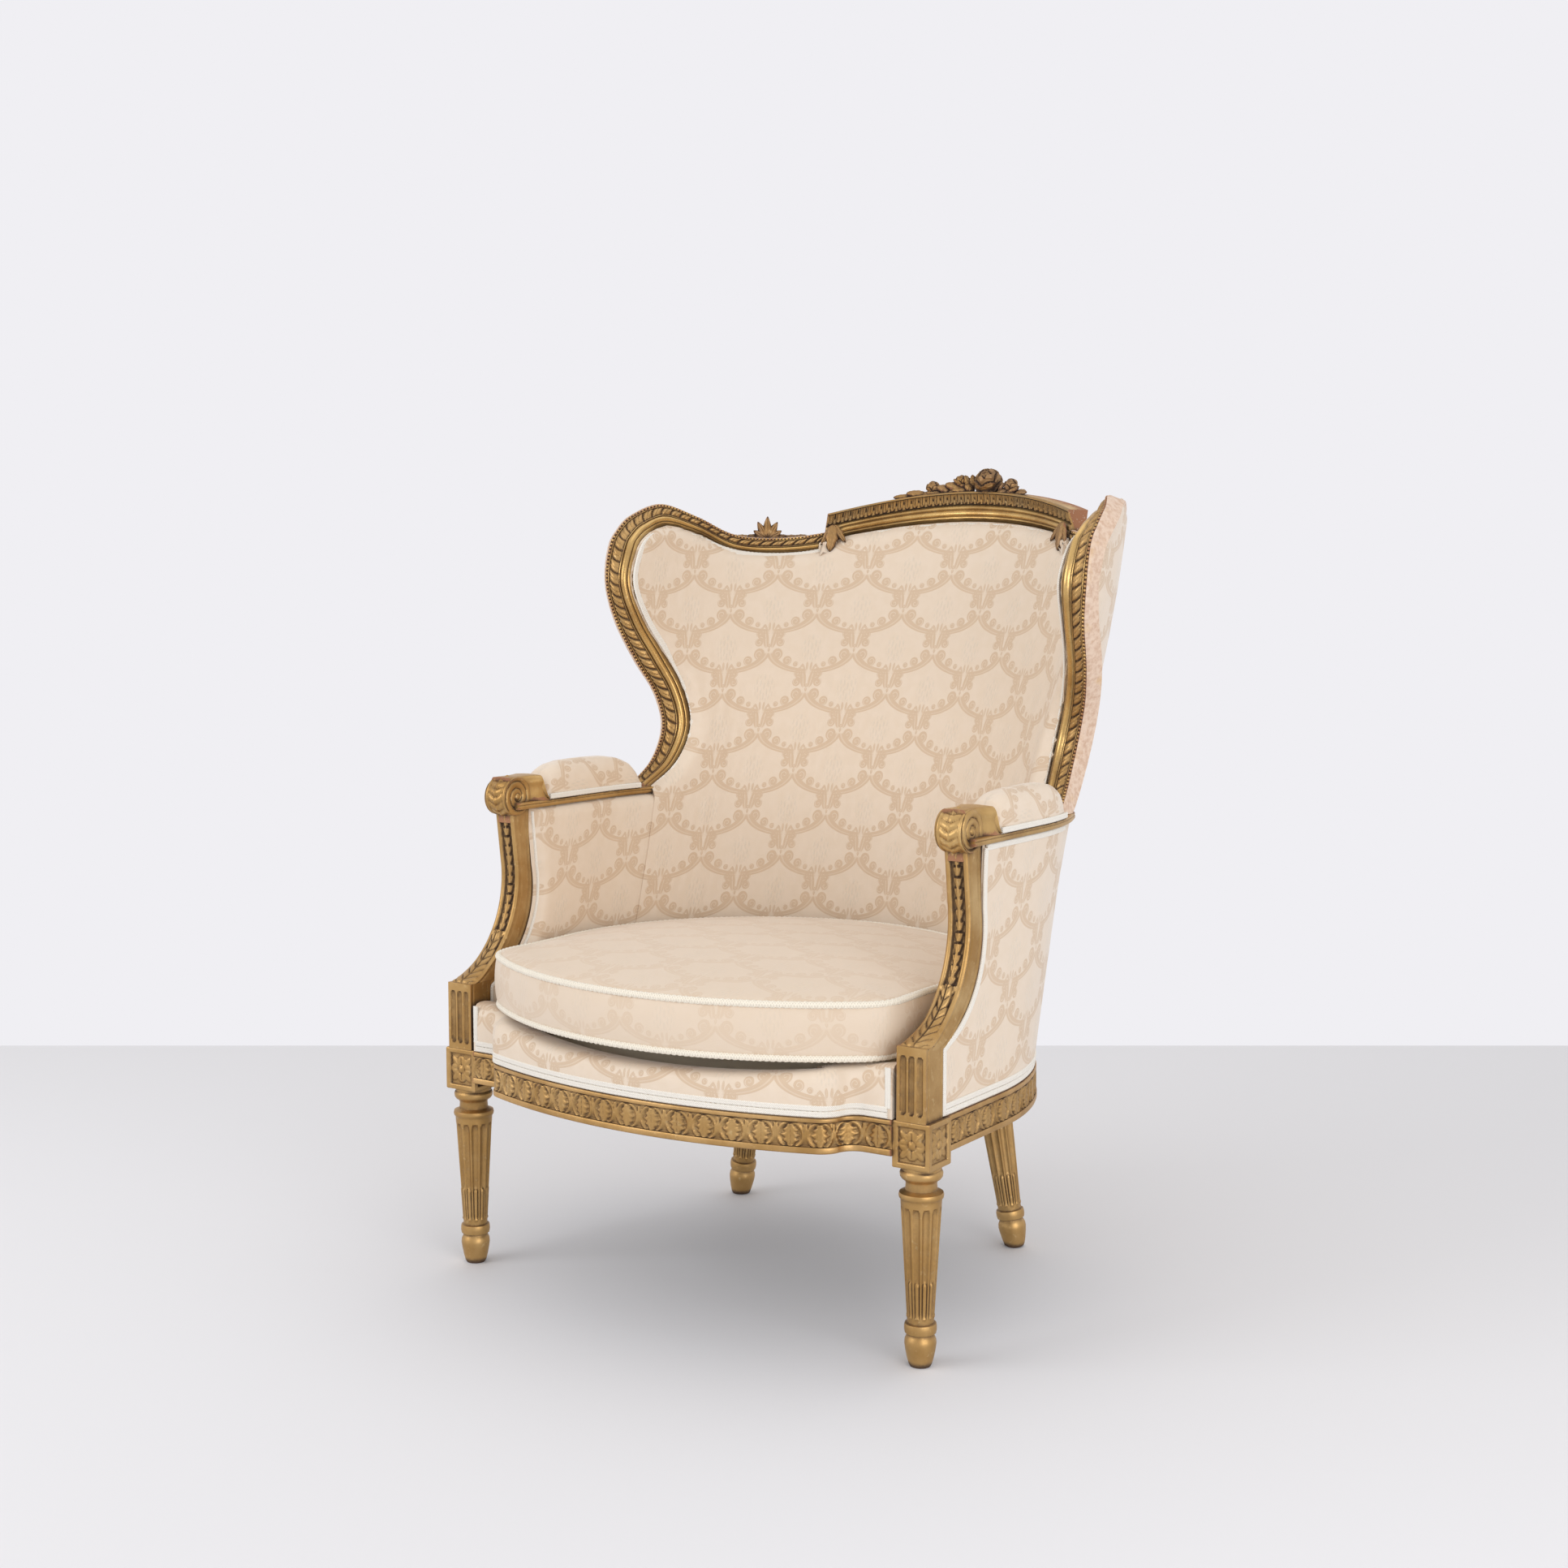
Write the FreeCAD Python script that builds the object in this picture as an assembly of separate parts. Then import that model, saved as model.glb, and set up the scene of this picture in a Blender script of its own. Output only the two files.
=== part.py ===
import FreeCAD, Part
import math
import os

from FreeCAD import Vector

# Overall sizes, in millimetres
SEAT_RAIL_BOTTOM = 248.0
SEAT_RAIL_HEIGHT = 42.0
RAIL_THICKNESS = 30.0
RAIL_PROUD = 4.0
FRONT_LEG_X = 339.0
REAR_FOOT_X = 226.0
REAR_FOOT_Y = 452.0
ARM_HEIGHT = 604.0
BOW_DEPTH = 83.0

# Horseshoe shell: half width at the seat, flare of the wings, rake of the back
SIDE_HALF_WIDTH = 358.0
WING_FLARE = 25.0
FLARE_FROM = 480.0
FLARE_HEIGHT = 450.0
SHELL_CENTRE_Y = 156.0
BACK_RAKE = 0.285

# Layers of the shell, counted inwards from the outside fabric
COVER_THICKNESS = 3.0
FRAME_THICKNESS = 25.0
PAD_BACK = 14.0
SIDE_PAD_FACE = 47.0
FIT_GAP = 0.3
SEAM_ANGLE = 38.0

# Turned and fluted legs
DIE_SIZE = 49.0
DIE_HEIGHT = 54.5
LEG_TOP_RADIUS = 24.0
LEG_FOOT_RADIUS = 15.5
NECK_RADIUS = 18.0
FOOT_HEIGHT = 52.0
FOOT_RADIUS = 18.5
FLUTE_COUNT = 12
TURNED_STEPS = 18
FLUTE_DEPTH = 3.0
FLUTE_SHARE = 0.72
REAR_LEG_SPLAY_X = 36.0
REAR_LEG_SPLAY_Y = 13.0
TENON_WIDTH = 20.0
TENON_THICKNESS = 14.0
TENON_LENGTH = 30.0
TENON_FIT = 0.1

# Arm supports, scrolls and arm rails
POST_SIZE = 38.5
POST_HEIGHT = 84.0
POST_FLUTES = 3
SUPPORT_WIDTH = 30.0
SUPPORT_X = 341.0
SUPPORT_DEPTH = 27.0
ARM_WIDTH = 51.0
ARM_RAIL_DEPTH = 27.0
ARM_LIP = 9.0
SUPPORT_TOP_Y = 70.5
SCROLL_RADIUS = 25.5
SCROLL_WIDTH = 33.0
SCROLL_Y = 77.0
SCROLL_Z = 612.0
ARM_BLOCK_END = 120.5
ARM_BLOCK_RISE = 32.0
ARM_END_ANGLE = 24.0
LOOSE_TENON_WIDTH = 16.0
LOOSE_TENON_THICKNESS = 9.0
LOOSE_TENON_LENGTH = 36.0

# Crest rail with its cornice
CREST_END_ANGLE = 55.5
CREST_TOP = 1024.0
CREST_ARCH = 31.0
CREST_HEIGHT = 44.0
CREST_END_DROP = 20.0
CORNICE_HEIGHT = 18.0
CORNICE_PROUD = 10.0
SPRAY_HEIGHT = 22.0
FLOWER_PETALS = 6
PALMETTE_RADIUS = 22.0
PALMETTE_LOBES = 5
PALMETTE_THICKNESS = 12.0
PALMETTE_ANGLE = 42.0

# Seat upholstery and loose cushion
WEB_THICKNESS = 2.0
WEB_WIDTH = 52.0
WEB_LAP = 18.0
WEB_PLACES_X = (0.0, 108.0, 226.0)
WEB_PLACES_Y = (-96.0, 0.0, 96.0, 196.0)
LINING_THICKNESS = 1.0
LINING_STEPS = 16
PLATFORM_HEIGHT = 58.0
PLATFORM_INSET = 61.0
BORDER_DEPTH = 42.0
BORDER_HEIGHT = 53.0
CUSHION_HALF_WIDTH = 303.0
CUSHION_BOXING = 66.0
CUSHION_REAR_GAP = 8.0
CUSHION_CROWN = 22.0
CUSHION_BULGE = 8.0
CROWN_REACH = 230.0
CROWN_STEPS = 4
CUSHION_STEPS = 7
CUSHION_FRONT_RADIUS = 440.0
CUSHION_OVERHANG = 12.0
CUSHION_CORNER = 34.0
ARM_PAD_WIDTH = 56.0
ARM_PAD_HEIGHT = 50.0
ARM_PAD_START = 132.0
ARM_PAD_REAR_GAP = 12.0
ARM_PAD_STEPS = 8

# Hidden rails, blocks and screws
STILE_WIDTH_ANGLE = 6.0
BACK_STILE_ANGLE = 57.0
TACK_RAIL_LIFT = 42.0
TACK_RAIL_HEIGHT = 32.0
BLOCK_INSET = 4.0
BLOCK_LEG = 70.0

# Derived heights and faces
RAIL_TOP = SEAT_RAIL_BOTTOM + SEAT_RAIL_HEIGHT
DIE_BOTTOM = RAIL_TOP - DIE_HEIGHT
POST_TOP = RAIL_TOP + POST_HEIGHT
ARM_BOTTOM = ARM_HEIGHT - ARM_RAIL_DEPTH
WEB_TOP = RAIL_TOP + WEB_THICKNESS
PLATFORM_TOP = WEB_TOP + PLATFORM_HEIGHT
DIE_INNER_X = FRONT_LEG_X - DIE_SIZE / 2
FRONT_FACE_Y = -DIE_SIZE / 2 - RAIL_PROUD
POST_X = FRONT_LEG_X
POST_FRONT_Y = -DIE_SIZE / 2
FAR = 2000.0

# Levels at which the flared shell's ruled panels are drawn
SHELL_LEVELS = [RAIL_TOP, FLARE_FROM, 590.0, 700.0, 820.0, 930.0, 1000.0]
FRONT_STEPS = 5
SIDE_STEPS = 5
BACK_STEPS = 9
COVER_STEPS = 9
BACK_COVER_STEPS = 13

# Stations of the wing frame's loft
WING_STEPS = 20

# Wing frame guide rows: angle round the plan, height above the arm, inset from the fabric
WING_OUTER = [
    (15.5, 0, 8),
    (20.6, 34, 8),
    (22.3, 81, 8),
    (19.1, 129, 8),
    (12.4, 177, 8),
    (4.8, 236, 8),
    (0.9, 289, 4),
    (0.1, 338, 4),
    (2.0, 364, 4),
    (5.6, 386, 7),
    (12.5, 402, 20),
    (22.9, 384, 25),
    (33.8, 358, 25),
    (45.6, 354, 25),
    (55.5, 362, 25),
]
WING_INNER = [
    (17.8, 0, 40),
    (24.4, 30, 41),
    (27.5, 80, 41),
    (24.5, 132, 42),
    (17.9, 181, 45),
    (9.0, 234, 48),
    (2.3, 289, 49),
    (3.2, 336, 46),
    (5.0, 350, 43),
    (8.0, 360, 39),
    (14.0, 370, 31),
    (23.9, 358, 26),
    (34.3, 333, 26),
    (45.6, 329, 26),
    (55.5, 334, 26),
]

# Moulding of the wing frame: share of the width, height over the face
WING_MOULDING = [
    (0.0, -3.0),
    (0.06, 0.5),
    (0.22, 3.5),
    (0.36, 3.5),
    (0.42, 0.0),
    (0.6, 0.0),
    (0.74, 4.5),
    (0.9, 0.0),
    (1.0, -5.0),
]

# Moulding of the crest under its cornice: share of the height below it, height over the face
CREST_MOULDING = [
    (0.12, 1.0),
    (0.2, 4.0),
    (0.45, 5.0),
    (0.66, 0.0),
    (1.0, -5.0),
]

# Inner faces of the panels: height above the rail top, inset at the seam, inset at the middle
PAD_FACES = [
    (WEB_THICKNESS, 52.0, 56.0),
    (150.0, 58.0, 66.0),
    (314.0, 60.0, 70.0),
    (420.0, 57.0, 64.0),
    (520.0, 50.0, 56.0),
    (600.0, 40.0, 46.0),
    (650.0, 33.0, 38.0),
    (720.0, 30.0, 32.0),
]


def ease(t):
    t = min(max(t, 0.0), 1.0)
    return t * t * (3.0 - 2.0 * t)


def half_width(z):
    return SIDE_HALF_WIDTH + WING_FLARE * ease((z - FLARE_FROM) / FLARE_HEIGHT)


def centre_y(z):
    return SHELL_CENTRE_Y + BACK_RAKE * (z - RAIL_TOP)


def shell_point(angle, z, inset):
    radius = half_width(z) - inset
    turn = math.radians(angle)
    return Vector(radius * math.cos(turn), centre_y(z) + radius * math.sin(turn), z)


def three_point_arc(a, b, c):
    return Part.Arc(a, b, c).toShape()


def polygon_face(points):
    return Part.Face(Part.makePolygon(points + [points[0]]))


def prism(points, direction):
    return polygon_face(points).extrude(direction)


def loft(wires):
    return Part.makeLoft(wires, True, True)


def facets(a, b, c, d):
    """One flat facet through four points, or two where the four don't lie flat."""
    twist = (b - a).cross(c - a).dot(d - a)
    corners = [[a, b, c, d]] if abs(twist) < 1e-4 else [[a, b, c], [a, c, d]]
    return [polygon_face(points) for points in corners]


def skin(rows):
    """Closed solid through matching rows of points, with flat facets and flat ends."""
    faces = [polygon_face(rows[0]), polygon_face(rows[-1])]
    for low, high in zip(rows, rows[1:]):
        for i in range(len(low)):
            faces += facets(low[i - 1], low[i], high[i], high[i - 1])
    sewn = Part.makeCompound(faces)
    sewn.sewShape()
    solid = Part.makeSolid(sewn.Shells[0] if sewn.Shells else Part.makeShell(faces))
    return solid if solid.Volume > 0 else solid.reversed()


def row_points(edges, steps):
    """Points round a closed chain of edges, with each arc cut into a number of equal steps."""
    chain = [edge.discretize(Number=2 if edge.Curve.TypeId == "Part::GeomLine" else steps + 1) for edge in edges]
    points = []
    for index, spots in enumerate(chain):
        following = chain[(index + 1) % len(chain)]
        ahead = min(spots[-1].distanceToPoint(following[0]), spots[-1].distanceToPoint(following[-1]))
        if ahead > 1e-3:
            spots = spots[::-1]
        points += spots[:-1]
    return points


def mirrored(shape):
    return shape.mirror(Vector(0, 0, 0), Vector(1, 0, 0))


def largest_solid(shape):
    return max(shape.Solids, key=lambda solid: solid.Volume)


def cut_all(shape, tools):
    for tool in tools:
        shape = shape.cut(tool)
    return largest_solid(shape)


def arc_edges(start, end, z, inset):
    if start < 90.0 < end:
        return arc_edges(start, 90.0, z, inset) + arc_edges(90.0, end, z, inset)
    middle = shell_point((start + end) / 2, z, inset)
    return [three_point_arc(shell_point(start, z, inset), middle, shell_point(end, z, inset))]


def band_wire(start, end, z, outer, inner):
    outside = arc_edges(start, end, z, outer)
    inside = arc_edges(start, end, z, inner)
    first = Part.makeLine(shell_point(start, z, inner), shell_point(start, z, outer))
    last = Part.makeLine(shell_point(end, z, outer), shell_point(end, z, inner))
    return Part.Wire(Part.__sortEdges__(outside + [last] + inside + [first]))


def band(start, end, heights, outer, inner):
    return loft([band_wire(start, end, z, outer, inner) for z in heights])


def side_edges(front_y, end, z, outer, inner, middle_inner=None, end_inner=None):
    """Closed plan line of a side panel: straight to the shell's centre line, then round it."""
    if middle_inner is None:
        middle_inner = inner
    if end_inner is None:
        end_inner = inner
    start_out = Vector(half_width(z) - outer, front_y, z)
    start_in = Vector(half_width(z) - inner, front_y, z)
    turn_in = shell_point(0, z, inner)
    end_in = shell_point(end, z, end_inner)
    edges = [Part.makeLine(start_out, shell_point(0, z, outer))]
    edges += arc_edges(0, end, z, outer)
    edges.append(Part.makeLine(shell_point(end, z, outer), end_in))
    edges.append(three_point_arc(end_in, shell_point(end / 2, z, middle_inner), turn_in))
    edges.append(Part.makeLine(turn_in, start_in))
    edges.append(Part.makeLine(start_in, start_out))
    return edges


def side_wire(front_y, end, z, outer, inner):
    return Part.Wire(Part.__sortEdges__(side_edges(front_y, end, z, outer, inner)))


def front_outline(offset):
    """Edges of the bowed front line between the die blocks, moved back by an offset."""
    y = FRONT_FACE_Y + offset
    end_x = DIE_INNER_X
    step_x = end_x - 36.5
    knee_x = end_x - 56.5
    bow_x = end_x - 78.5
    bow_y = y - BOW_DEPTH * 0.5
    left = [
        Vector(end_x, y, 0),
        Vector(step_x, y - 1, 0),
        Vector((step_x + knee_x) / 2 - 4, y - 8, 0),
        Vector(knee_x, y - 21, 0),
        Vector((knee_x + bow_x) / 2 + 3, bow_y + 8, 0),
        Vector(bow_x, bow_y, 0),
    ]
    right = [Vector(-p.x, p.y, 0) for p in left]
    edges = [Part.makeLine(left[0], left[1])]
    edges.append(three_point_arc(left[1], left[2], left[3]))
    edges.append(three_point_arc(left[3], left[4], left[5]))
    edges.append(three_point_arc(left[5], Vector(0, y - BOW_DEPTH, 0), right[5]))
    edges.append(three_point_arc(right[5], right[4], right[3]))
    edges.append(three_point_arc(right[3], right[2], right[1]))
    edges.append(Part.makeLine(right[1], right[0]))
    return edges, left[0], right[0]


def front_bar(outer_offset, inner_offset, low, high):
    """Bar that follows the bowed front between two offsets, from one height to another."""
    outer, outer_left, outer_right = front_outline(outer_offset)
    inner, inner_left, inner_right = front_outline(inner_offset)
    ends = [Part.makeLine(outer_left, inner_left), Part.makeLine(outer_right, inner_right)]
    wire = Part.Wire(Part.__sortEdges__(outer + inner + ends))
    bar = Part.Face(wire).extrude(Vector(0, 0, high - low))
    bar.translate(Vector(0, 0, low))
    return bar


def star_section(radius, depth, z):
    """Cross-section of a fluted shaft: a narrow fillet between every two hollow flutes."""
    points = []
    pitch = 2 * math.pi / FLUTE_COUNT
    for index in range(FLUTE_COUNT):
        start = index * pitch
        edge = pitch * (1 - FLUTE_SHARE) / 2
        bed = pitch * FLUTE_SHARE * 0.3
        for turn, reach in (
            (start - edge, radius),
            (start + edge, radius),
            (start + pitch / 2 - bed, radius - depth),
            (start + pitch / 2 + bed, radius - depth),
        ):
            points.append(Vector(reach * math.cos(turn), reach * math.sin(turn), z))
    return points


def fluted_shaft(low, high, radius_low, radius_high):
    """Tapered shaft whose flutes run out a little short of both ends."""
    rise = (high - low) / (radius_high - radius_low)
    rows = [(low, 0.0), (low + 10.0, 1.0), (high - 14.0, 1.0), (high - 9.0, 0.0), (high, 0.0)]
    sections = []
    for z, share in rows:
        radius = radius_low + (z - low) / rise
        depth = max(FLUTE_DEPTH * share * radius / radius_high, 0.01)
        sections.append(star_section(radius, depth, z))
    return skin(sections)


def turned(rows):
    """Turned piece through radius and height rows, with a fixed number of flats round it."""
    sections = []
    for radius, z in rows:
        turns = [2 * math.pi * (step + 0.5) / TURNED_STEPS for step in range(TURNED_STEPS)]
        sections.append([Vector(radius * math.cos(a), radius * math.sin(a), z) for a in turns])
    return skin(sections)


def turned_foot():
    rows = [
        (FOOT_RADIUS * 0.68, 0.0),
        (FOOT_RADIUS * 0.97, 26.0),
        (FOOT_RADIUS, 31.0),
        (FOOT_RADIUS * 0.84, FOOT_HEIGHT - 14.0),
        (FOOT_RADIUS, FOOT_HEIGHT - 12.0),
        (FOOT_RADIUS, FOOT_HEIGHT),
    ]
    return turned(rows)



def front_leg():
    ring = DIE_BOTTOM - 37.5
    rows = [
        (LEG_TOP_RADIUS + 1.5, ring),
        (LEG_TOP_RADIUS + 1.5, ring + 6.0),
        (NECK_RADIUS, ring + 8.5),
        (NECK_RADIUS, DIE_BOTTOM - 19.5),
        (LEG_TOP_RADIUS + 0.5, DIE_BOTTOM - 12.0),
        (LEG_TOP_RADIUS - 0.5, DIE_BOTTOM),
    ]
    shaft = fluted_shaft(FOOT_HEIGHT, ring, LEG_FOOT_RADIUS, LEG_TOP_RADIUS)
    corner = Vector(-DIE_SIZE / 2, -DIE_SIZE / 2, DIE_BOTTOM)
    die = Part.makeBox(DIE_SIZE, DIE_SIZE, DIE_HEIGHT, corner)
    die = sunk_panel(die, Vector(0, -1, 0))
    die = sunk_panel(die, Vector(1, 0, 0))
    leg = turned_foot().fuse([shaft, turned(rows), die])
    leg.translate(Vector(FRONT_LEG_X, 0, 0))
    return leg


def sunk_panel(die, normal):
    """Sink the square field that holds the rosette into one face of the die block."""
    border = 7.0
    depth = 2.5
    field = DIE_SIZE - 2 * border
    panel = Part.makeBox(field, field, field)
    panel.translate(Vector(-field / 2, -field / 2, RAIL_TOP - DIE_HEIGHT / 2 - field / 2))
    panel.translate(normal * (DIE_SIZE / 2 + field / 2 - depth))
    return die.cut(panel)


def rear_leg_top():
    return Vector(REAR_FOOT_X - REAR_LEG_SPLAY_X, REAR_FOOT_Y - REAR_LEG_SPLAY_Y, SEAT_RAIL_BOTTOM)


def rear_leg():
    """Raked fluted leg, cut level at the floor and under the rail, with a tenon above."""
    spare = 12.0
    foot_pad = turned([(FOOT_RADIUS * 0.6, -spare), (FOOT_RADIUS * 0.68, 0.0)])
    shaft = fluted_shaft(FOOT_HEIGHT, SEAT_RAIL_BOTTOM, LEG_FOOT_RADIUS, LEG_TOP_RADIUS)
    head = turned([(LEG_TOP_RADIUS, SEAT_RAIL_BOTTOM), (LEG_TOP_RADIUS, SEAT_RAIL_BOTTOM + spare)])
    leg = turned_foot().fuse([foot_pad, shaft, head])
    foot = Vector(REAR_FOOT_X, REAR_FOOT_Y, 0)
    lean = rear_leg_top() - foot
    turn_axis = Vector(0, 0, 1).cross(lean)
    leg.rotate(Vector(0, 0, 0), turn_axis, math.degrees(lean.getAngle(Vector(0, 0, 1))))
    leg.translate(foot)
    reach = 400.0
    keep = Part.makeBox(reach, reach, SEAT_RAIL_BOTTOM, foot - Vector(reach / 2, reach / 2, 0))
    return largest_solid(leg.common(keep).fuse(tenon(0.0)).removeSplitter())


def tenon(clearance):
    """Square tenon on the rear leg, or its mortise when a clearance is given."""
    wide = TENON_WIDTH + 2 * clearance
    thick = TENON_THICKNESS + 2 * clearance
    corner = rear_leg_top() - Vector(wide / 2, thick / 2, 0)
    return Part.makeBox(wide, thick, TENON_LENGTH + clearance, corner)


def front_rail():
    """Bowed front rail: a recessed band for the carved leaves between two fillets."""
    base = front_bar(0.0, RAIL_THICKNESS, SEAT_RAIL_BOTTOM, SEAT_RAIL_BOTTOM + 8.0)
    carved = front_bar(3.0, RAIL_THICKNESS, SEAT_RAIL_BOTTOM + 8.0, RAIL_TOP - 6.0)
    top = front_bar(1.0, RAIL_THICKNESS, RAIL_TOP - 6.0, RAIL_TOP)
    return base.fuse([carved, top]).removeSplitter()


def side_rail_layer(proud, low, high, start_angle, end_angle):
    """One height of the curved side rail, straight from the die block and then round the shell."""
    outer = half_width(RAIL_TOP) + proud
    inner = half_width(RAIL_TOP) - RAIL_THICKNESS + RAIL_PROUD
    centre = Vector(0, centre_y(RAIL_TOP), low)

    def spot(radius, angle):
        turn = math.radians(angle)
        return centre + Vector(radius * math.cos(turn), radius * math.sin(turn), 0)

    middle = (start_angle + end_angle) / 2
    edges = [three_point_arc(spot(outer, start_angle), spot(outer, middle), spot(outer, end_angle))]
    edges.append(three_point_arc(spot(inner, start_angle), spot(inner, middle), spot(inner, end_angle)))
    edges.append(Part.makeLine(spot(outer, end_angle), spot(inner, end_angle)))
    if start_angle == 0:
        front_out = Vector(outer, DIE_SIZE / 2, low)
        front_in = Vector(inner, DIE_SIZE / 2, low)
        edges.append(Part.makeLine(spot(outer, 0), front_out))
        edges.append(Part.makeLine(front_out, front_in))
        edges.append(Part.makeLine(front_in, spot(inner, 0)))
    else:
        edges.append(Part.makeLine(spot(outer, start_angle), spot(inner, start_angle)))
    wire = Part.Wire(Part.__sortEdges__(edges))
    return Part.Face(wire).extrude(Vector(0, 0, high - low))


def curved_rail(start_angle, end_angle):
    layers = [
        side_rail_layer(RAIL_PROUD, SEAT_RAIL_BOTTOM, SEAT_RAIL_BOTTOM + 8, start_angle, end_angle),
        side_rail_layer(RAIL_PROUD - 3, SEAT_RAIL_BOTTOM + 8, RAIL_TOP - 6, start_angle, end_angle),
        side_rail_layer(RAIL_PROUD - 1, RAIL_TOP - 6, RAIL_TOP, start_angle, end_angle),
    ]
    return layers[0].fuse(layers[1:]).removeSplitter()


def support_front_edge():
    """Concave front sweep of the arm support, from the post up to the scroll."""
    foot = Vector(0, POST_FRONT_Y + 1.0, POST_TOP)
    belly = Vector(0, POST_FRONT_Y + 80.0, POST_TOP + 54.0)
    upright = Vector(0, SUPPORT_TOP_Y + 9.5, (POST_TOP + ARM_BOTTOM) / 2 + 42.0)
    top = Vector(0, SUPPORT_TOP_Y, ARM_BOTTOM)
    return foot, belly, upright, top


def support_back_edge():
    """Rear sweep, where the outside fabric and its braid meet the wood."""
    shift = Vector(0, SUPPORT_DEPTH, -12.0)
    foot, belly, upright, top = support_front_edge()
    return foot + shift, belly + shift, upright + Vector(0, SUPPORT_DEPTH, 0), top + Vector(0, SUPPORT_DEPTH + 6, 0)


def arm_support():
    """Fluted square post that grows into the C-shaped console under the scroll."""
    front = support_front_edge()
    back = support_back_edge()
    post_back = Vector(0, POST_FRONT_Y + POST_SIZE, RAIL_TOP)
    edges = [Part.makeLine(Vector(0, POST_FRONT_Y, RAIL_TOP), Vector(0, POST_FRONT_Y, POST_TOP))]
    edges.append(Part.makeLine(Vector(0, POST_FRONT_Y, POST_TOP), front[0]))
    edges.append(three_point_arc(front[0], front[1], front[2]))
    edges.append(Part.makeLine(front[2], front[3]))
    edges.append(Part.makeLine(front[3], back[3]))
    edges.append(Part.makeLine(back[3], back[2]))
    knee = Vector(0, post_back.y, back[0].z + 8.0)
    edges.append(three_point_arc(back[2], back[1], knee))
    edges.append(Part.makeLine(knee, post_back))
    edges.append(Part.makeLine(post_back, Vector(0, POST_FRONT_Y, RAIL_TOP)))
    side_view = Part.Face(Part.Wire(Part.__sortEdges__(edges)))
    slab = side_view.extrude(Vector(FAR, 0, 0))
    return cut_all(slab.common(support_front_view()), post_flutes() + [front_channel()])


def support_front_view():
    """Front outline of the support: the square post, then a shoulder in to the console."""
    low = RAIL_TOP
    shoulder = POST_TOP + 6.0
    waist = POST_TOP + 34.0
    post = POST_SIZE / 2
    console = SUPPORT_WIDTH / 2
    points = [
        Vector(POST_X - post, -FAR, low),
        Vector(POST_X + post, -FAR, low),
        Vector(POST_X + post, -FAR, shoulder),
        Vector(SUPPORT_X + console, -FAR, waist),
        Vector(SUPPORT_X + console, -FAR, ARM_HEIGHT),
        Vector(SUPPORT_X - console, -FAR, ARM_HEIGHT),
        Vector(SUPPORT_X - console, -FAR, waist),
        Vector(POST_X - post, -FAR, shoulder),
    ]
    return prism(points, Vector(0, 2 * FAR, 0))


def post_flutes():
    """Flutes on the front of the post, hollowed with bevelled sides and ends."""
    cutters = []
    pitch = POST_SIZE / (POST_FLUTES + 0.6)
    for index in range(POST_FLUTES):
        x = POST_X + (index - (POST_FLUTES - 1) / 2) * pitch
        low = RAIL_TOP + 8.0
        high = POST_TOP - 8.0
        rows = [(0.0, 0.36, 0.0), (FLUTE_DEPTH, 0.18, 4.0)]
        wires = []
        for depth, share, end in rows:
            y = POST_FRONT_Y + depth
            half = pitch * share
            corners = [
                Vector(x - half, y, low + end),
                Vector(x + half, y, low + end),
                Vector(x + half, y, high - end),
                Vector(x - half, y, high - end),
            ]
            wires.append(corners)
        cutters.append(skin(wires))
    return cutters


def front_channel():
    """Hollow down the front face of the console, which holds the carved husks."""
    width = SUPPORT_WIDTH - 14.0
    depth = Vector(0, 4.0, -2.0)
    foot, belly, upright, top = support_front_edge()
    low = foot + Vector(0, 58.0, 22.0)
    out = Vector(0, -30.0, 20.0)
    edges = [Part.makeLine(low + out, low + depth)]
    edges.append(three_point_arc(low + depth, belly + depth, upright + depth))
    edges.append(Part.makeLine(upright + depth, top + Vector(0, 4.0, -14.0)))
    edges.append(Part.makeLine(top + Vector(0, 4.0, -14.0), top + Vector(0, -40.0, -14.0)))
    edges.append(Part.makeLine(top + Vector(0, -40.0, -14.0), low + out))
    face = Part.Face(Part.Wire(Part.__sortEdges__(edges)))
    channel = face.extrude(Vector(width, 0, 0))
    channel.translate(Vector(SUPPORT_X - width / 2, 0, 0))
    return channel


def arm_plan(narrow=0.0):
    """Plan of the arm rail: straight, then round the shell to its rear end."""
    z = ARM_HEIGHT
    outer = half_width(z) - (SUPPORT_X + ARM_WIDTH / 2) + narrow
    inner = half_width(z) - (SUPPORT_X - ARM_WIDTH / 2) - narrow
    plan = Part.Face(side_wire(SUPPORT_TOP_Y - 2.0, ARM_END_ANGLE, z, outer, inner))
    plan.translate(Vector(0, 0, -z))
    return plan


def block_sides(step_y):
    """Cutters that narrow the raised block behind the scroll, and splay out to the full rail."""
    inner = SUPPORT_X - ARM_WIDTH / 2
    outer = SUPPORT_X + ARM_WIDTH / 2
    half = SCROLL_WIDTH / 2 - 1.0
    front_y = SUPPORT_TOP_Y - 20.0
    cutters = []
    for edge, face in ((inner - 5.0, SUPPORT_X - half), (outer + 5.0, SUPPORT_X + half)):
        points = [
            Vector(edge, front_y, ARM_BOTTOM),
            Vector(face, front_y, ARM_BOTTOM),
            Vector(face, step_y - 30.0, ARM_BOTTOM),
            Vector(edge, step_y + 4.0, ARM_BOTTOM),
        ]
        cutters.append(prism(points, Vector(0, 0, FAR)))
    return cutters


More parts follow.
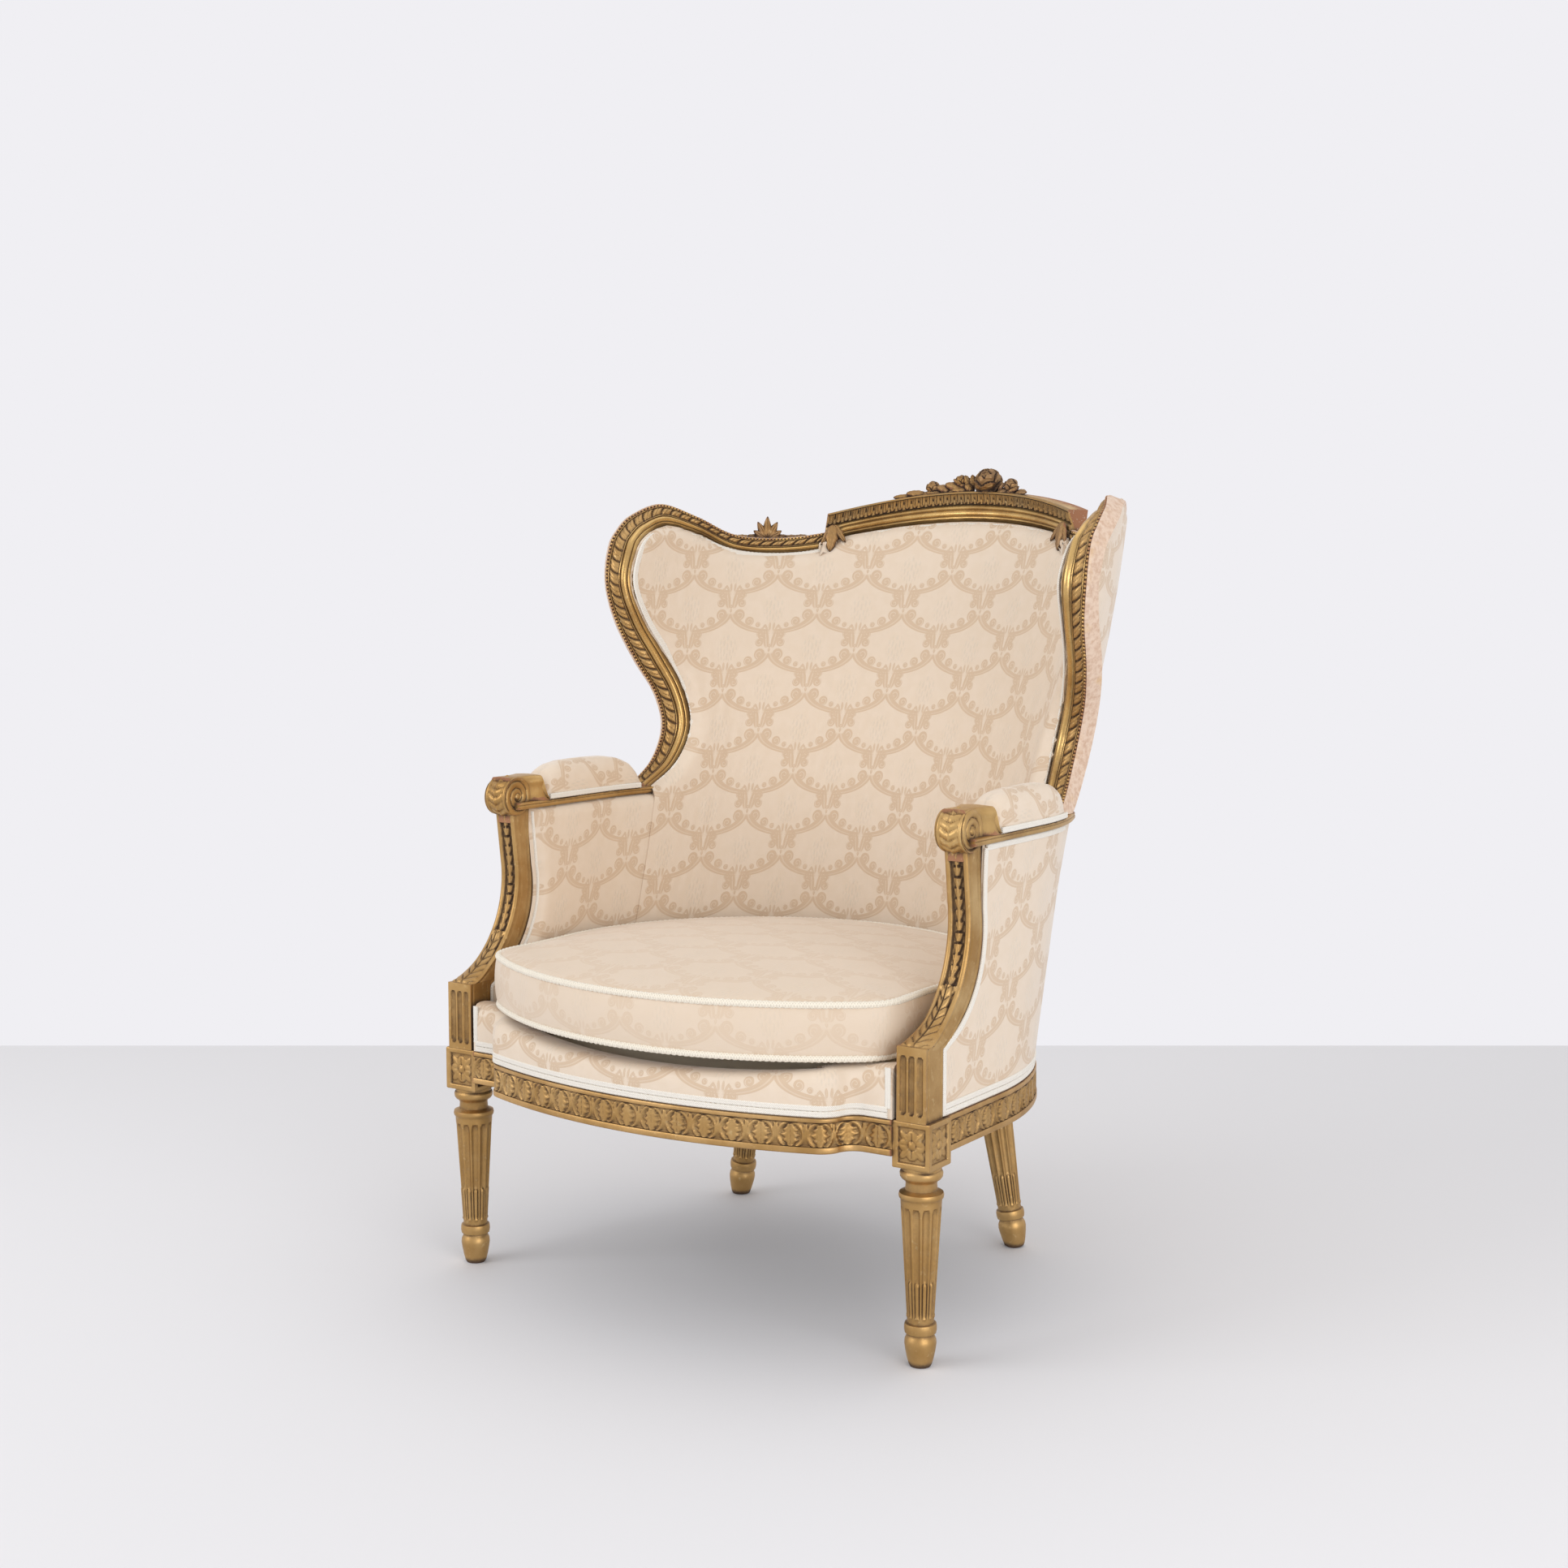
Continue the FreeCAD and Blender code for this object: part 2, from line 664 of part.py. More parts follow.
def arm_rail():
    """Arm rail with its scroll, raised block, hollow and rebates for the fabric on both sides."""
    band_solid = arm_plan().extrude(Vector(0, 0, FAR))
    block_top = ARM_HEIGHT + ARM_BLOCK_RISE
    front_y = SUPPORT_TOP_Y - 2.0
    step_y = ARM_BLOCK_END
    rear_y = centre_y(ARM_HEIGHT) + FAR
    edges = [
        Part.makeLine(Vector(0, front_y, ARM_BOTTOM), Vector(0, front_y, block_top)),
        Part.makeLine(Vector(0, front_y, block_top), Vector(0, step_y, block_top)),
        three_point_arc(
            Vector(0, step_y, block_top),
            Vector(0, step_y + 3, ARM_HEIGHT + 9),
            Vector(0, step_y + 17, ARM_HEIGHT),
        ),
        Part.makeLine(Vector(0, step_y + 17, ARM_HEIGHT), Vector(0, rear_y, ARM_HEIGHT)),
        Part.makeLine(Vector(0, rear_y, ARM_HEIGHT), Vector(0, rear_y, ARM_BOTTOM)),
        Part.makeLine(Vector(0, rear_y, ARM_BOTTOM), Vector(0, front_y, ARM_BOTTOM)),
    ]
    profile = Part.Face(Part.Wire(Part.__sortEdges__(edges)))
    rail = profile.extrude(Vector(FAR, 0, 0)).common(band_solid)
    tongue = arm_plan(narrow=15.0).extrude(Vector(0, 0, FAR))
    shoulder = Part.makeBox(FAR, FAR, ARM_RAIL_DEPTH - ARM_LIP, Vector(0, step_y - 14, ARM_BOTTOM))
    rail = cut_all(rail, [shoulder.cut(tongue)] + block_sides(step_y))
    start = Vector(SUPPORT_X - SCROLL_WIDTH / 2, SCROLL_Y, SCROLL_Z)
    scroll = Part.makeCylinder(SCROLL_RADIUS, SCROLL_WIDTH, start, Vector(1, 0, 0))
    below = Vector(SUPPORT_X - 100, SUPPORT_TOP_Y - 2.0, ARM_BOTTOM - SCROLL_RADIUS)
    console_top = Part.makeBox(200, 200, SCROLL_RADIUS, below)
    return rail.fuse(scroll).cut(console_top).removeSplitter()


def smooth_row(rows, place):
    """Value of a guide row table at a fractional place, on a smooth curve through its rows."""
    index = min(int(place), len(rows) - 2)
    t = place - index
    before = rows[max(index - 1, 0)]
    here = rows[index]
    there = rows[index + 1]
    after = rows[min(index + 2, len(rows) - 1)]
    values = []
    for p0, p1, p2, p3 in zip(before, here, there, after):
        slope = (p2 - p0) / 2
        end_slope = (p3 - p1) / 2
        bend = 3 * (p2 - p1) - 2 * slope - end_slope
        twist = slope + end_slope - 2 * (p2 - p1)
        values.append(p1 + t * (slope + t * (bend + t * twist)))
    return values


def wing_places():
    last = len(WING_OUTER) - 1
    return [last * step / WING_STEPS for step in range(WING_STEPS + 1)]


def wing_line(rows, place):
    angle, rise, inset = smooth_row(rows, place)
    return shell_point(angle, ARM_HEIGHT + rise, inset)


def wing_station(place):
    """Outer point, inner point and face direction of one section of the wing frame."""
    last = len(WING_OUTER) - 1
    before = max(place - 0.5, 0)
    after = min(place + 0.5, last)
    outer = wing_line(WING_OUTER, place)
    across = wing_line(WING_INNER, place) - outer
    along = wing_line(WING_OUTER, after) + wing_line(WING_INNER, after)
    along -= wing_line(WING_OUTER, before) + wing_line(WING_INNER, before)
    if place == 0:
        along = Vector(0, 0, 1)
    face = along.cross(across)
    face.normalize()
    return outer, across, face


def wing_section(place):
    outer, across, face = wing_station(place)
    points = [outer + across * share + face * height for share, height in WING_MOULDING]
    depth = FRAME_THICKNESS - COVER_THICKNESS - FIT_GAP
    points.append(outer + across - face * depth)
    points.append(outer - face * depth)
    if place == 0:
        points = [Vector(p.x, p.y, ARM_HEIGHT) for p in points]
    if place == len(WING_OUTER) - 1:
        points = [on_crest_end(p) for p in points]
    return points


def on_crest_end(point):
    """Move a point along the plan onto the upright radial face where the crest rail starts."""
    centre = centre_y(point.z)
    radius = math.hypot(point.x, point.y - centre)
    turn = math.radians(CREST_END_ANGLE)
    return Vector(radius * math.cos(turn), centre + radius * math.sin(turn), point.z)


def wing_frame():
    """Moulded wing frame, lofted through its guide rows from the arm to the crest rail."""
    frame = skin([wing_section(place) for place in wing_places()])
    below = Part.makeBox(FAR, FAR, ARM_HEIGHT, Vector(0, -FAR / 2, 0))
    return cut_all(frame, [below])


def crest_heights(angle):
    x = (half_width(CREST_TOP) - FRAME_THICKNESS) * math.cos(math.radians(angle))
    end_x = (half_width(CREST_TOP) - FRAME_THICKNESS) * math.cos(math.radians(CREST_END_ANGLE))
    sag = (x / end_x) ** 2
    top = CREST_TOP - CREST_ARCH * sag
    corner = 1.0 - ease((abs(90.0 - CREST_END_ANGLE) - abs(90.0 - angle) - 0.6) / 4.4)
    bottom = CREST_TOP - CREST_HEIGHT - CREST_ARCH * 0.85 * sag - (CREST_END_DROP - 8) * corner
    return top, bottom


def crest_section(angle):
    top, bottom = crest_heights(angle)
    face = FRAME_THICKNESS
    leaf_foot = top - CORNICE_HEIGHT
    spots = [
        (COVER_THICKNESS + FIT_GAP, top),
        (face + CORNICE_PROUD, top),
        (face + CORNICE_PROUD, top - 4.0),
        (face + 2.0, leaf_foot),
    ]
    for share, height in CREST_MOULDING:
        spots.append((face + height, leaf_foot + (bottom - leaf_foot) * share))
    spots.append((COVER_THICKNESS + FIT_GAP, bottom))
    return [shell_point(angle, z, inset) for inset, z in spots]


def crest_rail():
    """Arched crest rail with an overhanging cornice and stepped-down ends."""
    steps = [0, 1.4, 2.8, 4.2, 6.0, 11.0, 17.0, 23.0, 29.0]
    left = [CREST_END_ANGLE + step for step in steps]
    angles = left + [90.0] + [180.0 - angle for angle in reversed(left)]
    return skin([crest_section(angle) for angle in angles])


def crest_carving():
    """Flower spray seated on the cornice: a large rose, two lesser flowers and leaf tails."""
    pieces = [flower_head(0.0, SPRAY_HEIGHT * 0.82, SPRAY_HEIGHT * 0.22)]
    for side in (-1, 1):
        pieces.append(flower_head(side * 26.0, SPRAY_HEIGHT * 0.6, 1.0))
        pieces.append(flower_head(side * 45.0, SPRAY_HEIGHT * 0.48, 0.0))
        pieces.append(leaf_tail(side * 38.0, side * 98.0))
    spray = pieces[0].fuse(pieces[1:])
    return cut_all(spray, [crest_rail()])


def flower_head(x, radius, lift):
    """Domed flower with eight petals, facing forwards off the top edge of the crest."""
    spot = side_spray_spot(x) + Vector(0, 0, lift)
    rows = []
    for depth, share in ((0.75, 0.6), (0.0, 1.0), (-0.8, 0.4)):
        points = []
        for index in range(2 * FLOWER_PETALS):
            turn = math.pi * index / FLOWER_PETALS
            reach = radius * share * (1.0 if index % 2 else 0.88)
            points.append(spot + Vector(reach * math.cos(turn), depth * radius, reach * math.sin(turn)))
        rows.append(points)
    return skin(rows)


def leaf_tail(start, end):
    """Tapering leaf that trails along the top edge of the crest."""
    rows = []
    for share, half in ((0.0, 9.0), (0.35, 7.0), (0.7, 6.0), (1.0, 2.5)):
        spot = side_spray_spot(start + (end - start) * share)
        corners = [Vector(0, -half, -3.0), Vector(0, half, -3.0), Vector(0, half * 0.6, half), Vector(0, -half * 0.6, half)]
        rows.append([spot + corner for corner in corners])
    return skin(rows)


def side_spray_spot(x):
    """Point on the front of the cornice's top edge at a distance from the middle."""
    radius = half_width(CREST_TOP) - FRAME_THICKNESS
    angle = math.degrees(math.acos(x / radius))
    top = crest_heights(angle)[0]
    spot = shell_point(angle, top, FRAME_THICKNESS)
    return spot + Vector(0, 0, 3.0)


def palmette(frame):
    """Fan of pointed lobes standing on the dip of the wing frame."""
    inner = PALMETTE_RADIUS * 0.82
    outer = PALMETTE_RADIUS * 1.06
    foot_depth = 6.0
    points = [Vector(inner, 0, -foot_depth), Vector(inner, 0, 0)]
    for lobe in range(PALMETTE_LOBES):
        for share, reach in ((0.3, outer), (0.7, outer), (1.0, inner)):
            turn = math.pi * (lobe + share) / PALMETTE_LOBES
            points.append(Vector(reach * math.cos(turn), 0, reach * math.sin(turn)))
    points.append(Vector(-inner, 0, -foot_depth))
    fan = prism(points, Vector(0, PALMETTE_THICKNESS, 0))
    fan.rotate(Vector(0, 0, 0), Vector(0, 0, 1), PALMETTE_ANGLE - 90.0)
    fan.translate(shell_point(PALMETTE_ANGLE, ARM_HEIGHT + 355.0, FRAME_THICKNESS - 2))
    return cut_all(fan, [frame])


def panel_cutter():
    """Side-view tool that trims the side panels to the support, the arm lip and the wing."""
    back = support_back_edge()
    knee_y = POST_FRONT_Y + POST_SIZE
    lip = ARM_HEIGHT - ARM_LIP
    line = [wing_line(WING_INNER, place) for place in wing_places()]
    line = [Vector(0, p.y, p.z) for p in line]
    line[0] = Vector(0, line[0].y, lip)
    knee = Vector(0, knee_y, back[0].z + 8.0)
    top_back = Vector(0, back[3].y, lip)
    edges = [
        Part.makeLine(Vector(0, knee_y, 0), knee),
        three_point_arc(knee, back[1], back[2]),
        Part.makeLine(back[2], top_back),
        Part.makeLine(top_back, line[0]),
        Part.makeLine(line[-1], Vector(0, FAR, line[-1].z)),
        Part.makeLine(Vector(0, FAR, line[-1].z), Vector(0, FAR, FAR)),
        Part.makeLine(Vector(0, FAR, FAR), Vector(0, -FAR, FAR)),
        Part.makeLine(Vector(0, -FAR, FAR), Vector(0, -FAR, 0)),
        Part.makeLine(Vector(0, -FAR, 0), Vector(0, knee_y, 0)),
    ]
    edges += [Part.makeLine(a, b) for a, b in zip(line, line[1:])]
    face = Part.Face(Part.Wire(Part.__sortEdges__(edges)))
    start = shell_point(CREST_END_ANGLE + 1.5, CREST_TOP, FRAME_THICKNESS).x
    tool = face.extrude(Vector(FAR, 0, 0))
    tool.translate(Vector(start, 0, 0))
    return tool


def crest_cutter():
    """Front-view tool that trims the back panels to the lower edge of the crest rail."""
    start = shell_point(CREST_END_ANGLE + 1.5, CREST_TOP, FRAME_THICKNESS).x
    points = []
    for step in range(9):
        x = start * (1 - step / 4.0)
        radius = half_width(CREST_TOP) - FRAME_THICKNESS
        angle = math.degrees(math.acos(x / radius))
        points.append(Vector(x, 0, crest_heights(angle)[1]))
    points += [Vector(points[-1].x, 0, FAR), Vector(points[0].x, 0, FAR)]
    return prism(points, Vector(0, FAR, 0))


def inner_side_pad(tools):
    rows = []
    for rise, seam_inset, _ in PAD_FACES:
        z = RAIL_TOP + rise
        middle = (SIDE_PAD_FACE + seam_inset) / 2 + 1.0
        edges = side_edges(-20.0, SEAM_ANGLE, z, PAD_BACK, SIDE_PAD_FACE, middle, seam_inset)
        rows.append(row_points(edges, SIDE_STEPS))
    return cut_all(skin(rows), tools)


def inner_back_pad(tools):
    rows = []
    for rise, seam_inset, middle_inset in PAD_FACES:
        z = RAIL_TOP + rise
        start = shell_point(SEAM_ANGLE, z, seam_inset)
        end = shell_point(180 - SEAM_ANGLE, z, seam_inset)
        edges = arc_edges(SEAM_ANGLE, 180 - SEAM_ANGLE, z, PAD_BACK)
        edges.append(Part.makeLine(shell_point(180 - SEAM_ANGLE, z, PAD_BACK), end))
        full = Part.Arc(end, shell_point(90, z, middle_inset), start)
        half = (full.FirstParameter + full.LastParameter) / 2
        edges.append(full.toShape(full.FirstParameter, half))
        edges.append(full.toShape(half, full.LastParameter))
        edges.append(Part.makeLine(start, shell_point(SEAM_ANGLE, z, PAD_BACK)))
        rows.append(row_points(edges, BACK_STEPS))
    return cut_all(skin(rows), tools)


def outer_side_cover(tools):
    rows = []
    for z in SHELL_LEVELS:
        rows.append(row_points(side_edges(-20.0, SEAM_ANGLE, z, 0.0, COVER_THICKNESS), COVER_STEPS))
    return cut_all(skin(rows), tools)


def outer_back_cover(tools):
    rows = []
    for z in SHELL_LEVELS:
        edges = arc_edges(SEAM_ANGLE, 180 - SEAM_ANGLE, z, 0.0)
        end = shell_point(180 - SEAM_ANGLE, z, 0.0)
        edges.append(Part.makeLine(end, shell_point(180 - SEAM_ANGLE, z, COVER_THICKNESS)))
        edges += arc_edges(SEAM_ANGLE, 180 - SEAM_ANGLE, z, COVER_THICKNESS)[::-1]
        start = shell_point(SEAM_ANGLE, z, 0.0)
        edges.append(Part.makeLine(shell_point(SEAM_ANGLE, z, COVER_THICKNESS), start))
        rows.append(row_points(edges, BACK_COVER_STEPS))
    return cut_all(skin(rows), tools)


def upright(angle, top, tools):
    """Hidden upright that stands on the seat rail and follows the rake of the shell."""
    heights = [z for z in SHELL_LEVELS if z < top] + [top]
    start = angle - STILE_WIDTH_ANGLE / 2
    post = band(start, start + STILE_WIDTH_ANGLE, heights, COVER_THICKNESS + FIT_GAP, FRAME_THICKNESS - 1)
    return cut_all(post, tools)


def tack_rail(start, end):
    low = RAIL_TOP + TACK_RAIL_LIFT
    heights = [low, low + TACK_RAIL_HEIGHT]
    return band(start, end, heights, COVER_THICKNESS + FIT_GAP, 22.0)


def front_corner_block():
    low = SEAT_RAIL_BOTTOM + BLOCK_INSET
    height = SEAT_RAIL_HEIGHT - 2 * BLOCK_INSET
    y = FRONT_FACE_Y + RAIL_THICKNESS
    side_x = half_width(RAIL_TOP) - RAIL_THICKNESS + RAIL_PROUD
    points = [
        Vector(DIE_INNER_X, y, low),
        Vector(DIE_INNER_X - 34.0, y, low),
        Vector(side_x, y + BLOCK_LEG + 30.0, low),
        Vector(side_x, DIE_SIZE / 2, low),
        Vector(DIE_INNER_X, DIE_SIZE / 2, low),
    ]
    return prism(points, Vector(0, 0, height))


def rear_corner_block():
    low = SEAT_RAIL_BOTTOM + BLOCK_INSET
    height = SEAT_RAIL_HEIGHT - 2 * BLOCK_INSET
    radius = half_width(RAIL_TOP) - RAIL_THICKNESS + RAIL_PROUD
    centre = Vector(0, centre_y(RAIL_TOP), low)

    def spot(distance, angle):
        turn = math.radians(angle)
        return centre + Vector(distance * math.cos(turn), distance * math.sin(turn), 0)

    start = BACK_STILE_ANGLE - 8.0
    end = BACK_STILE_ANGLE + 8.0
    edges = [three_point_arc(spot(radius, start), spot(radius, BACK_STILE_ANGLE), spot(radius, end))]
    edges.append(Part.makeLine(spot(radius, end), spot(radius - 28.0, end - 3)))
    edges.append(Part.makeLine(spot(radius - 28.0, end - 3), spot(radius - 28.0, start + 3)))
    edges.append(Part.makeLine(spot(radius - 28.0, start + 3), spot(radius, start)))
    return Part.Face(Part.Wire(Part.__sortEdges__(edges))).extrude(Vector(0, 0, height))


def loose_tenons():
    """Loose tenons that join the post to the leg and the arm rail to its support."""
    places = [
        Vector(POST_X, POST_FRONT_Y + POST_SIZE / 2, RAIL_TOP),
        Vector(SUPPORT_X, SUPPORT_TOP_Y + SUPPORT_DEPTH / 2 + 3.0, ARM_BOTTOM),
    ]
    half = Vector(LOOSE_TENON_THICKNESS / 2, LOOSE_TENON_WIDTH / 2, LOOSE_TENON_LENGTH / 2)
    sizes = (LOOSE_TENON_THICKNESS, LOOSE_TENON_WIDTH, LOOSE_TENON_LENGTH)
    return [Part.makeBox(*sizes, place - half) for place in places]


def seat_plan(z, inset, front_offset):
    """Points of the D-shaped seat plan: bowed front, straight sides and the round of the back."""
    wide = half_width(z) - inset
    centre = centre_y(z)
    edges, left, right = front_outline(front_offset)
    front = row_points(edges + [Part.makeLine(right, left)], FRONT_STEPS)
    points = [Vector(min(max(p.x, -wide), wide), p.y, z) for p in front]
    for step in range(BACK_STEPS * 2 + 1):
        turn = math.pi * (1 - step / (BACK_STEPS * 2))
        points.append(Vector(wide * math.cos(turn), centre + wide * math.sin(turn), z))
    return points


def web_strap_y(x):
    """Front and rear ends of a strap that runs from front to back at one place."""
    radius = half_width(RAIL_TOP) - WEB_LAP
    reach = abs(x) + WEB_WIDTH / 2
    rear = SHELL_CENTRE_Y + math.sqrt(radius * radius - reach * reach)
    bow_half = DIE_INNER_X - 78.5
    front = FRONT_FACE_Y - BOW_DEPTH + 0.5 * BOW_DEPTH * (reach / bow_half) ** 2 + WEB_LAP / 2
    return front, rear


def web_strap_x(y):
    """Half length of a strap that runs from side to side at one place."""
    radius = half_width(RAIL_TOP) - WEB_LAP
    reach = max(y + WEB_WIDTH / 2 - SHELL_CENTRE_Y, 0.0)
    return math.sqrt(radius * radius - reach * reach)


def seat_webbing(tools):
    """Woven straps in both directions, tacked on top of the seat rails."""
    straps = []
    for place in WEB_PLACES_X:
        front, rear = web_strap_y(place)
        for side in sorted({place, -place}):
            corner = Vector(side - WEB_WIDTH / 2, front, RAIL_TOP)
            straps.append(Part.makeBox(WEB_WIDTH, rear - front, WEB_THICKNESS, corner))
    for place in WEB_PLACES_Y:
        y = SHELL_CENTRE_Y + place
        half = web_strap_x(y)
        corner = Vector(-half, y - WEB_WIDTH / 2, RAIL_TOP)
        straps.append(Part.makeBox(2 * half, WEB_WIDTH, WEB_THICKNESS, corner))
    grid = straps[0].fuse(straps[1:]).removeSplitter()
    return cut_all(grid, tools)


def dust_cover():
    """Thin lining tacked under the seat rails, trimmed round the four legs."""
    radius = half_width(RAIL_TOP) - 14.0
    bow_half = DIE_INNER_X - 78.5
    front_y = FRONT_FACE_Y + 16.0
    low = SEAT_RAIL_BOTTOM - LINING_THICKNESS
    points = []
    for step in range(LINING_STEPS + 1):
        share = 2.0 * step / LINING_STEPS - 1.0
        points.append(Vector(share * bow_half, front_y - BOW_DEPTH + 0.5 * BOW_DEPTH * share * share, low))
    points.append(Vector(DIE_INNER_X - 40.0, front_y, low))
    points.append(Vector(DIE_INNER_X, front_y, low))
    for step in range(LINING_STEPS + 1):
        turn = math.pi * step / LINING_STEPS
        points.append(Vector(radius * math.cos(turn), SHELL_CENTRE_Y + radius * math.sin(turn), low))
    points.append(Vector(-DIE_INNER_X, front_y, low))
    points.append(Vector(-DIE_INNER_X + 40.0, front_y, low))
    sheet = prism(points, Vector(0, 0, LINING_THICKNESS))
    top = rear_leg_top()
    clear = 2 * LEG_TOP_RADIUS + 12.0
    die = DIE_SIZE + 2.0
    cuts = []
    for side in (1, -1):
        rear = Vector(side * top.x - clear / 2, top.y - clear / 2, low - clear / 2)
        cuts.append(Part.makeBox(clear, clear, clear, rear))
        front = Vector(side * FRONT_LEG_X - die / 2, -die / 2, low - die / 2)
        cuts.append(Part.makeBox(die, die, die, front))
    return cut_all(sheet, cuts)


def border_row(front, back, z):
    """Points of the stuffed roll's plan at one height, between two offsets from the front."""
    outer, outer_left, outer_right = front_outline(front)
    inner, inner_left, inner_right = front_outline(back)
    edges = outer + [Part.makeLine(outer_right, inner_right)] + inner[::-1]
    edges.append(Part.makeLine(inner_left, outer_left))
    return [point + Vector(0, 0, z) for point in row_points(edges, FRONT_STEPS)]


def front_border():
    """Stuffed roll behind the front fabric, with a rounded top edge."""
    top = WEB_TOP + BORDER_HEIGHT
    rows = [
        border_row(2.0, BORDER_DEPTH, WEB_TOP),
        border_row(3.0, BORDER_DEPTH, top - 16.0),
        border_row(6.0, BORDER_DEPTH, top - 6.0),
        border_row(13.0, BORDER_DEPTH - 4.0, top),
    ]
    return skin(rows)


def seat_platform():
    """Stuffed deck under the loose cushion."""
    levels = (WEB_TOP, PLATFORM_TOP)
    return skin([seat_plan(z, PLATFORM_INSET, BORDER_DEPTH + FIT_GAP) for z in levels])


def cushion_row(z, draw):
    """Plan of the loose cushion at one height, drawn in from its seam line by a distance."""
    half = CUSHION_HALF_WIDTH - draw
    rear_centre = centre_y(PLATFORM_TOP) - CUSHION_REAR_GAP
    front_y = FRONT_FACE_Y - BOW_DEPTH - CUSHION_OVERHANG + draw
    front_r = CUSHION_FRONT_RADIUS
    corner = max(CUSHION_CORNER - draw * 0.2, 8.0)
    front_centre = front_y + front_r
    centre_x = half - corner
    reach = front_r - corner
    centre_spot = front_centre - math.sqrt(reach * reach - centre_x * centre_x)
    corner_centre = Vector(centre_x, centre_spot, z)
    lean = math.atan2(front_centre - centre_spot, centre_x)
    touch = corner_centre + Vector(math.cos(lean), -math.sin(lean), 0) * corner
    half_lean = lean / 2
    mid_corner = corner_centre + Vector(math.cos(half_lean), -math.sin(half_lean), 0) * corner
    side_start = corner_centre + Vector(corner, 0, 0)
    side_end = Vector(half, rear_centre, z)
    waist = Vector(half - 3.0, (side_start.y + side_end.y) / 2, z)

    def flip(p):
        return Vector(-p.x, p.y, p.z)

    front_mid = Vector(0, front_y, z)
    back_mid = Vector(0, rear_centre + half, z)
    diagonal = Vector(half * math.sqrt(0.5), rear_centre + half * math.sqrt(0.5), z)
    edges = [three_point_arc(touch, front_mid, flip(touch))]
    edges.append(three_point_arc(flip(touch), flip(mid_corner), flip(side_start)))
    edges.append(three_point_arc(flip(side_start), flip(waist), flip(side_end)))
    edges.append(three_point_arc(flip(side_end), flip(diagonal), back_mid))
    edges.append(three_point_arc(back_mid, diagonal, side_end))
    edges.append(three_point_arc(side_end, waist, side_start))
    edges.append(three_point_arc(side_start, mid_corner, touch))
    return row_points(edges, CUSHION_STEPS)


def seat_cushion():
    """Boxed loose cushion: flat below, drawn in at its two seams, crowned on top."""
    low = PLATFORM_TOP + FIT_GAP
    top_seam = low + CUSHION_BOXING
    rows = [
        (low, CUSHION_BULGE),
        (low + CUSHION_BOXING * 0.25, CUSHION_BULGE * 0.2),
        (low + CUSHION_BOXING * 0.75, CUSHION_BULGE * 0.2),
        (top_seam, CUSHION_BULGE),
    ]
    for step in range(1, CROWN_STEPS + 1):
        turn = math.pi / 2 * step / CROWN_STEPS
        draw = CUSHION_BULGE + CROWN_REACH * (1 - math.cos(turn))
        rows.append((top_seam + CUSHION_CROWN * math.sin(turn), draw))
    return skin([cushion_row(z, draw) for z, draw in rows])


def arm_pad(tools):
    """Padded elbow rest: arched cross-sections that follow the arm rail and close at both ends."""
    centre = centre_y(ARM_HEIGHT)
    rear = shell_point(WING_OUTER[0][0], ARM_HEIGHT, 0).y - ARM_PAD_REAR_GAP
    length = rear - ARM_PAD_START
    rows = [
        (0.0, 0.62, 0.2),
        (0.035, 0.86, 0.55),
        (0.12, 1.0, 0.86),
        (0.35, 1.0, 1.0),
        (0.65, 1.0, 1.0),
        (0.88, 1.0, 0.82),
        (0.97, 0.86, 0.5),
        (1.0, 0.62, 0.2),
    ]
    sections = []
    for share, width_share, height_share in rows:
        y = ARM_PAD_START + length * share
        bend = max(y - centre, 0.0)
        x = math.sqrt(SUPPORT_X * SUPPORT_X - bend * bend)
        half = ARM_PAD_WIDTH / 2 * width_share
        height = ARM_PAD_HEIGHT * height_share
        points = [Vector(x - half, y, ARM_HEIGHT)]
        for step in range(ARM_PAD_STEPS + 1):
            turn = math.pi * step / ARM_PAD_STEPS
            lift = height * (0.3 + 0.7 * math.sin(turn))
            points.append(Vector(x - half * math.cos(turn), y, ARM_HEIGHT + lift))
        points.append(Vector(x + half, y, ARM_HEIGHT))
        sections.append(points)
    return cut_all(skin(sections), tools)


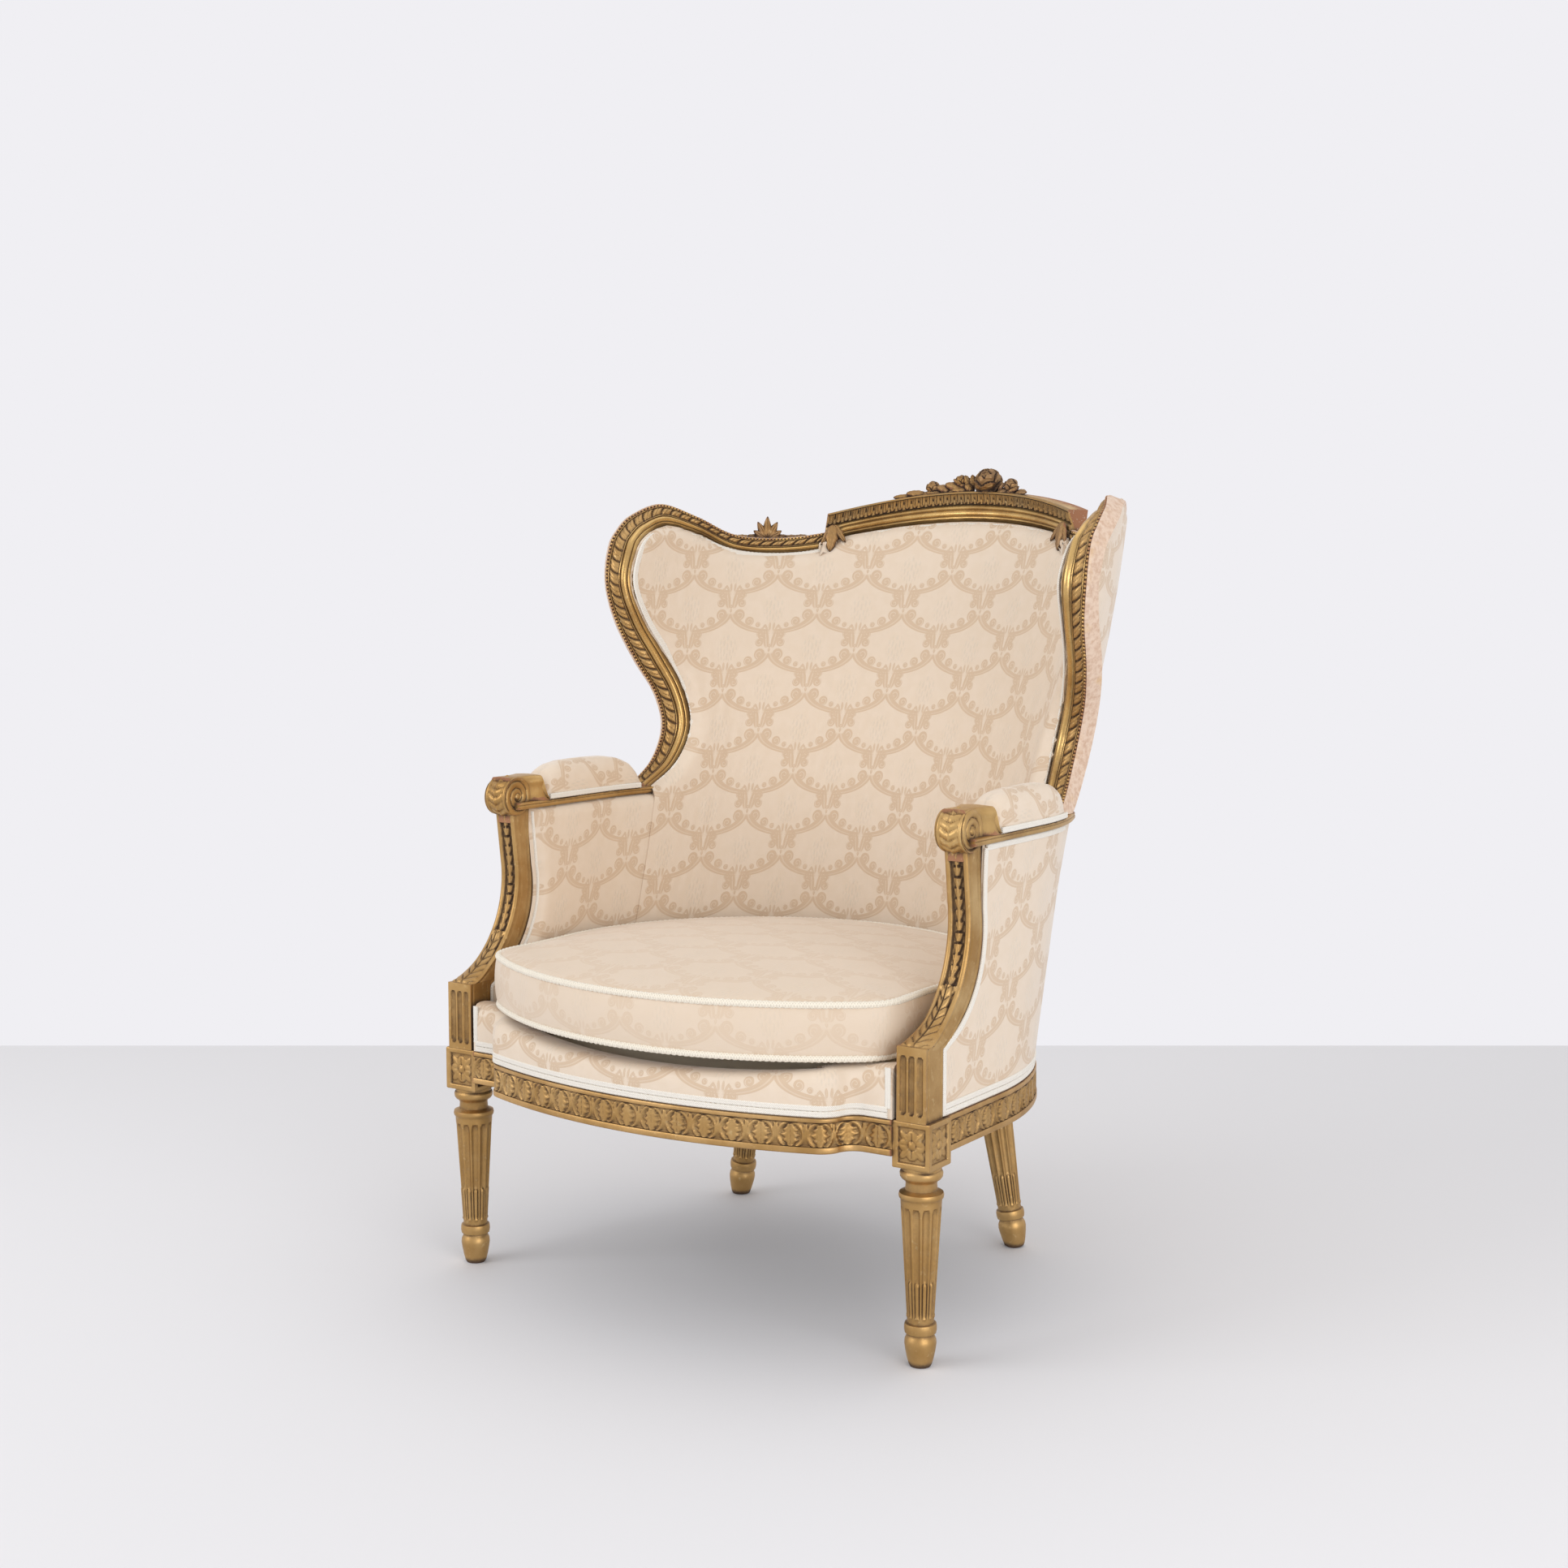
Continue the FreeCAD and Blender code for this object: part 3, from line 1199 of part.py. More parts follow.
def build():
    nodes = {}
    post_tenon, arm_tenon = loose_tenons()

    leg = cut_all(front_leg(), [post_tenon])
    support = cut_all(arm_support(), [post_tenon, arm_tenon])
    arm = cut_all(arm_rail(), [arm_tenon])
    wing = wing_frame()
    crest = crest_rail()
    mortise = tenon(TENON_FIT)
    side_rail = cut_all(curved_rail(0, BACK_STILE_ANGLE), [mortise])
    back_rail = cut_all(curved_rail(BACK_STILE_ANGLE, 180 - BACK_STILE_ANGLE), [mortise, mirrored(mortise)])

    arm_stile = upright(ARM_END_ANGLE + STILE_WIDTH_ANGLE / 2, ARM_HEIGHT, [arm, wing])
    back_stile = upright(BACK_STILE_ANGLE, crest_heights(BACK_STILE_ANGLE)[1], [wing, crest])
    side_tack = tack_rail(ARM_END_ANGLE + STILE_WIDTH_ANGLE, BACK_STILE_ANGLE - STILE_WIDTH_ANGLE / 2)
    back_tack = tack_rail(BACK_STILE_ANGLE + STILE_WIDTH_ANGLE / 2, 180 - BACK_STILE_ANGLE - STILE_WIDTH_ANGLE / 2)

    side_tool = panel_cutter()
    crest_tool = crest_cutter()
    hard = [support, arm, wing, arm_stile, back_stile, side_tack, crest]
    side_pad = inner_side_pad([side_tool] + hard)
    both_stiles = [back_stile, mirrored(back_stile), side_tack, mirrored(side_tack), back_tack]
    frames = [wing, mirrored(wing), crest]
    back_pad = inner_back_pad([side_tool, mirrored(side_tool), crest_tool] + both_stiles + frames)
    side_cover = outer_side_cover([side_tool, support, arm, wing])
    back_cover = outer_back_cover([side_tool, mirrored(side_tool), crest_tool] + frames)

    uprights = [arm_stile, mirrored(arm_stile), back_stile, mirrored(back_stile)]

    paired = {
        "front_leg": leg,
        "rear_leg": rear_leg(),
        "side_rail": side_rail,
        "arm_support": support,
        "arm_rail": arm,
        "wing_frame": wing,
        "wing_palmette": palmette(wing),
        "arm_stile": arm_stile,
        "back_stile": back_stile,
        "side_tack_rail": side_tack,
        "front_corner_block": front_corner_block(),
        "rear_corner_block": cut_all(rear_corner_block(), [mortise]),
        "inner_side_pad": side_pad,
        "outer_side_cover": side_cover,
        "arm_pad": arm_pad([arm]),
    }
    for name, shape in paired.items():
        nodes[name + "_right"] = shape
        nodes[name + "_left"] = mirrored(shape)
    nodes["front_rail"] = front_rail()
    nodes["back_rail"] = back_rail
    nodes["crest_rail"] = crest
    nodes["crest_carving"] = crest_carving()
    nodes["back_tack_rail"] = back_tack
    nodes["inner_back_pad"] = back_pad
    nodes["outer_back_cover"] = back_cover
    nodes["seat_webbing"] = seat_webbing(uprights)
    nodes["seat_platform"] = seat_platform()
    nodes["front_border"] = front_border()
    nodes["dust_cover"] = dust_cover()
    nodes["seat_cushion"] = seat_cushion()
    tenons = [post_tenon, arm_tenon]
    nodes["frame_tenons"] = Part.makeCompound(tenons + [mirrored(t) for t in tenons])
    return nodes


def export(nodes):
    """Put the middle of the depth at the origin and write one file for each piece."""
    box = Part.makeCompound(list(nodes.values())).optimalBoundingBox(False)
    shift = Vector(0, -(box.YMin + box.YMax) / 2, 0)
    os.makedirs("parts", exist_ok=True)
    for name, shape in sorted(nodes.items()):
        placed = shape.copy()
        placed.translate(shift)
        placed.exportStep("parts/" + name + ".step")
        print(name, len(placed.Solids), round(placed.Volume), placed.isValid())
    print("shift", round(shift.y, 3), "box", box)


export(build())
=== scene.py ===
# %% [markdown]
# # A gilded wing armchair with a loose seat cushion
# The chair is a carved and gilded frame with a horseshoe back, S-curved wings,
# a damask lining, twisted piping and white braid along every edge.
# The frame below is the measured model. Everything here is laid over it, in metres.

import math

import bpy
import numpy as np
from mathutils import Matrix, Vector


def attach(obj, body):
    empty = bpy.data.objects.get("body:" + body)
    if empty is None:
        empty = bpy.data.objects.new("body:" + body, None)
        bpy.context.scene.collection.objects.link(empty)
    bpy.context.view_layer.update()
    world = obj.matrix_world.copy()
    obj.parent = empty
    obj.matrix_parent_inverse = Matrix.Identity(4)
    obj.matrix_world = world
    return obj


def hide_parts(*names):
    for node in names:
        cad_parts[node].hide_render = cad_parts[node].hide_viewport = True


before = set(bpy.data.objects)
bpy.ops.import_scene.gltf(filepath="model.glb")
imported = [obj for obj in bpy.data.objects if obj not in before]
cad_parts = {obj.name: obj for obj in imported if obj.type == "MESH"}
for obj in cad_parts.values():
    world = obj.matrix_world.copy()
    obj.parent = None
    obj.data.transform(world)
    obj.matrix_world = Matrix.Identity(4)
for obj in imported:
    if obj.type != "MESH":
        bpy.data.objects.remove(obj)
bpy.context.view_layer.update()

# %% [markdown]
# ## Drawing sizes
# The chair is drawn in millimetres, with the front legs' middle line at y = 0.
# In the scene the middle of the depth is at y = 0, so each point is moved by one shift.
# The back is a shell: straight sides, then a half circle that leans back and flares as it rises.
# A place on it is an angle round the plan, a height, and an inset from the outside fabric.

# %% Shell of the back
SHIFT_Y = -312.656
RAIL_BOTTOM, RAIL_TOP = 248.0, 290.0
ARM_TOP = 604.0
LEG_X = 339.0
ARM_X = 341.0


def ease(t):
    t = np.clip(t, 0.0, 1.0)
    return t * t * (3.0 - 2.0 * t)


def half_width(z):
    return 358.0 + 25.0 * ease((z - 480.0) / 450.0)


def centre_y(z):
    return 156.0 + 0.285 * (z - RAIL_TOP)


def shell(angle, z, inset):
    """Points in millimetres. Below 0 and past 180 degrees the sides run straight forward."""
    angle, z, inset = np.broadcast_arrays(*(np.asarray(v, float) for v in (angle, z, inset)))
    radius = half_width(z) - inset
    turn = np.radians(np.clip(angle, 0.0, 180.0))
    ahead = np.radians(np.minimum(angle, 0.0) + np.minimum(180.0 - angle, 0.0)) * radius
    return np.stack([radius * np.cos(turn), centre_y(z) + radius * np.sin(turn) + ahead, z], -1)


def ridge(x, width):
    return np.exp(-((x / width) ** 2))


def dome(x):
    return np.sqrt(np.clip(1.0 - x * x, 0.0, 1.0))


def mix(a, b, t):
    return a + (b - a) * t


print("half width at the top", half_width(1024.0))

# %% [markdown]
# ## Laying a grid
# Most of this chair is long shapes that bend and change: mouldings, fabric, braid.
# No extrusion gives them, so each starts as a flat grid primitive whose points are laid
# on worked-out rows, as a sheet of wax is pressed over a pattern.
# The grid keeps its own UV map in metres, which the cloth and braid patterns follow.

# %% Helpers for laid grids
def alone(piece=None):
    if bpy.context.object and bpy.context.object.mode != "OBJECT":
        bpy.ops.object.mode_set(mode="OBJECT")
    bpy.ops.object.select_all(action="DESELECT")
    if piece:
        piece.select_set(True)
        bpy.context.view_layer.objects.active = piece


def lengths(spots, axis):
    steps = np.linalg.norm(np.diff(spots, axis=axis), axis=-1)
    start = np.zeros_like(np.take(steps, [0], axis=axis))
    return np.concatenate([start, np.cumsum(steps, axis=axis)], axis=axis)


def weld(piece, capped=False, gap=1e-6):
    alone(piece)
    bpy.ops.object.mode_set(mode="EDIT")
    bpy.ops.mesh.select_all(action="SELECT")
    bpy.ops.mesh.remove_doubles(threshold=gap)
    if capped:
        bpy.ops.mesh.fill_holes(sides=0)
    bpy.ops.mesh.select_all(action="SELECT")
    bpy.ops.mesh.normals_make_consistent(inside=False)
    bpy.ops.object.mode_set(mode="OBJECT")


def laid(name, spots, uv=None, bands=None, finishes=(), welded=False, capped=False):
    """A grid whose points lie on an array of spots: rows, places along a row, and x, y, z."""
    alone()
    rows, columns = spots.shape[:2]
    bpy.ops.mesh.primitive_grid_add(x_subdivisions=columns - 1, y_subdivisions=rows - 1)
    piece = bpy.context.active_object
    piece.name = piece.data.name = name
    placed = (spots + np.array([0.0, SHIFT_Y, 0.0])) / 1000.0
    piece.data.vertices.foreach_set("co", placed.astype(np.float32).ravel())
    if uv is None:
        uv = np.stack([lengths(spots, 1), lengths(spots, 0).mean(1, keepdims=True) + 0 * spots[..., 0]], -1)
    order = np.empty(len(piece.data.loops), dtype=np.int32)
    piece.data.loops.foreach_get("vertex_index", order)
    piece.data.uv_layers.active.data.foreach_set("uv", (uv.reshape(-1, 2)[order] / 1000.0).astype(np.float32).ravel())
    if bands is not None:
        for finish in finishes or [None] * (int(max(bands)) + 1):
            piece.data.materials.append(finish)
        piece.data.polygons.foreach_set("material_index", np.tile(bands, rows - 1).astype(np.int32))
    piece.data.update()
    if welded or capped:
        weld(piece, capped)
    return piece


def smooth(piece, angle=40.0):
    alone(piece)
    bpy.ops.object.shade_smooth_by_angle(angle=math.radians(angle))
    return piece


def joined(name, parts):
    alone(parts[0])
    for part in parts[1:]:
        part.select_set(True)
    bpy.ops.object.join()
    piece = bpy.context.active_object
    piece.name = piece.data.name = name
    return piece


def mirrored(name, piece):
    """A mirrored copy with its own mesh, turned right side out."""
    alone(piece)
    bpy.ops.object.duplicate()
    copy = bpy.context.active_object
    copy.name = copy.data.name = name
    bpy.ops.transform.mirror(constraint_axis=(True, False, False), center_override=(0.0, 0.0, 0.0))
    bpy.ops.object.transform_apply(location=True, rotation=True, scale=True)
    bpy.ops.object.mode_set(mode="EDIT")
    bpy.ops.mesh.select_all(action="SELECT")
    bpy.ops.mesh.normals_make_consistent(inside=False)
    bpy.ops.object.mode_set(mode="OBJECT")
    return copy


def settle(piece, materials, body="chair_frame", replaces=()):
    """Give a finished piece its material, unless its zones have theirs and its body."""
    alone(piece)
    bpy.ops.object.transform_apply(location=True, rotation=True, scale=True)
    if materials:
        piece.data.materials.clear()
        for material in materials:
            piece.data.materials.append(material)
    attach(piece, body)
    for node in replaces:
        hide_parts(node)
    print(piece.name, "faces", len(piece.data.polygons))
    return piece


def settle_pair(right, materials, node):
    """Mirror a right-hand piece, and settle both in place of the node's right and left."""
    left = mirrored(right.name.replace("_right", "_left"), right)
    settle(right, materials, replaces=[node + "_right"])
    settle(left, materials, replaces=[node + "_left"])
    return left


# %% [markdown]
# ## Values in a shader
# The damask, the braid and the gilding are drawn by arithmetic on coordinates.
# A small wrapper lets a node's output be written as a number in a formula,
# and each sign in the formula becomes one Math node.

# %% Formula helpers
class Signal:
    def __init__(self, tree, socket):
        self.tree, self.socket = tree, socket

    def math(self, operation, *others, clamp=False):
        step = self.tree.nodes.new("ShaderNodeMath")
        step.operation, step.use_clamp = operation, clamp
        for index, value in enumerate((self,) + others):
            if isinstance(value, Signal):
                self.tree.links.new(value.socket, step.inputs[index])
            else:
                step.inputs[index].default_value = value
        return Signal(self.tree, step.outputs[0])

    def __add__(self, other):
        return self.math("ADD", other)

    def __sub__(self, other):
        return self.math("SUBTRACT", other)

    def __mul__(self, other):
        return self.math("MULTIPLY", other)

    def __truediv__(self, other):
        return self.math("DIVIDE", other)

    def less(self, other):
        return (self * -1.0) + other

    def size(self):
        return self.math("ABSOLUTE")

    def part(self):
        return self.math("FRACT")

    def sine(self):
        return self.math("SINE")

    def top(self, other):
        return self.math("MAXIMUM", other)

    def low(self, other):
        return self.math("MINIMUM", other)

    def between(self, start, end):
        """0 before start, 1 after end, smooth between them."""
        step = self.tree.nodes.new("ShaderNodeMapRange")
        step.interpolation_type = "SMOOTHSTEP"
        self.tree.links.new(self.socket, step.inputs["Value"])
        step.inputs["From Min"].default_value = start
        step.inputs["From Max"].default_value = end
        return Signal(self.tree, step.outputs["Result"])


def colour(red, green, blue):
    """A screen colour as the linear colour a shader takes."""
    return tuple(((c / 255.0 + 0.055) / 1.055) ** 2.4 if c > 10 else c / 3294.6 for c in (red, green, blue)) + (1.0,)


def blended(tree, amount, first, second):
    step = tree.nodes.new("ShaderNodeMix")
    step.data_type = "RGBA"
    for name, value in (("Factor", amount), ("A", first), ("B", second)):
        socket = next(
            s for s in step.inputs if s.name == name and (s.type == "RGBA" or name == "Factor") and s.enabled
        )
        if isinstance(value, Signal):
            tree.links.new(value.socket, socket)
        else:
            socket.default_value = value
    return Signal(tree, next(s for s in step.outputs if s.type == "RGBA"))


def split(tree, vector):
    step = tree.nodes.new("ShaderNodeSeparateXYZ")
    tree.links.new(vector, step.inputs[0])
    return [Signal(tree, output) for output in step.outputs]


def noise(tree, vector, scale, detail=3.0, rough=0.5):
    step = tree.nodes.new("ShaderNodeTexNoise")
    tree.links.new(vector, step.inputs["Vector"])
    step.inputs["Scale"].default_value = scale
    step.inputs["Detail"].default_value = detail
    step.inputs["Roughness"].default_value = rough
    return Signal(tree, step.outputs["Fac"])


def new_group(name, inputs, outputs):
    group = bpy.data.node_groups.new(name, "ShaderNodeTree")
    for label, kind, value in inputs:
        socket = group.interface.new_socket(label, in_out="INPUT", socket_type=kind)
        if value is not None:
            socket.default_value = value
    for label, kind in outputs:
        group.interface.new_socket(label, in_out="OUTPUT", socket_type=kind)
    return group, group.nodes.new("NodeGroupInput"), group.nodes.new("NodeGroupOutput")


def finish_from_group(name, group, coordinates, values, bump, plain):
    """A material: one group's outputs feed the shader, plain numbers sit on its sockets."""
    material = bpy.data.materials.new(name)
    material.use_nodes = True
    tree = material.node_tree
    shader = tree.nodes["Principled BSDF"]
    step = tree.nodes.new("ShaderNodeGroup")
    step.node_tree = group
    place = tree.nodes.new("ShaderNodeTexCoord")
    tree.links.new(place.outputs[coordinates], step.inputs["Vector"])
    for label, value in values.items():
        step.inputs[label].default_value = value
    for output in step.outputs:
        if output.name in shader.inputs:
            tree.links.new(output, shader.inputs[output.name])
    if bump:
        relief = tree.nodes.new("ShaderNodeBump")
        relief.inputs["Strength"].default_value = bump
        relief.inputs["Distance"].default_value = 0.001
        tree.links.new(step.outputs["Height"], relief.inputs["Height"])
        tree.links.new(relief.outputs["Normal"], shader.inputs["Normal"])
    for label, value in plain.items():
        shader.inputs[label].default_value = value
    return material


# %% [markdown]
# ## Old gilding
# Water gilding is gold leaf over red clay over white gesso. Two centuries rub the leaf off
# the high edges, where the red clay shows, chip the gesso, and leave brown dirt in the hollows.
# One group works all of that out from Object coordinates and from the shape itself:
# ambient occlusion finds the hollows and pointiness finds the edges. The hollows are darkened
# for dirt and also as painted shade, and pale gold in fine noise patches is a painted highlight.

# %% Gilding group
gilding, taken, given = new_group(
    "Old gilding",
    [
        ("Vector", "NodeSocketVector", None),
        ("Gold", "NodeSocketColor", colour(205, 170, 112)),
        ("Deep", "NodeSocketColor", colour(74, 54, 38)),
        ("Rub", "NodeSocketFloat", 0.5),
        ("Dirt", "NodeSocketFloat", 0.8),
        ("Polish", "NodeSocketFloat", 0.3),
    ],
    [
        ("Base Color", "NodeSocketColor"), ("Roughness", "NodeSocketFloat"), ("Metallic", "NodeSocketFloat"),
        ("Height", "NodeSocketFloat")
    ],
)


def given_in(label):
    return Signal(gilding, taken.outputs[label])


spot = taken.outputs["Vector"]
broad = noise(gilding, spot, 14.0, 4.0, 0.6)
fine = noise(gilding, spot, 130.0, 4.0, 0.65)
specks = noise(gilding, spot, 420.0, 2.0, 0.6)
hollow = gilding.nodes.new("ShaderNodeAmbientOcclusion")
hollow.samples = 6
hollow.inputs["Distance"].default_value = 0.009
open_share = Signal(gilding, hollow.outputs["AO"])
shape = gilding.nodes.new("ShaderNodeNewGeometry")
edge = Signal(gilding, shape.outputs["Pointiness"]).between(0.515, 0.6)
# Dirt and painted shade: this marks the hollows that ambient occlusion finds, for darkening.
dirt_and_shade = (open_share.less(1.0) * 1.9 + (fine - 0.5) * 0.7).between(0.12, 0.95) * given_in("Dirt")
rubbed = ((edge * 0.55 + fine * 0.75 + broad * 0.45 - 0.98) + given_in("Rub") * 0.22).between(0.04, 0.2)
chipped = (edge * 0.35 + specks * 0.6 + fine * 0.45).between(0.98, 1.02) * given_in("Rub")
gold = blended(gilding, broad.between(0.3, 0.72), given_in("Gold"), colour(172, 134, 80))
# Painted highlight: a paler gold laid over the leaf in fine noise patches.
gold = blended(gilding, fine.between(0.58, 0.74) * 0.5, gold, colour(224, 198, 148))
gold = blended(gilding, rubbed * 0.8, gold, colour(150, 96, 70))
gold = blended(gilding, chipped, gold, colour(226, 214, 198))
# Dirt and painted shade: the marked hollows are blended towards the deep colour.
gold = blended(gilding, dirt_and_shade, gold, given_in("Deep"))
gilding.links.new(gold.socket, given.inputs["Base Color"])
rough = given_in("Polish") + fine * 0.16 + dirt_and_shade * 0.3 + rubbed * 0.2
gilding.links.new(rough.math("MINIMUM", 0.9).socket, given.inputs["Roughness"])
metal = (dirt_and_shade * 0.75 + rubbed * 0.7 + chipped).less(0.92).top(0.05)
gilding.links.new(metal.socket, given.inputs["Metallic"])
gilding.links.new((fine * 0.5 + specks * 0.35 - chipped * 0.4).socket, given.inputs["Height"])


def gilt(name, **values):
    return finish_from_group(name, gilding, "Object", values, 0.35, {"Specular IOR Level": 0.5})


# The dirt amount also sets how dark the painted shade in the hollows is.
GILT = gilt("gilding_plain", Dirt=1.0, Rub=0.6, Polish=0.32)
CARVED = gilt("gilding_carved", Dirt=1.2, Rub=0.65, Polish=0.34, Gold=colour(196, 160, 106))
BURNISHED = gilt("gilding_burnished", Dirt=0.7, Rub=0.3, Polish=0.2, Gold=colour(216, 180, 116))
DARK_CARVED = gilt("gilding_dark", Dirt=1.25, Rub=0.6, Polish=0.4, Gold=colour(156, 130, 90), Deep=colour(60, 46, 36))
FLOWERS = gilt("gilding_flowers", Dirt=1.2, Rub=1.0, Polish=0.42, Gold=colour(152, 122, 92), Deep=colour(62, 44, 36))
OCHRE = gilt("gilding_ochre_side", Dirt=0.8, Rub=0.5, Polish=0.46, Gold=colour(206, 176, 126))
print("gilding nodes", len(gilding.nodes))

# %% [markdown]
# ## Rubbed wood
# On the outer flats of the wings and along the rails the leaf has gone and pinkish primed
# wood shows. It isn't a metal: the same kind of group gives a matt colour with long grain.

# %% Wood group
timber, taken_w, given_w = new_group(
    "Wood grain",
    [
        ("Vector", "NodeSocketVector", None), ("Light", "NodeSocketColor", colour(222, 198, 178)),
        ("Dark", "NodeSocketColor", colour(202, 170, 146)), ("Stretch", "NodeSocketFloat", 0.12)
    ],
    [("Base Color", "NodeSocketColor"), ("Roughness", "NodeSocketFloat"), ("Height", "NodeSocketFloat")],
)
x, y, z = split(timber, taken_w.outputs["Vector"])
long_way = timber.nodes.new("ShaderNodeCombineXYZ")
for index, value in enumerate((x * Signal(timber, taken_w.outputs["Stretch"]), y, z)):
    timber.links.new(value.socket, long_way.inputs[index])
streaks = noise(timber, long_way.outputs[0], 190.0, 4.0, 0.6)
patches = noise(timber, taken_w.outputs["Vector"], 26.0, 4.0, 0.6)
grain = blended(
    timber, streaks.between(0.35, 0.7), Signal(timber, taken_w.outputs["Light"]),
    Signal(timber, taken_w.outputs["Dark"])
)
grain = blended(timber, patches.between(0.55, 0.75) * 0.55, grain, colour(214, 176, 116))
timber.links.new(grain.socket, given_w.inputs["Base Color"])
timber.links.new((streaks * 0.25 + 0.42).socket, given_w.inputs["Roughness"])
timber.links.new((streaks * 0.6 + patches * 0.2).socket, given_w.inputs["Height"])
RUBBED = finish_from_group("rubbed_primed_wood", timber, "Object", {}, 0.3, {})
BEECH = finish_from_group(
    "beech_frame", timber, "Object", {"Light": colour(206, 170, 122), "Dark": colour(176, 134, 88)}, 0.3, {}
)
print("wood nodes", len(timber.nodes))

# %% [markdown]
# ## Damask
# The cloth is an ivory satin with a beige figure: an ogee lattice of scrolling leaves with
# paired scrolls at each crossing, and a self-coloured sprig in each opening.
# The lattice is staggered and mirrored, so the formula folds the cloth onto half of one
# crossing, draws its scrolls there as spiral grooves in discs, and does so for both rows.

# %% Damask group
PERIOD_X, PERIOD_Y = 0.129, 0.114
damask, taken_d, given_d = new_group(
    "Damask",
    [
        ("Vector", "NodeSocketVector", None), ("Ground", "NodeSocketColor", colour(224, 207, 188)),
        ("Figure", "NodeSocketColor", colour(204, 178, 150)), ("Depth", "NodeSocketFloat", 1.0)
    ],
    [("Base Color", "NodeSocketColor"), ("Roughness", "NodeSocketFloat"), ("Height", "NodeSocketFloat")],
)
u, v, _ = split(damask, taken_d.outputs["Vector"])
drift = noise(damask, taken_d.outputs["Vector"], 60.0, 2.0)
across_a = ((u / PERIOD_X + 0.5).part() - 0.5).size() * (PERIOD_X * 1000.0)
up_a = ((v / PERIOD_Y + 0.5).part() - 0.5) * (PERIOD_Y * 1000.0)
across_b = across_a.less(PERIOD_X * 500.0)
up_b = ((v / PERIOD_Y).part() - 0.5) * (PERIOD_Y * 1000.0)


def spiral(px, py, cx, cy, radius, pitch, hand):
    """A coiled leaf end: a disc cut by one Archimedean spiral line."""
    dx, dy = px - cx, py - cy
    distance = (dx * dx + dy * dy).math("SQRT")
    turn = dy.math("ARCTAN2", dx) / (2.0 * math.pi)
    groove = ((distance / pitch + turn * hand).part() - 0.5).size().between(0.5, 0.34)
    return groove * distance.between(radius, radius - 0.8)


def blade(px, py, cx, cy, length, half, degrees):
    """A pointed leaf with a vein, from a foot at one place."""
    c, k = math.cos(math.radians(degrees)), math.sin(math.radians(degrees))
    dx, dy = px - cx, py - cy
    a = (dx * c + dy * k) * (2.0 / length) - 1.0
    b = (dy * c - dx * k) / half
    return (a * a + b * b).between(1.0, 0.7) * (b.size().between(0.08, 0.24) * 0.6 + 0.4)


SPIRALS = [
    (13.5, -10.5, 8.6, 5.2, 1.0), (30.0, -20.0, 7.0, 4.6, 1.0), (43.5, -25.0, 4.2, 3.2, 1.0),
    (16.0, 6.5, 6.4, 4.6, -1.0), (16.5, 18.5, 5.4, 3.8, 1.0)
]
BLADES = [
    (4.0, -2.5, 29.0, 4.8, 80.0), (6.0, 11.0, 14.0, 3.6, 20.0), (2.5, 23.0, 13.0, 1.7, 86.0),
    (5.0, 23.0, 12.0, 1.6, 60.0), (8.0, 22.0, 10.0, 1.4, 36.0), (51.0, -30.5, 7.0, 1.6, 52.0),
    (-1.0, -1.0, 6.0, 2.4, 60.0), (-1.0, -8.0, 7.0, 1.8, 75.0)
]


def motif(px, py):
    """Half of one crossing: two scrolls above the bead and a long curled arm below it."""
    ax, ay = (px - 62.0) / 58.0, (py + 6.0) / 29.0
    e = (ax * ax + ay * ay).math("SQRT") - 1.0
    arm = e.size().between(0.125, 0.1) * py.between(-7.0, -11.0) * px.between(64.0, 58.0) * (
        (e - 0.03).size().between(0.012, 0.03) * 0.5 + 0.5
    )
    drawn = arm
    for values in SPIRALS:
        drawn = drawn.top(spiral(px, py, *values))
    for values in BLADES:
        drawn = drawn.top(blade(px, py, *values))
    return drawn


figure = motif(across_a, up_a).top(motif(across_b, up_b))


def sprig(px, py):
    """Self-coloured upright strokes in the middle of a cell."""
    inside = (px * px / 300.0 + py * py / 480.0).between(1.0, 0.5)
    fan = px / (py + 70.0) * 14.0
    strokes = ((fan + 0.5).part() - 0.5).size().between(0.32, 0.14)
    broken = (py * 0.42 + px * 0.9).sine().between(-0.55, 0.1)
    return inside * strokes * broken


sprigs = sprig(across_b, up_a + 2.0).top(sprig(across_a, up_b + 2.0))
threads = (u * 5200.0).sine() * 0.5 + (v * 4300.0).sine() * 0.5
slubs = noise(damask, taken_d.outputs["Vector"], 900.0, 2.0)
strength = Signal(damask, taken_d.outputs["Depth"])
cloth = blended(
    damask, drift.between(0.3, 0.7) * 0.35, Signal(damask, taken_d.outputs["Ground"]), colour(218, 199, 176)
)
cloth = blended(damask, figure * strength * 0.8, cloth, Signal(damask, taken_d.outputs["Figure"]))
# Painted shade: the self-coloured sprigs are drawn a little greyer than the ground, in place of their sheen.
cloth = blended(damask, sprigs * 0.35 * strength, cloth, colour(204, 194, 178))
damask.links.new(cloth.socket, given_d.inputs["Base Color"])
damask.links.new((figure * 0.16 - sprigs * 0.08 + slubs * 0.12 + 0.4).socket, given_d.inputs["Roughness"])
damask.links.new((figure * 0.35 + sprigs * 0.45 + threads * 0.05 + slubs * 0.12).socket, given_d.inputs["Height"])
SHEEN = {"Sheen Weight": 0.35, "Sheen Roughness": 0.4, "Specular IOR Level": 0.35}
DAMASK = finish_from_group("damask_ivory", damask, "UV", {}, 0.5, SHEEN)
DAMASK_SEAT = finish_from_group(
    "damask_seat", damask, "UV", {"Depth": 0.45, "Ground": colour(220, 202, 182)}, 0.35, SHEEN
)
print("damask nodes", len(damask.nodes))

# %% [markdown]
# ## Braid, cord and plain cloths
# White braid covers every tack line, cream cord is sewn into the cushion's seams, and plain
# cotton and jute are used where nobody looks. One group draws slanting strands along a strip.

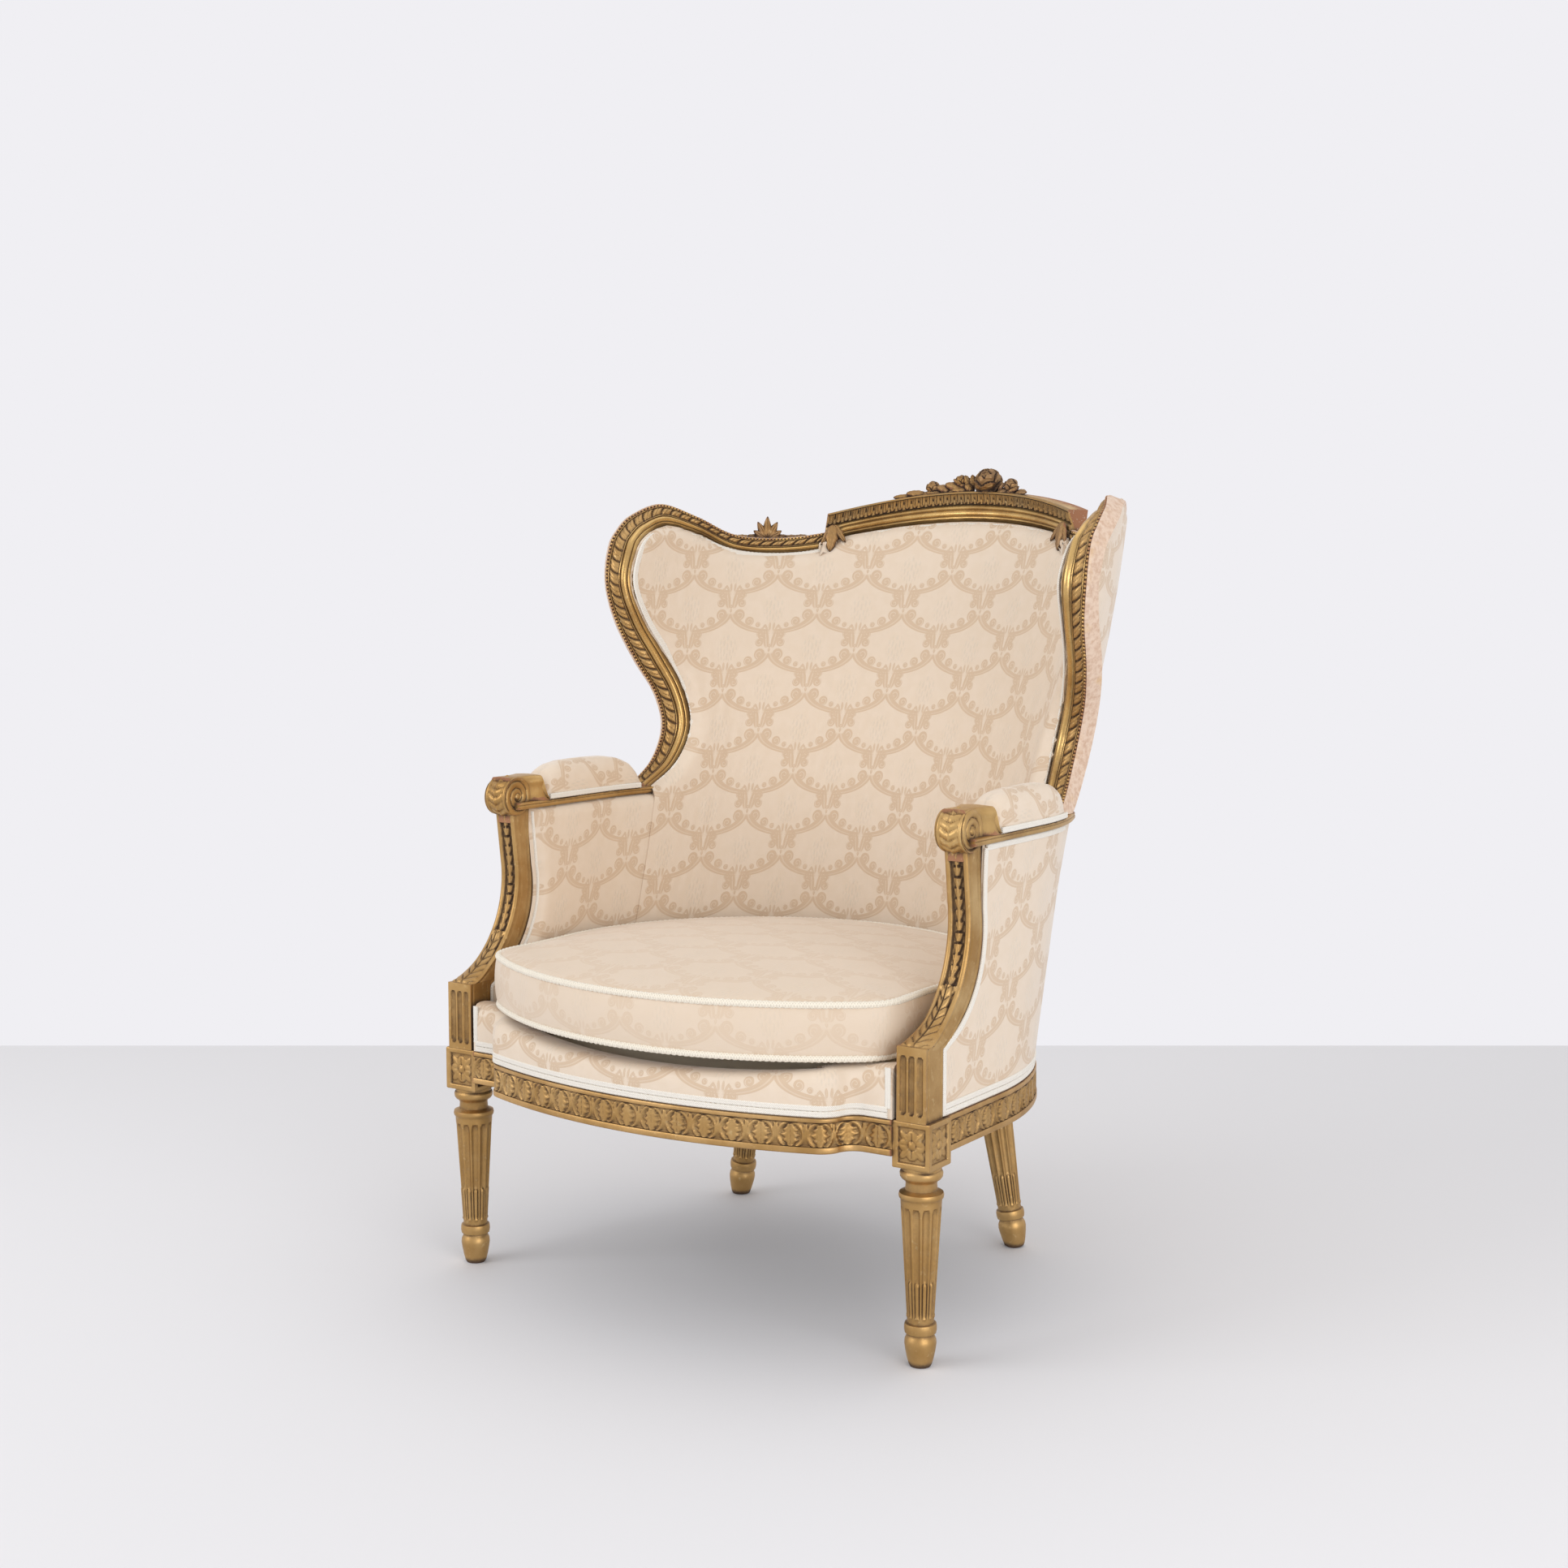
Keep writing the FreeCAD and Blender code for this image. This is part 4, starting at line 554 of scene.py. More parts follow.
# %% Braid group
plait, taken_p, given_p = new_group(
    "Strands",
    [
        ("Vector", "NodeSocketVector", None), ("Light", "NodeSocketColor", colour(240, 235, 226)),
        ("Shade", "NodeSocketColor", colour(208, 198, 182)), ("Along", "NodeSocketFloat", 420.0),
        ("Across", "NodeSocketFloat", 420.0)
    ],
    [("Base Color", "NodeSocketColor"), ("Roughness", "NodeSocketFloat"), ("Height", "NodeSocketFloat")],
)
across, along, _ = split(plait, taken_p.outputs["Vector"])
run = along * Signal(plait, taken_p.outputs["Along"])
side = across * Signal(plait, taken_p.outputs["Across"])
warp = ((run + side).part() - 0.5).size().between(0.46, 0.15)
weft = ((run - side).part() - 0.5).size().between(0.46, 0.15)
strands = warp.top(weft)
fluff = noise(plait, taken_p.outputs["Vector"], 700.0, 3.0)
body = blended(plait, strands, Signal(plait, taken_p.outputs["Shade"]), Signal(plait, taken_p.outputs["Light"]))
plait.links.new(body.socket, given_p.inputs["Base Color"])
plait.links.new((fluff * 0.3 + 0.6).socket, given_p.inputs["Roughness"])
plait.links.new((strands + fluff * 0.3).socket, given_p.inputs["Height"])
BRAID = finish_from_group("braid_white", plait, "UV", {}, 0.6, {"Sheen Weight": 0.3})
CORD = finish_from_group(
    "cord_cream", plait, "UV", {"Light": colour(238, 230, 214), "Along": 300.0, "Across": 200.0}, 0.4,
    {"Sheen Weight": 0.3}
)
JUTE = finish_from_group(
    "webbing_jute", plait, "Object",
    {"Light": colour(196, 168, 120), "Shade": colour(150, 120, 78), "Along": 300.0, "Across": 300.0}, 0.7, {}
)
COTTON = finish_from_group(
    "platform_cotton", plait, "Object",
    {"Light": colour(226, 216, 196), "Shade": colour(206, 194, 170), "Along": 900.0, "Across": 900.0}, 0.4, {}
)
LINING = finish_from_group(
    "lining_dark", plait, "Object",
    {"Light": colour(72, 68, 64), "Shade": colour(44, 42, 40), "Along": 800.0, "Across": 800.0}, 0.5, {}
)
print("braid nodes", len(plait.nodes))

# %% [markdown]
# ## Legs
# A front leg is turned, then fluted: a small inverted-bell foot, twelve hollow flutes with
# round tops and a rod laid in their lower part, a ring, a neck, and a square block.
# By hand it is a lathe profile with cut flutes. Here a grid is rolled into a tube, and each
# point's distance from the axis follows the profile less the flute's depth there.

# %% Turned and fluted legs
FLUTES = 12
FOOT_PROFILE = [
    (0, 12.0), (3, 13.6), (10, 15.6), (20, 17.6), (27, 18.6), (32, 18.2), (36, 16.4), (38, 15.4), (39, 15.6),
    (40, 18.2), (44, 18.9), (48, 18.9), (51, 18.2), (52, 15.6)
]


def flute_depth(turn, z, radius, low, high, cable_top):
    """How deep the hollow is at a turn and height, with half-round ends and a rod below."""
    pitch = 2.0 * math.pi / FLUTES
    offset = (np.mod(turn, pitch) - pitch / 2.0) / (pitch * 0.37)
    half = radius * pitch * 0.37
    head = dome(np.clip((z - (high - half * 1.3)) / (half * 1.3), 0.0, 1.0))
    foot = dome(np.clip(((low + half) - z) / half, 0.0, 1.0))
    open_width = np.maximum(np.minimum(head, foot), 1e-3)
    depth = 3.1 * (radius / 24.0) * dome(np.clip(offset / open_width, -1.0, 1.0)) * (np.minimum(head, foot) > 0.01)
    rod_end = dome(np.clip((z - (cable_top - half)) / half, 0.0, 1.0)) * (z < cable_top)
    rod = 3.4 * (radius / 24.0) * dome(np.clip(offset / (0.72 * np.maximum(rod_end, 1e-3)), -1.0, 1.0)) * rod_end
    return depth - np.minimum(rod, depth + 0.9)


def fluted_tube(name, top, extra, segments=168):
    """Foot, fluted shaft and any turned rows above it, as one closed tube on the z axis."""
    heights = [z for z, _ in FOOT_PROFILE]
    radii = [r for _, r in FOOT_PROFILE]
    shaft = np.arange(53.0, top, 2.2)
    heights += list(shaft)
    radii += list(mix(15.5, 24.0, (shaft - 52.0) / (top - 52.0)))
    for z, radius in extra:
        heights.append(z)
        radii.append(radius)
    z = np.array(heights, float)[:, None]
    radius = np.array(radii, float)[:, None]
    turn = np.linspace(0.0, 2.0 * math.pi, segments + 1)[None, :]
    inside = (z > 58.0) & (z < top - 6.0)
    depth = flute_depth(turn, z, radius, 60.0, top - 9.0, 102.0) * inside
    reach = radius - depth
    spots = np.stack([reach * np.cos(turn), reach * np.sin(turn), z + 0.0 * turn], -1)
    return laid(name, spots, welded=True, capped=True)


def moved(spots_piece, offset):
    """Move a piece by millimetres. The grid helper's own shift is already in it."""
    alone(spots_piece)
    bpy.ops.transform.translate(value=tuple(c / 1000.0 for c in offset))
    bpy.ops.object.transform_apply(location=True, rotation=True, scale=True)
    return spots_piece


NECK = [
    (198.0, 24.4), (199.0, 25.6), (202.0, 26.2), (205.0, 25.4), (206.5, 21.0), (208.0, 18.6), (216.0, 18.0),
    (219.0, 19.4), (221.0, 22.6), (223.0, 24.0), (224.0, 24.6), (228.0, 25.0), (230.0, 24.2), (231.5, 23.0),
    (233.0, 23.4), (236.0, 23.4)
]
front_shaft = moved(fluted_tube("front_leg_shaft", 198.0, NECK), (LEG_X, 0.0, 0.0))
print("shaft top ring at", NECK[2])

# %% [markdown]
# The square block holds a carved rosette in a sunk field on each outer face: four broad
# petals, four slim leaves on the diagonals and a button. The relief is a height drawing,
# laid round a square tube, so the same carver's pattern comes out on all four faces.

# %% Block with rosettes
def rosette(p, q):
    """Height over the field for places from -1 to 1 both ways."""
    reach = np.hypot(p, q)
    turn = np.arctan2(q, p)
    broad_rim = 0.98 * np.abs(np.cos(2.0 * turn)) ** 0.33 * (np.abs(np.cos(2.0 * turn)) > 0.02)
    across = np.abs(np.sin(2.0 * turn)) * reach
    petal = 2.9 * dome(reach / np.maximum(broad_rim, 0.05)) ** 0.7 * (0.55 + 0.45 * np.clip(reach * 1.6, 0, 1))
    petal = petal - 0.9 * ridge(across, 0.07) * (reach < 0.8)
    slim_rim = 1.22 * np.abs(np.sin(2.0 * turn)) ** 2.2
    slim = 2.0 * dome(
        reach / np.maximum(slim_rim, 0.05)
    ) ** 0.6 + 0.6 * ridge(np.cos(2.0 * turn) * reach, 0.09) * (reach < 1.1)
    button = 3.6 * dome(reach / 0.27) ** 0.8
    ring = -0.8 * ridge(reach - 0.31, 0.05)
    return np.maximum(np.maximum(petal, slim) + ring, button)


def block_height(p, z, half, low, high, border):
    """Raised rim, sunk field and rosette on one face of the block."""
    q = z - (low + high) / 2.0
    field = half - border
    inside = np.maximum(np.abs(p), np.abs(q) * (half - border) / ((high - low) / 2.0 - border)) / field
    sunk = 3.0 * (1.0 - ease((inside - 0.93) / 0.09))
    return -sunk + rosette(p / field, q / field) * (inside < 0.96)


def square_tube(half_x, half_y, columns):
    """Places round a square, with the outward direction of each side."""
    share = np.linspace(-1.0, 1.0, columns, endpoint=False)
    sides = []
    for nx, ny in ((0, -1), (1, 0), (0, 1), (-1, 0)):
        across = share * (half_x if nx == 0 else half_y)
        x = across * -ny + nx * half_x
        y = across * nx + ny * half_y
        sides.append(np.stack([x, y, across, np.full_like(x, nx), np.full_like(x, ny)], -1))
    places = np.concatenate(sides)
    return np.concatenate([places, places[:1]])


def leg_block(low, high, half):
    around = square_tube(half, half, 46)[None]
    z = np.concatenate([[low, low + 0.4], np.linspace(low + 1.2, high - 1.2, 52), [high - 0.4, high]])[:, None]
    pinch = np.where((z < low + 1) | (z > high - 1), 0.975, 1.0)
    height = block_height(around[..., 2], z, half, low, high, 6.2)
    x = around[..., 0] * pinch + around[..., 3] * height
    y = around[..., 1] * pinch + around[..., 4] * height
    return laid("leg_block", np.stack([x, y, z + 0.0 * x], -1), bands=np.zeros(184, int), welded=True, capped=True)


block = moved(leg_block(235.5, RAIL_TOP, 24.5), (LEG_X, 0.0, 0.0))
leg_right = smooth(joined("front_leg_carved_right", [front_shaft, block]))
settle_pair(leg_right, [CARVED], "front_leg")

# %% [markdown]
# The back legs have no block: the fluted shaft runs up to the rail and leans out and back,
# so it is turned upright first and then tilted about its foot.

# %% Raked back legs
REAR_FOOT = Vector((226.0, 452.0, 0.0))
REAR_TOP = Vector((190.0, 439.0, RAIL_BOTTOM))
rear = fluted_tube("rear_leg_fluted_right", 240.0, [(241.0, 24.0), (244.0, 24.6), (RAIL_BOTTOM - 1.0, 24.6)])
lean = REAR_TOP - REAR_FOOT
axis = Vector((0.0, 0.0, 1.0)).cross(lean)
tilt = lean.angle(Vector((0.0, 0.0, 1.0)))
alone(rear)
rear.data.transform(Matrix.Translation((0.0, -SHIFT_Y / 1000.0, 0.0)))
rear.data.transform(Matrix.Rotation(tilt, 4, axis))
rear.data.transform(Matrix.Translation(((REAR_FOOT.x) / 1000.0, (REAR_FOOT.y + SHIFT_Y) / 1000.0, 0.0)))
for point in rear.data.vertices:
    point.co.z = max(min(point.co.z, RAIL_BOTTOM / 1000.0), 0.0)
settle_pair(smooth(rear), [CARVED], "rear_leg")

# %% [markdown]
# ## Seat rails
# The front rail bows forward between the blocks, and the side and back rails follow the shell.
# Each has a plain rubbed fillet above and below a sunk band of upright leaves in oval frames.
# A section is drawn once and swept along the plan; the leaves are heights on its front face.

# %% Leaf pattern of the rails
RAIL_EDGE = gilt("gilding_rail_edge", Dirt=0.8, Rub=0.95, Polish=0.36, Gold=colour(204, 166, 112))


def arc_through(a, b, c, count):
    """Points on the arc through three points, in the plane."""
    a, b, c = (np.array(p, float) for p in (a, b, c))
    d = 2.0 * (a[0] * (b[1] - c[1]) + b[0] * (c[1] - a[1]) + c[0] * (a[1] - b[1]))
    ux = ((a @ a) * (b[1] - c[1]) + (b @ b) * (c[1] - a[1]) + (c @ c) * (a[1] - b[1])) / d
    uy = ((a @ a) * (c[0] - b[0]) + (b @ b) * (a[0] - c[0]) + (c @ c) * (b[0] - a[0])) / d
    centre = np.array([ux, uy])
    start, through, end = (math.atan2(p[1] - uy, p[0] - ux) for p in (a, b, c))
    sweep = (end - start) % (2.0 * math.pi)
    if (through - start) % (2.0 * math.pi) > sweep:
        sweep -= 2.0 * math.pi
    turns = start + sweep * np.linspace(0.0, 1.0, count)
    return centre + np.linalg.norm(a - centre) * np.stack([np.cos(turns), np.sin(turns)], -1)


def leaf_in_arch(s, t):
    """Upright leaf in an oval frame. s runs 0 to 1 along one repeat, t 0 to 1 up the band."""
    p, q = s - 0.5, t - 0.46
    oval = np.hypot(p / 0.42, q / 0.56)
    frame_rib = 2.6 * ridge(oval - 1.0, 0.13)
    width = 0.05 + 0.24 * np.clip(1.0 - np.abs(q) / 0.5, 0.0, 1.0) ** 0.6 * (1.0 + 0.22 * np.cos(q * 26.0))
    leaf = 3.1 * dome(p / width) ** 0.8 * (np.abs(q) < 0.5) - 1.1 * ridge(p, 0.022) * (np.abs(q) < 0.42)
    leaf = leaf - 0.5 * ridge(np.mod(np.abs(p) * 1.4 + t, 0.24) - 0.12, 0.035) * (np.abs(p) > 0.04)
    edge = np.minimum(s, 1.0 - s)
    dart = 2.3 * dome(edge / 0.07) * ease((t - 0.1) * 3.0) * (1.0 - ease((t - 0.9) * 8.0))
    return np.maximum(np.maximum(frame_rib, leaf), dart)


def rail_section(steps=30):
    """Front face from the bottom up: depth behind the face, height, and share up the band."""
    depth = [2.0, 0.3, 0.0, 0.0, 0.6, 3.0]
    height = [0.0, 1.0, 2.0, 6.4, 7.6, 8.0]
    share = [-1.0] * 6
    for step in range(steps + 1):
        t = step / steps
        depth.append(3.6)
        height.append(mix(8.6, 35.4, t))
        share.append(t)
    depth += [3.0, 1.6, 1.0, 1.0, 1.6, 2.4]
    height += [36.0, 36.4, 37.4, 40.2, 41.4, 42.0]
    share += [-1.0] * 6
    return np.array(depth), np.array(height), np.array(share)


def resampled(points, step):
    """Evenly spaced points along a line, its unit normals to the right, and distances."""
    run = lengths(points[None], 1)[0]
    count = max(int(run[-1] / step), 2)
    far = np.linspace(0.0, run[-1], count + 1)
    even = np.stack([np.interp(far, run, points[:, i]) for i in range(points.shape[1])], -1)
    ahead = np.gradient(even, axis=0)
    ahead /= np.linalg.norm(ahead, axis=1, keepdims=True)
    return even, np.stack([ahead[:, 1], -ahead[:, 0]], -1), far


def carved_rail(name, line, thickness, repeats):
    """Sweep the rail's section along a plan line that has the outside on its right."""
    even, out, far = resampled(line, 1.6)
    depth, height, share = rail_section()
    s = np.mod(far / far[-1] * repeats, 1.0)[:, None]
    carve = leaf_in_arch(s, np.clip(share, 0.0, 1.0)[None]) * (share >= 0.0)
    behind = depth[None] - carve
    face = even[:, None, :] - out[:, None, :] * behind[..., None]
    face = np.concatenate([face, (RAIL_BOTTOM + height)[None, :, None] + 0.0 * face[..., :1]], -1)
    back = even - out * thickness
    top = np.concatenate([back, np.full((len(back), 1), RAIL_TOP)], -1)[:, None]
    bottom = np.concatenate([back, np.full((len(back), 1), RAIL_BOTTOM)], -1)[:, None]
    spots = np.concatenate([face, top, bottom, face[:, :1]], 1)
    zones = np.where(share[:-1] >= 0.0, 0, 1)
    zones = np.concatenate([zones, [1, 1, 1]])
    return smooth(laid(name, spots, bands=zones, finishes=[CARVED, RAIL_EDGE], welded=True, capped=True), 50.0)


FRONT_FACE_Y, BOW = -28.5, 83.0


def front_line(offset=0.0):
    y, end = FRONT_FACE_Y + offset, LEG_X - 24.5
    step, knee, bow = end - 36.5, end - 56.5, end - 78.5
    bow_y = y - BOW / 2.0
    half = [[(end, y), (step, y - 1.0)]]
    half.append(arc_through((step, y - 1.0), ((step + knee) / 2 - 4, y - 8), (knee, y - 21), 14))
    half.append(arc_through((knee, y - 21), ((knee + bow) / 2 + 3, bow_y + 8), (bow, bow_y), 14))
    right = np.concatenate([np.array(half[0]), half[1][1:], half[2][1:]])
    middle = arc_through((bow, bow_y), (0.0, y - BOW), (-bow, bow_y), 120)
    left = (right * [-1.0, 1.0])[::-1]
    return np.concatenate([right, middle[1:-1], left])


def shell_line(start, end, radius):
    angles = np.radians(np.linspace(max(start, 0.0), end, 120))
    round_part = np.stack([radius * np.cos(angles), 156.0 + radius * np.sin(angles)], -1)
    if start < 0.0:
        round_part = np.concatenate([[[radius, 24.5]], round_part])
    return round_part


front = carved_rail("front_rail_carved", front_line()[::-1], 30.0, 19)
side_right = carved_rail("side_rail_carved_right", shell_line(-1.0, 57.0, 362.0), 30.0, 13)
back = carved_rail("back_rail_carved", shell_line(57.0, 123.0, 362.0), 30.0, 11)
settle(front, None, replaces=["front_rail"])
settle_pair(side_right, None, "side_rail")
settle(back, None, replaces=["back_rail"])

# %% [markdown]
# ## Arm supports
# A square post with three stopped flutes stands on each front block. It grows into a console
# that sweeps back and up under the scroll, with a chain of husks in a channel between two
# ribs, and an acanthus leaf over its foot. The console is one long tube: a square
# section moved along the sweep, with heights on its front side, and the post is another.

# %% Post and console
POST_HALF, POST_TOP = 19.25, 374.0


def flute_panel(p, z):
    """Three hollow flutes with round ends on the post's front, place p in millimetres."""
    pitch, half = 11.0, 4.0
    offset = np.mod(p + pitch * 1.5, pitch) - pitch / 2.0
    low, high = RAIL_TOP + 8.0, POST_TOP - 8.0
    end = np.minimum(dome(np.clip((z - (high - half)) / half, 0, 1)), dome(np.clip((low + half - z) / half, 0, 1)))
    width = np.maximum(half * end, 0.01)
    return -3.2 * dome(np.clip(offset / width, -1, 1)) * (end > 0.02) * (np.abs(p) < pitch * 1.5)


def post_piece():
    around = square_tube(POST_HALF, POST_HALF, 48)[None]
    z = np.concatenate([[RAIL_TOP], np.linspace(RAIL_TOP + 0.5, POST_TOP + 2.0, 64), [POST_TOP + 2.6]])[:, None]
    front_side = around[..., 4] == -1
    plain = -0.9 * ridge(np.abs(around[..., 2]) - POST_HALF * 0.72, 0.9)
    height = np.where(front_side, flute_panel(around[..., 2], z), plain + 0.0 * z)
    x = around[..., 0] + around[..., 3] * height
    y = around[..., 1] + around[..., 4] * height + (-24.5 + POST_HALF)
    return laid(
        "post", np.stack([x, y, z + 0.0 * x], -1), bands=np.zeros(192, int), finishes=[CARVED], welded=True,
        capped=True
    )


def husk_chain(u, v):
    """Ribs beside a channel of husks. u is millimetres along, v is -1 to 1 across."""
    a = np.abs(v)
    rib = 2.0 * dome((a - 0.78) / 0.2)
    s = np.mod(u / 13.0, 1.0)
    width = 0.42 * (0.25 + 0.75 * s ** 0.6) * (1.0 - ease((s - 0.88) * 9.0))
    husk = 4.4 * dome(v / np.maximum(width, 0.03)) ** 0.8 - 0.9 * ridge(a - 0.14, 0.05) * (s > 0.35)
    channel = -2.6 * (1.0 - ease((a - 0.46) / 0.12))
    return np.where(a < 0.56, np.maximum(channel, channel + husk), rib)


def acanthus(u, v, length):
    """A leaf laid over the console's foot, with side lobes and a curled tip."""
    s = np.clip(u / length, 0.0, 1.0)
    lobe = np.abs(np.sin(s * math.pi * 4.0)) ** 0.6
    width = (1.02 - 0.62 * s) * (0.8 + 0.2 * lobe)
    leaf = 5.4 * dome(v / width) ** 0.8 - 2.2 * ridge(v, 0.07)
    leaf = leaf - 2.2 * ridge(np.mod(s * 7.0 - np.abs(v) * 1.6, 1.0) - 0.5, 0.13) * (np.abs(v) > 0.12)
    return leaf + 2.4 * ease((s - 0.75) * 4.0)


def console_piece():
    top_z = ARM_TOP - 9.4
    low, upright = 60, 26
    front = np.concatenate([
        arc_through((-23.5, POST_TOP), (55.5, 428.0), (80.0, 517.5), low),
        np.stack([np.linspace(80.0, 70.5, upright), np.linspace(517.5, top_z, upright)], -1)[1:],
    ])
    back = np.concatenate([
        arc_through((14.0, 370.0), (82.5, 416.0), (107.0, 517.5), low),
        np.stack([np.linspace(107.0, 103.5, upright), np.linspace(517.5, top_z, upright)], -1)[1:],
    ])
    where = np.linspace(0.0, 1.0, 150)
    old = lengths(front[None], 1)[0] / lengths(front[None], 1)[0][-1]
    front, back = (np.stack([np.interp(where, old, line[:, i]) for i in (0, 1)], -1) for line in (front, back))
    run = lengths(front[None], 1)[0]
    ahead = np.gradient(front, axis=0)
    ahead /= np.linalg.norm(ahead, axis=1, keepdims=True)
    out = np.stack([-ahead[:, 1], ahead[:, 0]], -1)
    middle_x = mix(LEG_X, ARM_X, ease(run / 60.0))
    half = mix(POST_HALF, 15.0, ease((run - 8.0) / 52.0))
    v = np.linspace(-1.0, 1.0, 45)
    leaf_length = 104.0
    chain = husk_chain(run[:, None], v[None])
    leaf = acanthus(run[:, None], v[None], leaf_length)
    height = np.where(run[:, None] < leaf_length, np.maximum(leaf, chain), chain)
    height = height * ease(run / 6.0)[:, None] * ease((run[-1] - run) / 5.0)[:, None] * (1.0 - np.abs(v) ** 12)[None]
    face = np.empty((len(run), len(v), 3))
    face[..., 0] = middle_x[:, None] + half[:, None] * v[None]
    face[..., 1] = front[:, None, 0] + out[:, None, 0] * height
    face[..., 2] = front[:, None, 1] + out[:, None, 1] * height
    sides = []
    for sign in (1.0, -1.0):
        t = np.linspace(0.0, 1.0, 14)[1:]
        if sign < 0.0:
            t = np.linspace(1.0, 0.0, 14)[:-1]
        wall = np.empty((len(run), len(t), 3))
        groove = 0.9 * ridge(t - 0.78, 0.05) + 0.9 * ridge(t - 0.14, 0.05)
        wall[..., 0] = middle_x[:, None] + sign * (half[:, None] - groove[None])
        for i in (0, 1):
            wall[..., 1 + i] = mix(front[:, None, i], back[:, None, i], t[None])
        sides.append(wall)
    spots = np.concatenate([face, sides[0], sides[1], face[:, :1]], 1)
    bands = np.concatenate([np.zeros(44, int), np.ones(13, int), np.ones(1, int), np.ones(12, int), np.ones(1, int)])
    return laid("console", spots, bands=bands, finishes=[CARVED, OCHRE], welded=True, capped=True)


post = moved(post_piece(), (LEG_X, 0.0, 0.0))
support_right = smooth(joined("arm_support_carved_right", [console_piece(), post]), 45.0)
settle_pair(support_right, None, "arm_support")

# %% [markdown]
# ## Arm rails and scrolls
# The arm is a flat moulded rail. At its front it rises to a small block and rolls over into
# a volute: a drum wrapped in acanthus, with a spiral cut into each end.

# %% Arm rail, block and scroll
def arm_line():
    angles = np.radians(np.linspace(0.0, 24.0, 40))
    centre = centre_y(ARM_TOP)
    round_part = np.stack([ARM_X * np.cos(angles), centre + ARM_X * np.sin(angles)], -1)
    return np.concatenate([[[ARM_X, 70.5]], round_part])


def rail_bar():
    """Flat rail with a rounded lip and a narrower tongue below it."""
    even, out, _ = resampled(arm_line(), 4.0)
    half = 25.5
    profile = [
        (-half + 1.2, 595.0), (-half, 596.5), (-half, 599.0), (-half + 0.9, 600.2), (-half + 0.2, 601.4),
        (-half + 0.8, 603.2), (-half + 2.4, 604.0)
    ]
    profile += [(-x, z) for x, z in reversed(profile)]
    profile += [(10.5, 595.0), (10.5, 577.0), (-10.5, 577.0), (-10.5, 595.0)]
    profile.append(profile[0])
    section = np.array(profile)
    spots = np.empty((len(even), len(section), 3))
    for i in (0, 1):
        spots[..., i] = even[:, None, i] + out[:, None, i] * section[None, :, 0]
    spots[..., 2] = section[None, :, 1]
    return laid("rail_bar", spots, bands=np.zeros(len(section) - 1, int), welded=True, capped=True)


def rise_block():
    """The raised part behind the scroll, with a moulded top edge and a hollow step down."""
    y = np.concatenate([np.linspace(64.0, 120.0, 24), 120.5 + 17.0 * np.linspace(0.0, 1.0, 22) ** 1.4])
    top = np.where(y <= 120.5, 637.5, 604.4 + 33.0 * (1.0 - np.clip((y - 120.5) / 17.0, 0, 1)) ** 2.2)
    half = 15.5 + 9.5 * ease((y - 92.0) / 34.0)
    rise = top - 603.5
    section = [
        (-1.0, 0.0), (-1.0, 0.35), (-0.97, 0.5), (-1.0, 0.62), (-1.06, 0.7), (-1.08, 0.8), (-1.03, 0.88),
        (-0.96, 0.95), (-0.86, 1.0)
    ]
    section += [(-0.4, 1.02), (0.0, 1.03), (0.4, 1.02)] + [(-x, z) for x, z in reversed(section)]
    section.append(section[0])
    section = np.array(section)
    spots = np.empty((len(y), len(section), 3))
    spots[..., 0] = ARM_X + half[:, None] * section[None, :, 0]
    spots[..., 1] = y[:, None]
    spots[..., 2] = 603.5 + rise[:, None] * section[None, :, 1]
    return laid("rise_block", spots, bands=np.zeros(len(section) - 1, int), welded=True, capped=True)


def spiral_face(reach, turn, radius):
    """Height of the volute on the drum's end: one rolled band winding in to a button."""
    wound = np.mod(reach / (radius * 0.36) - turn / (2.0 * math.pi), 1.0)
    band = 2.2 * dome((wound - 0.5) / 0.44)
    button = 3.4 * dome(reach / (radius * 0.2))
    return np.where(reach < radius * 0.22, button, band) * (reach < radius * 0.985)


def scroll_drum():
    """Drum of the volute: a tube whose rings run out over the rim and in over both ends."""
    radius, half, centre = 25.5, 16.5, (77.0, 612.0)
    turn = np.linspace(0.0, 2.0 * math.pi, 121)
    inward = np.linspace(0.02, 0.97, 24)
    rows = []
    for share in inward:
        reach = radius * share
        rows.append((np.full_like(turn, reach), -half - spiral_face(reach, turn, radius)))
    for v in np.linspace(-1.0, 1.0, 41):
        roll = 1.6 * dome((abs(v) - 0.86) / 0.14)
        leaf = 2.9 * np.abs(np.sin(turn * 7.0 + abs(v) * 2.4)) ** 0.7 * dome(v / 0.74) + 1.2 * ridge(v, 0.09)
        rows.append((radius + np.maximum(roll, leaf) - 1.6, np.full_like(turn, half * v)))
    for share in inward[::-1]:
        reach = radius * share
        rows.append((np.full_like(turn, reach), half + spiral_face(reach, -turn, radius)))
    spots = np.empty((len(rows), len(turn), 3))
    for index, (reach, across) in enumerate(rows):
        spots[index, :, 0] = ARM_X + across
        spots[index, :, 1] = centre[0] + reach * np.cos(turn)
        spots[index, :, 2] = centre[1] + reach * np.sin(turn)
    return laid("scroll_drum", spots, bands=np.zeros(120, int), welded=True, capped=True)


arm_right = smooth(joined("arm_rail_carved_right", [rail_bar(), rise_block(), scroll_drum()]), 45.0)
settle_pair(arm_right, [GILT], "arm_rail")

# %% [markdown]
# ## Wing frames
# The wings are the hardest part of the chair: a moulding that swells out from the arm, sweeps
# forward, rolls over the top and dips to meet the crest. Two guide rows, one for each edge,
# give its place as angle, height and inset. A smooth curve runs through the rows, and the
# moulding's section, with a leaf band and polished rolls, is set between the two edges.

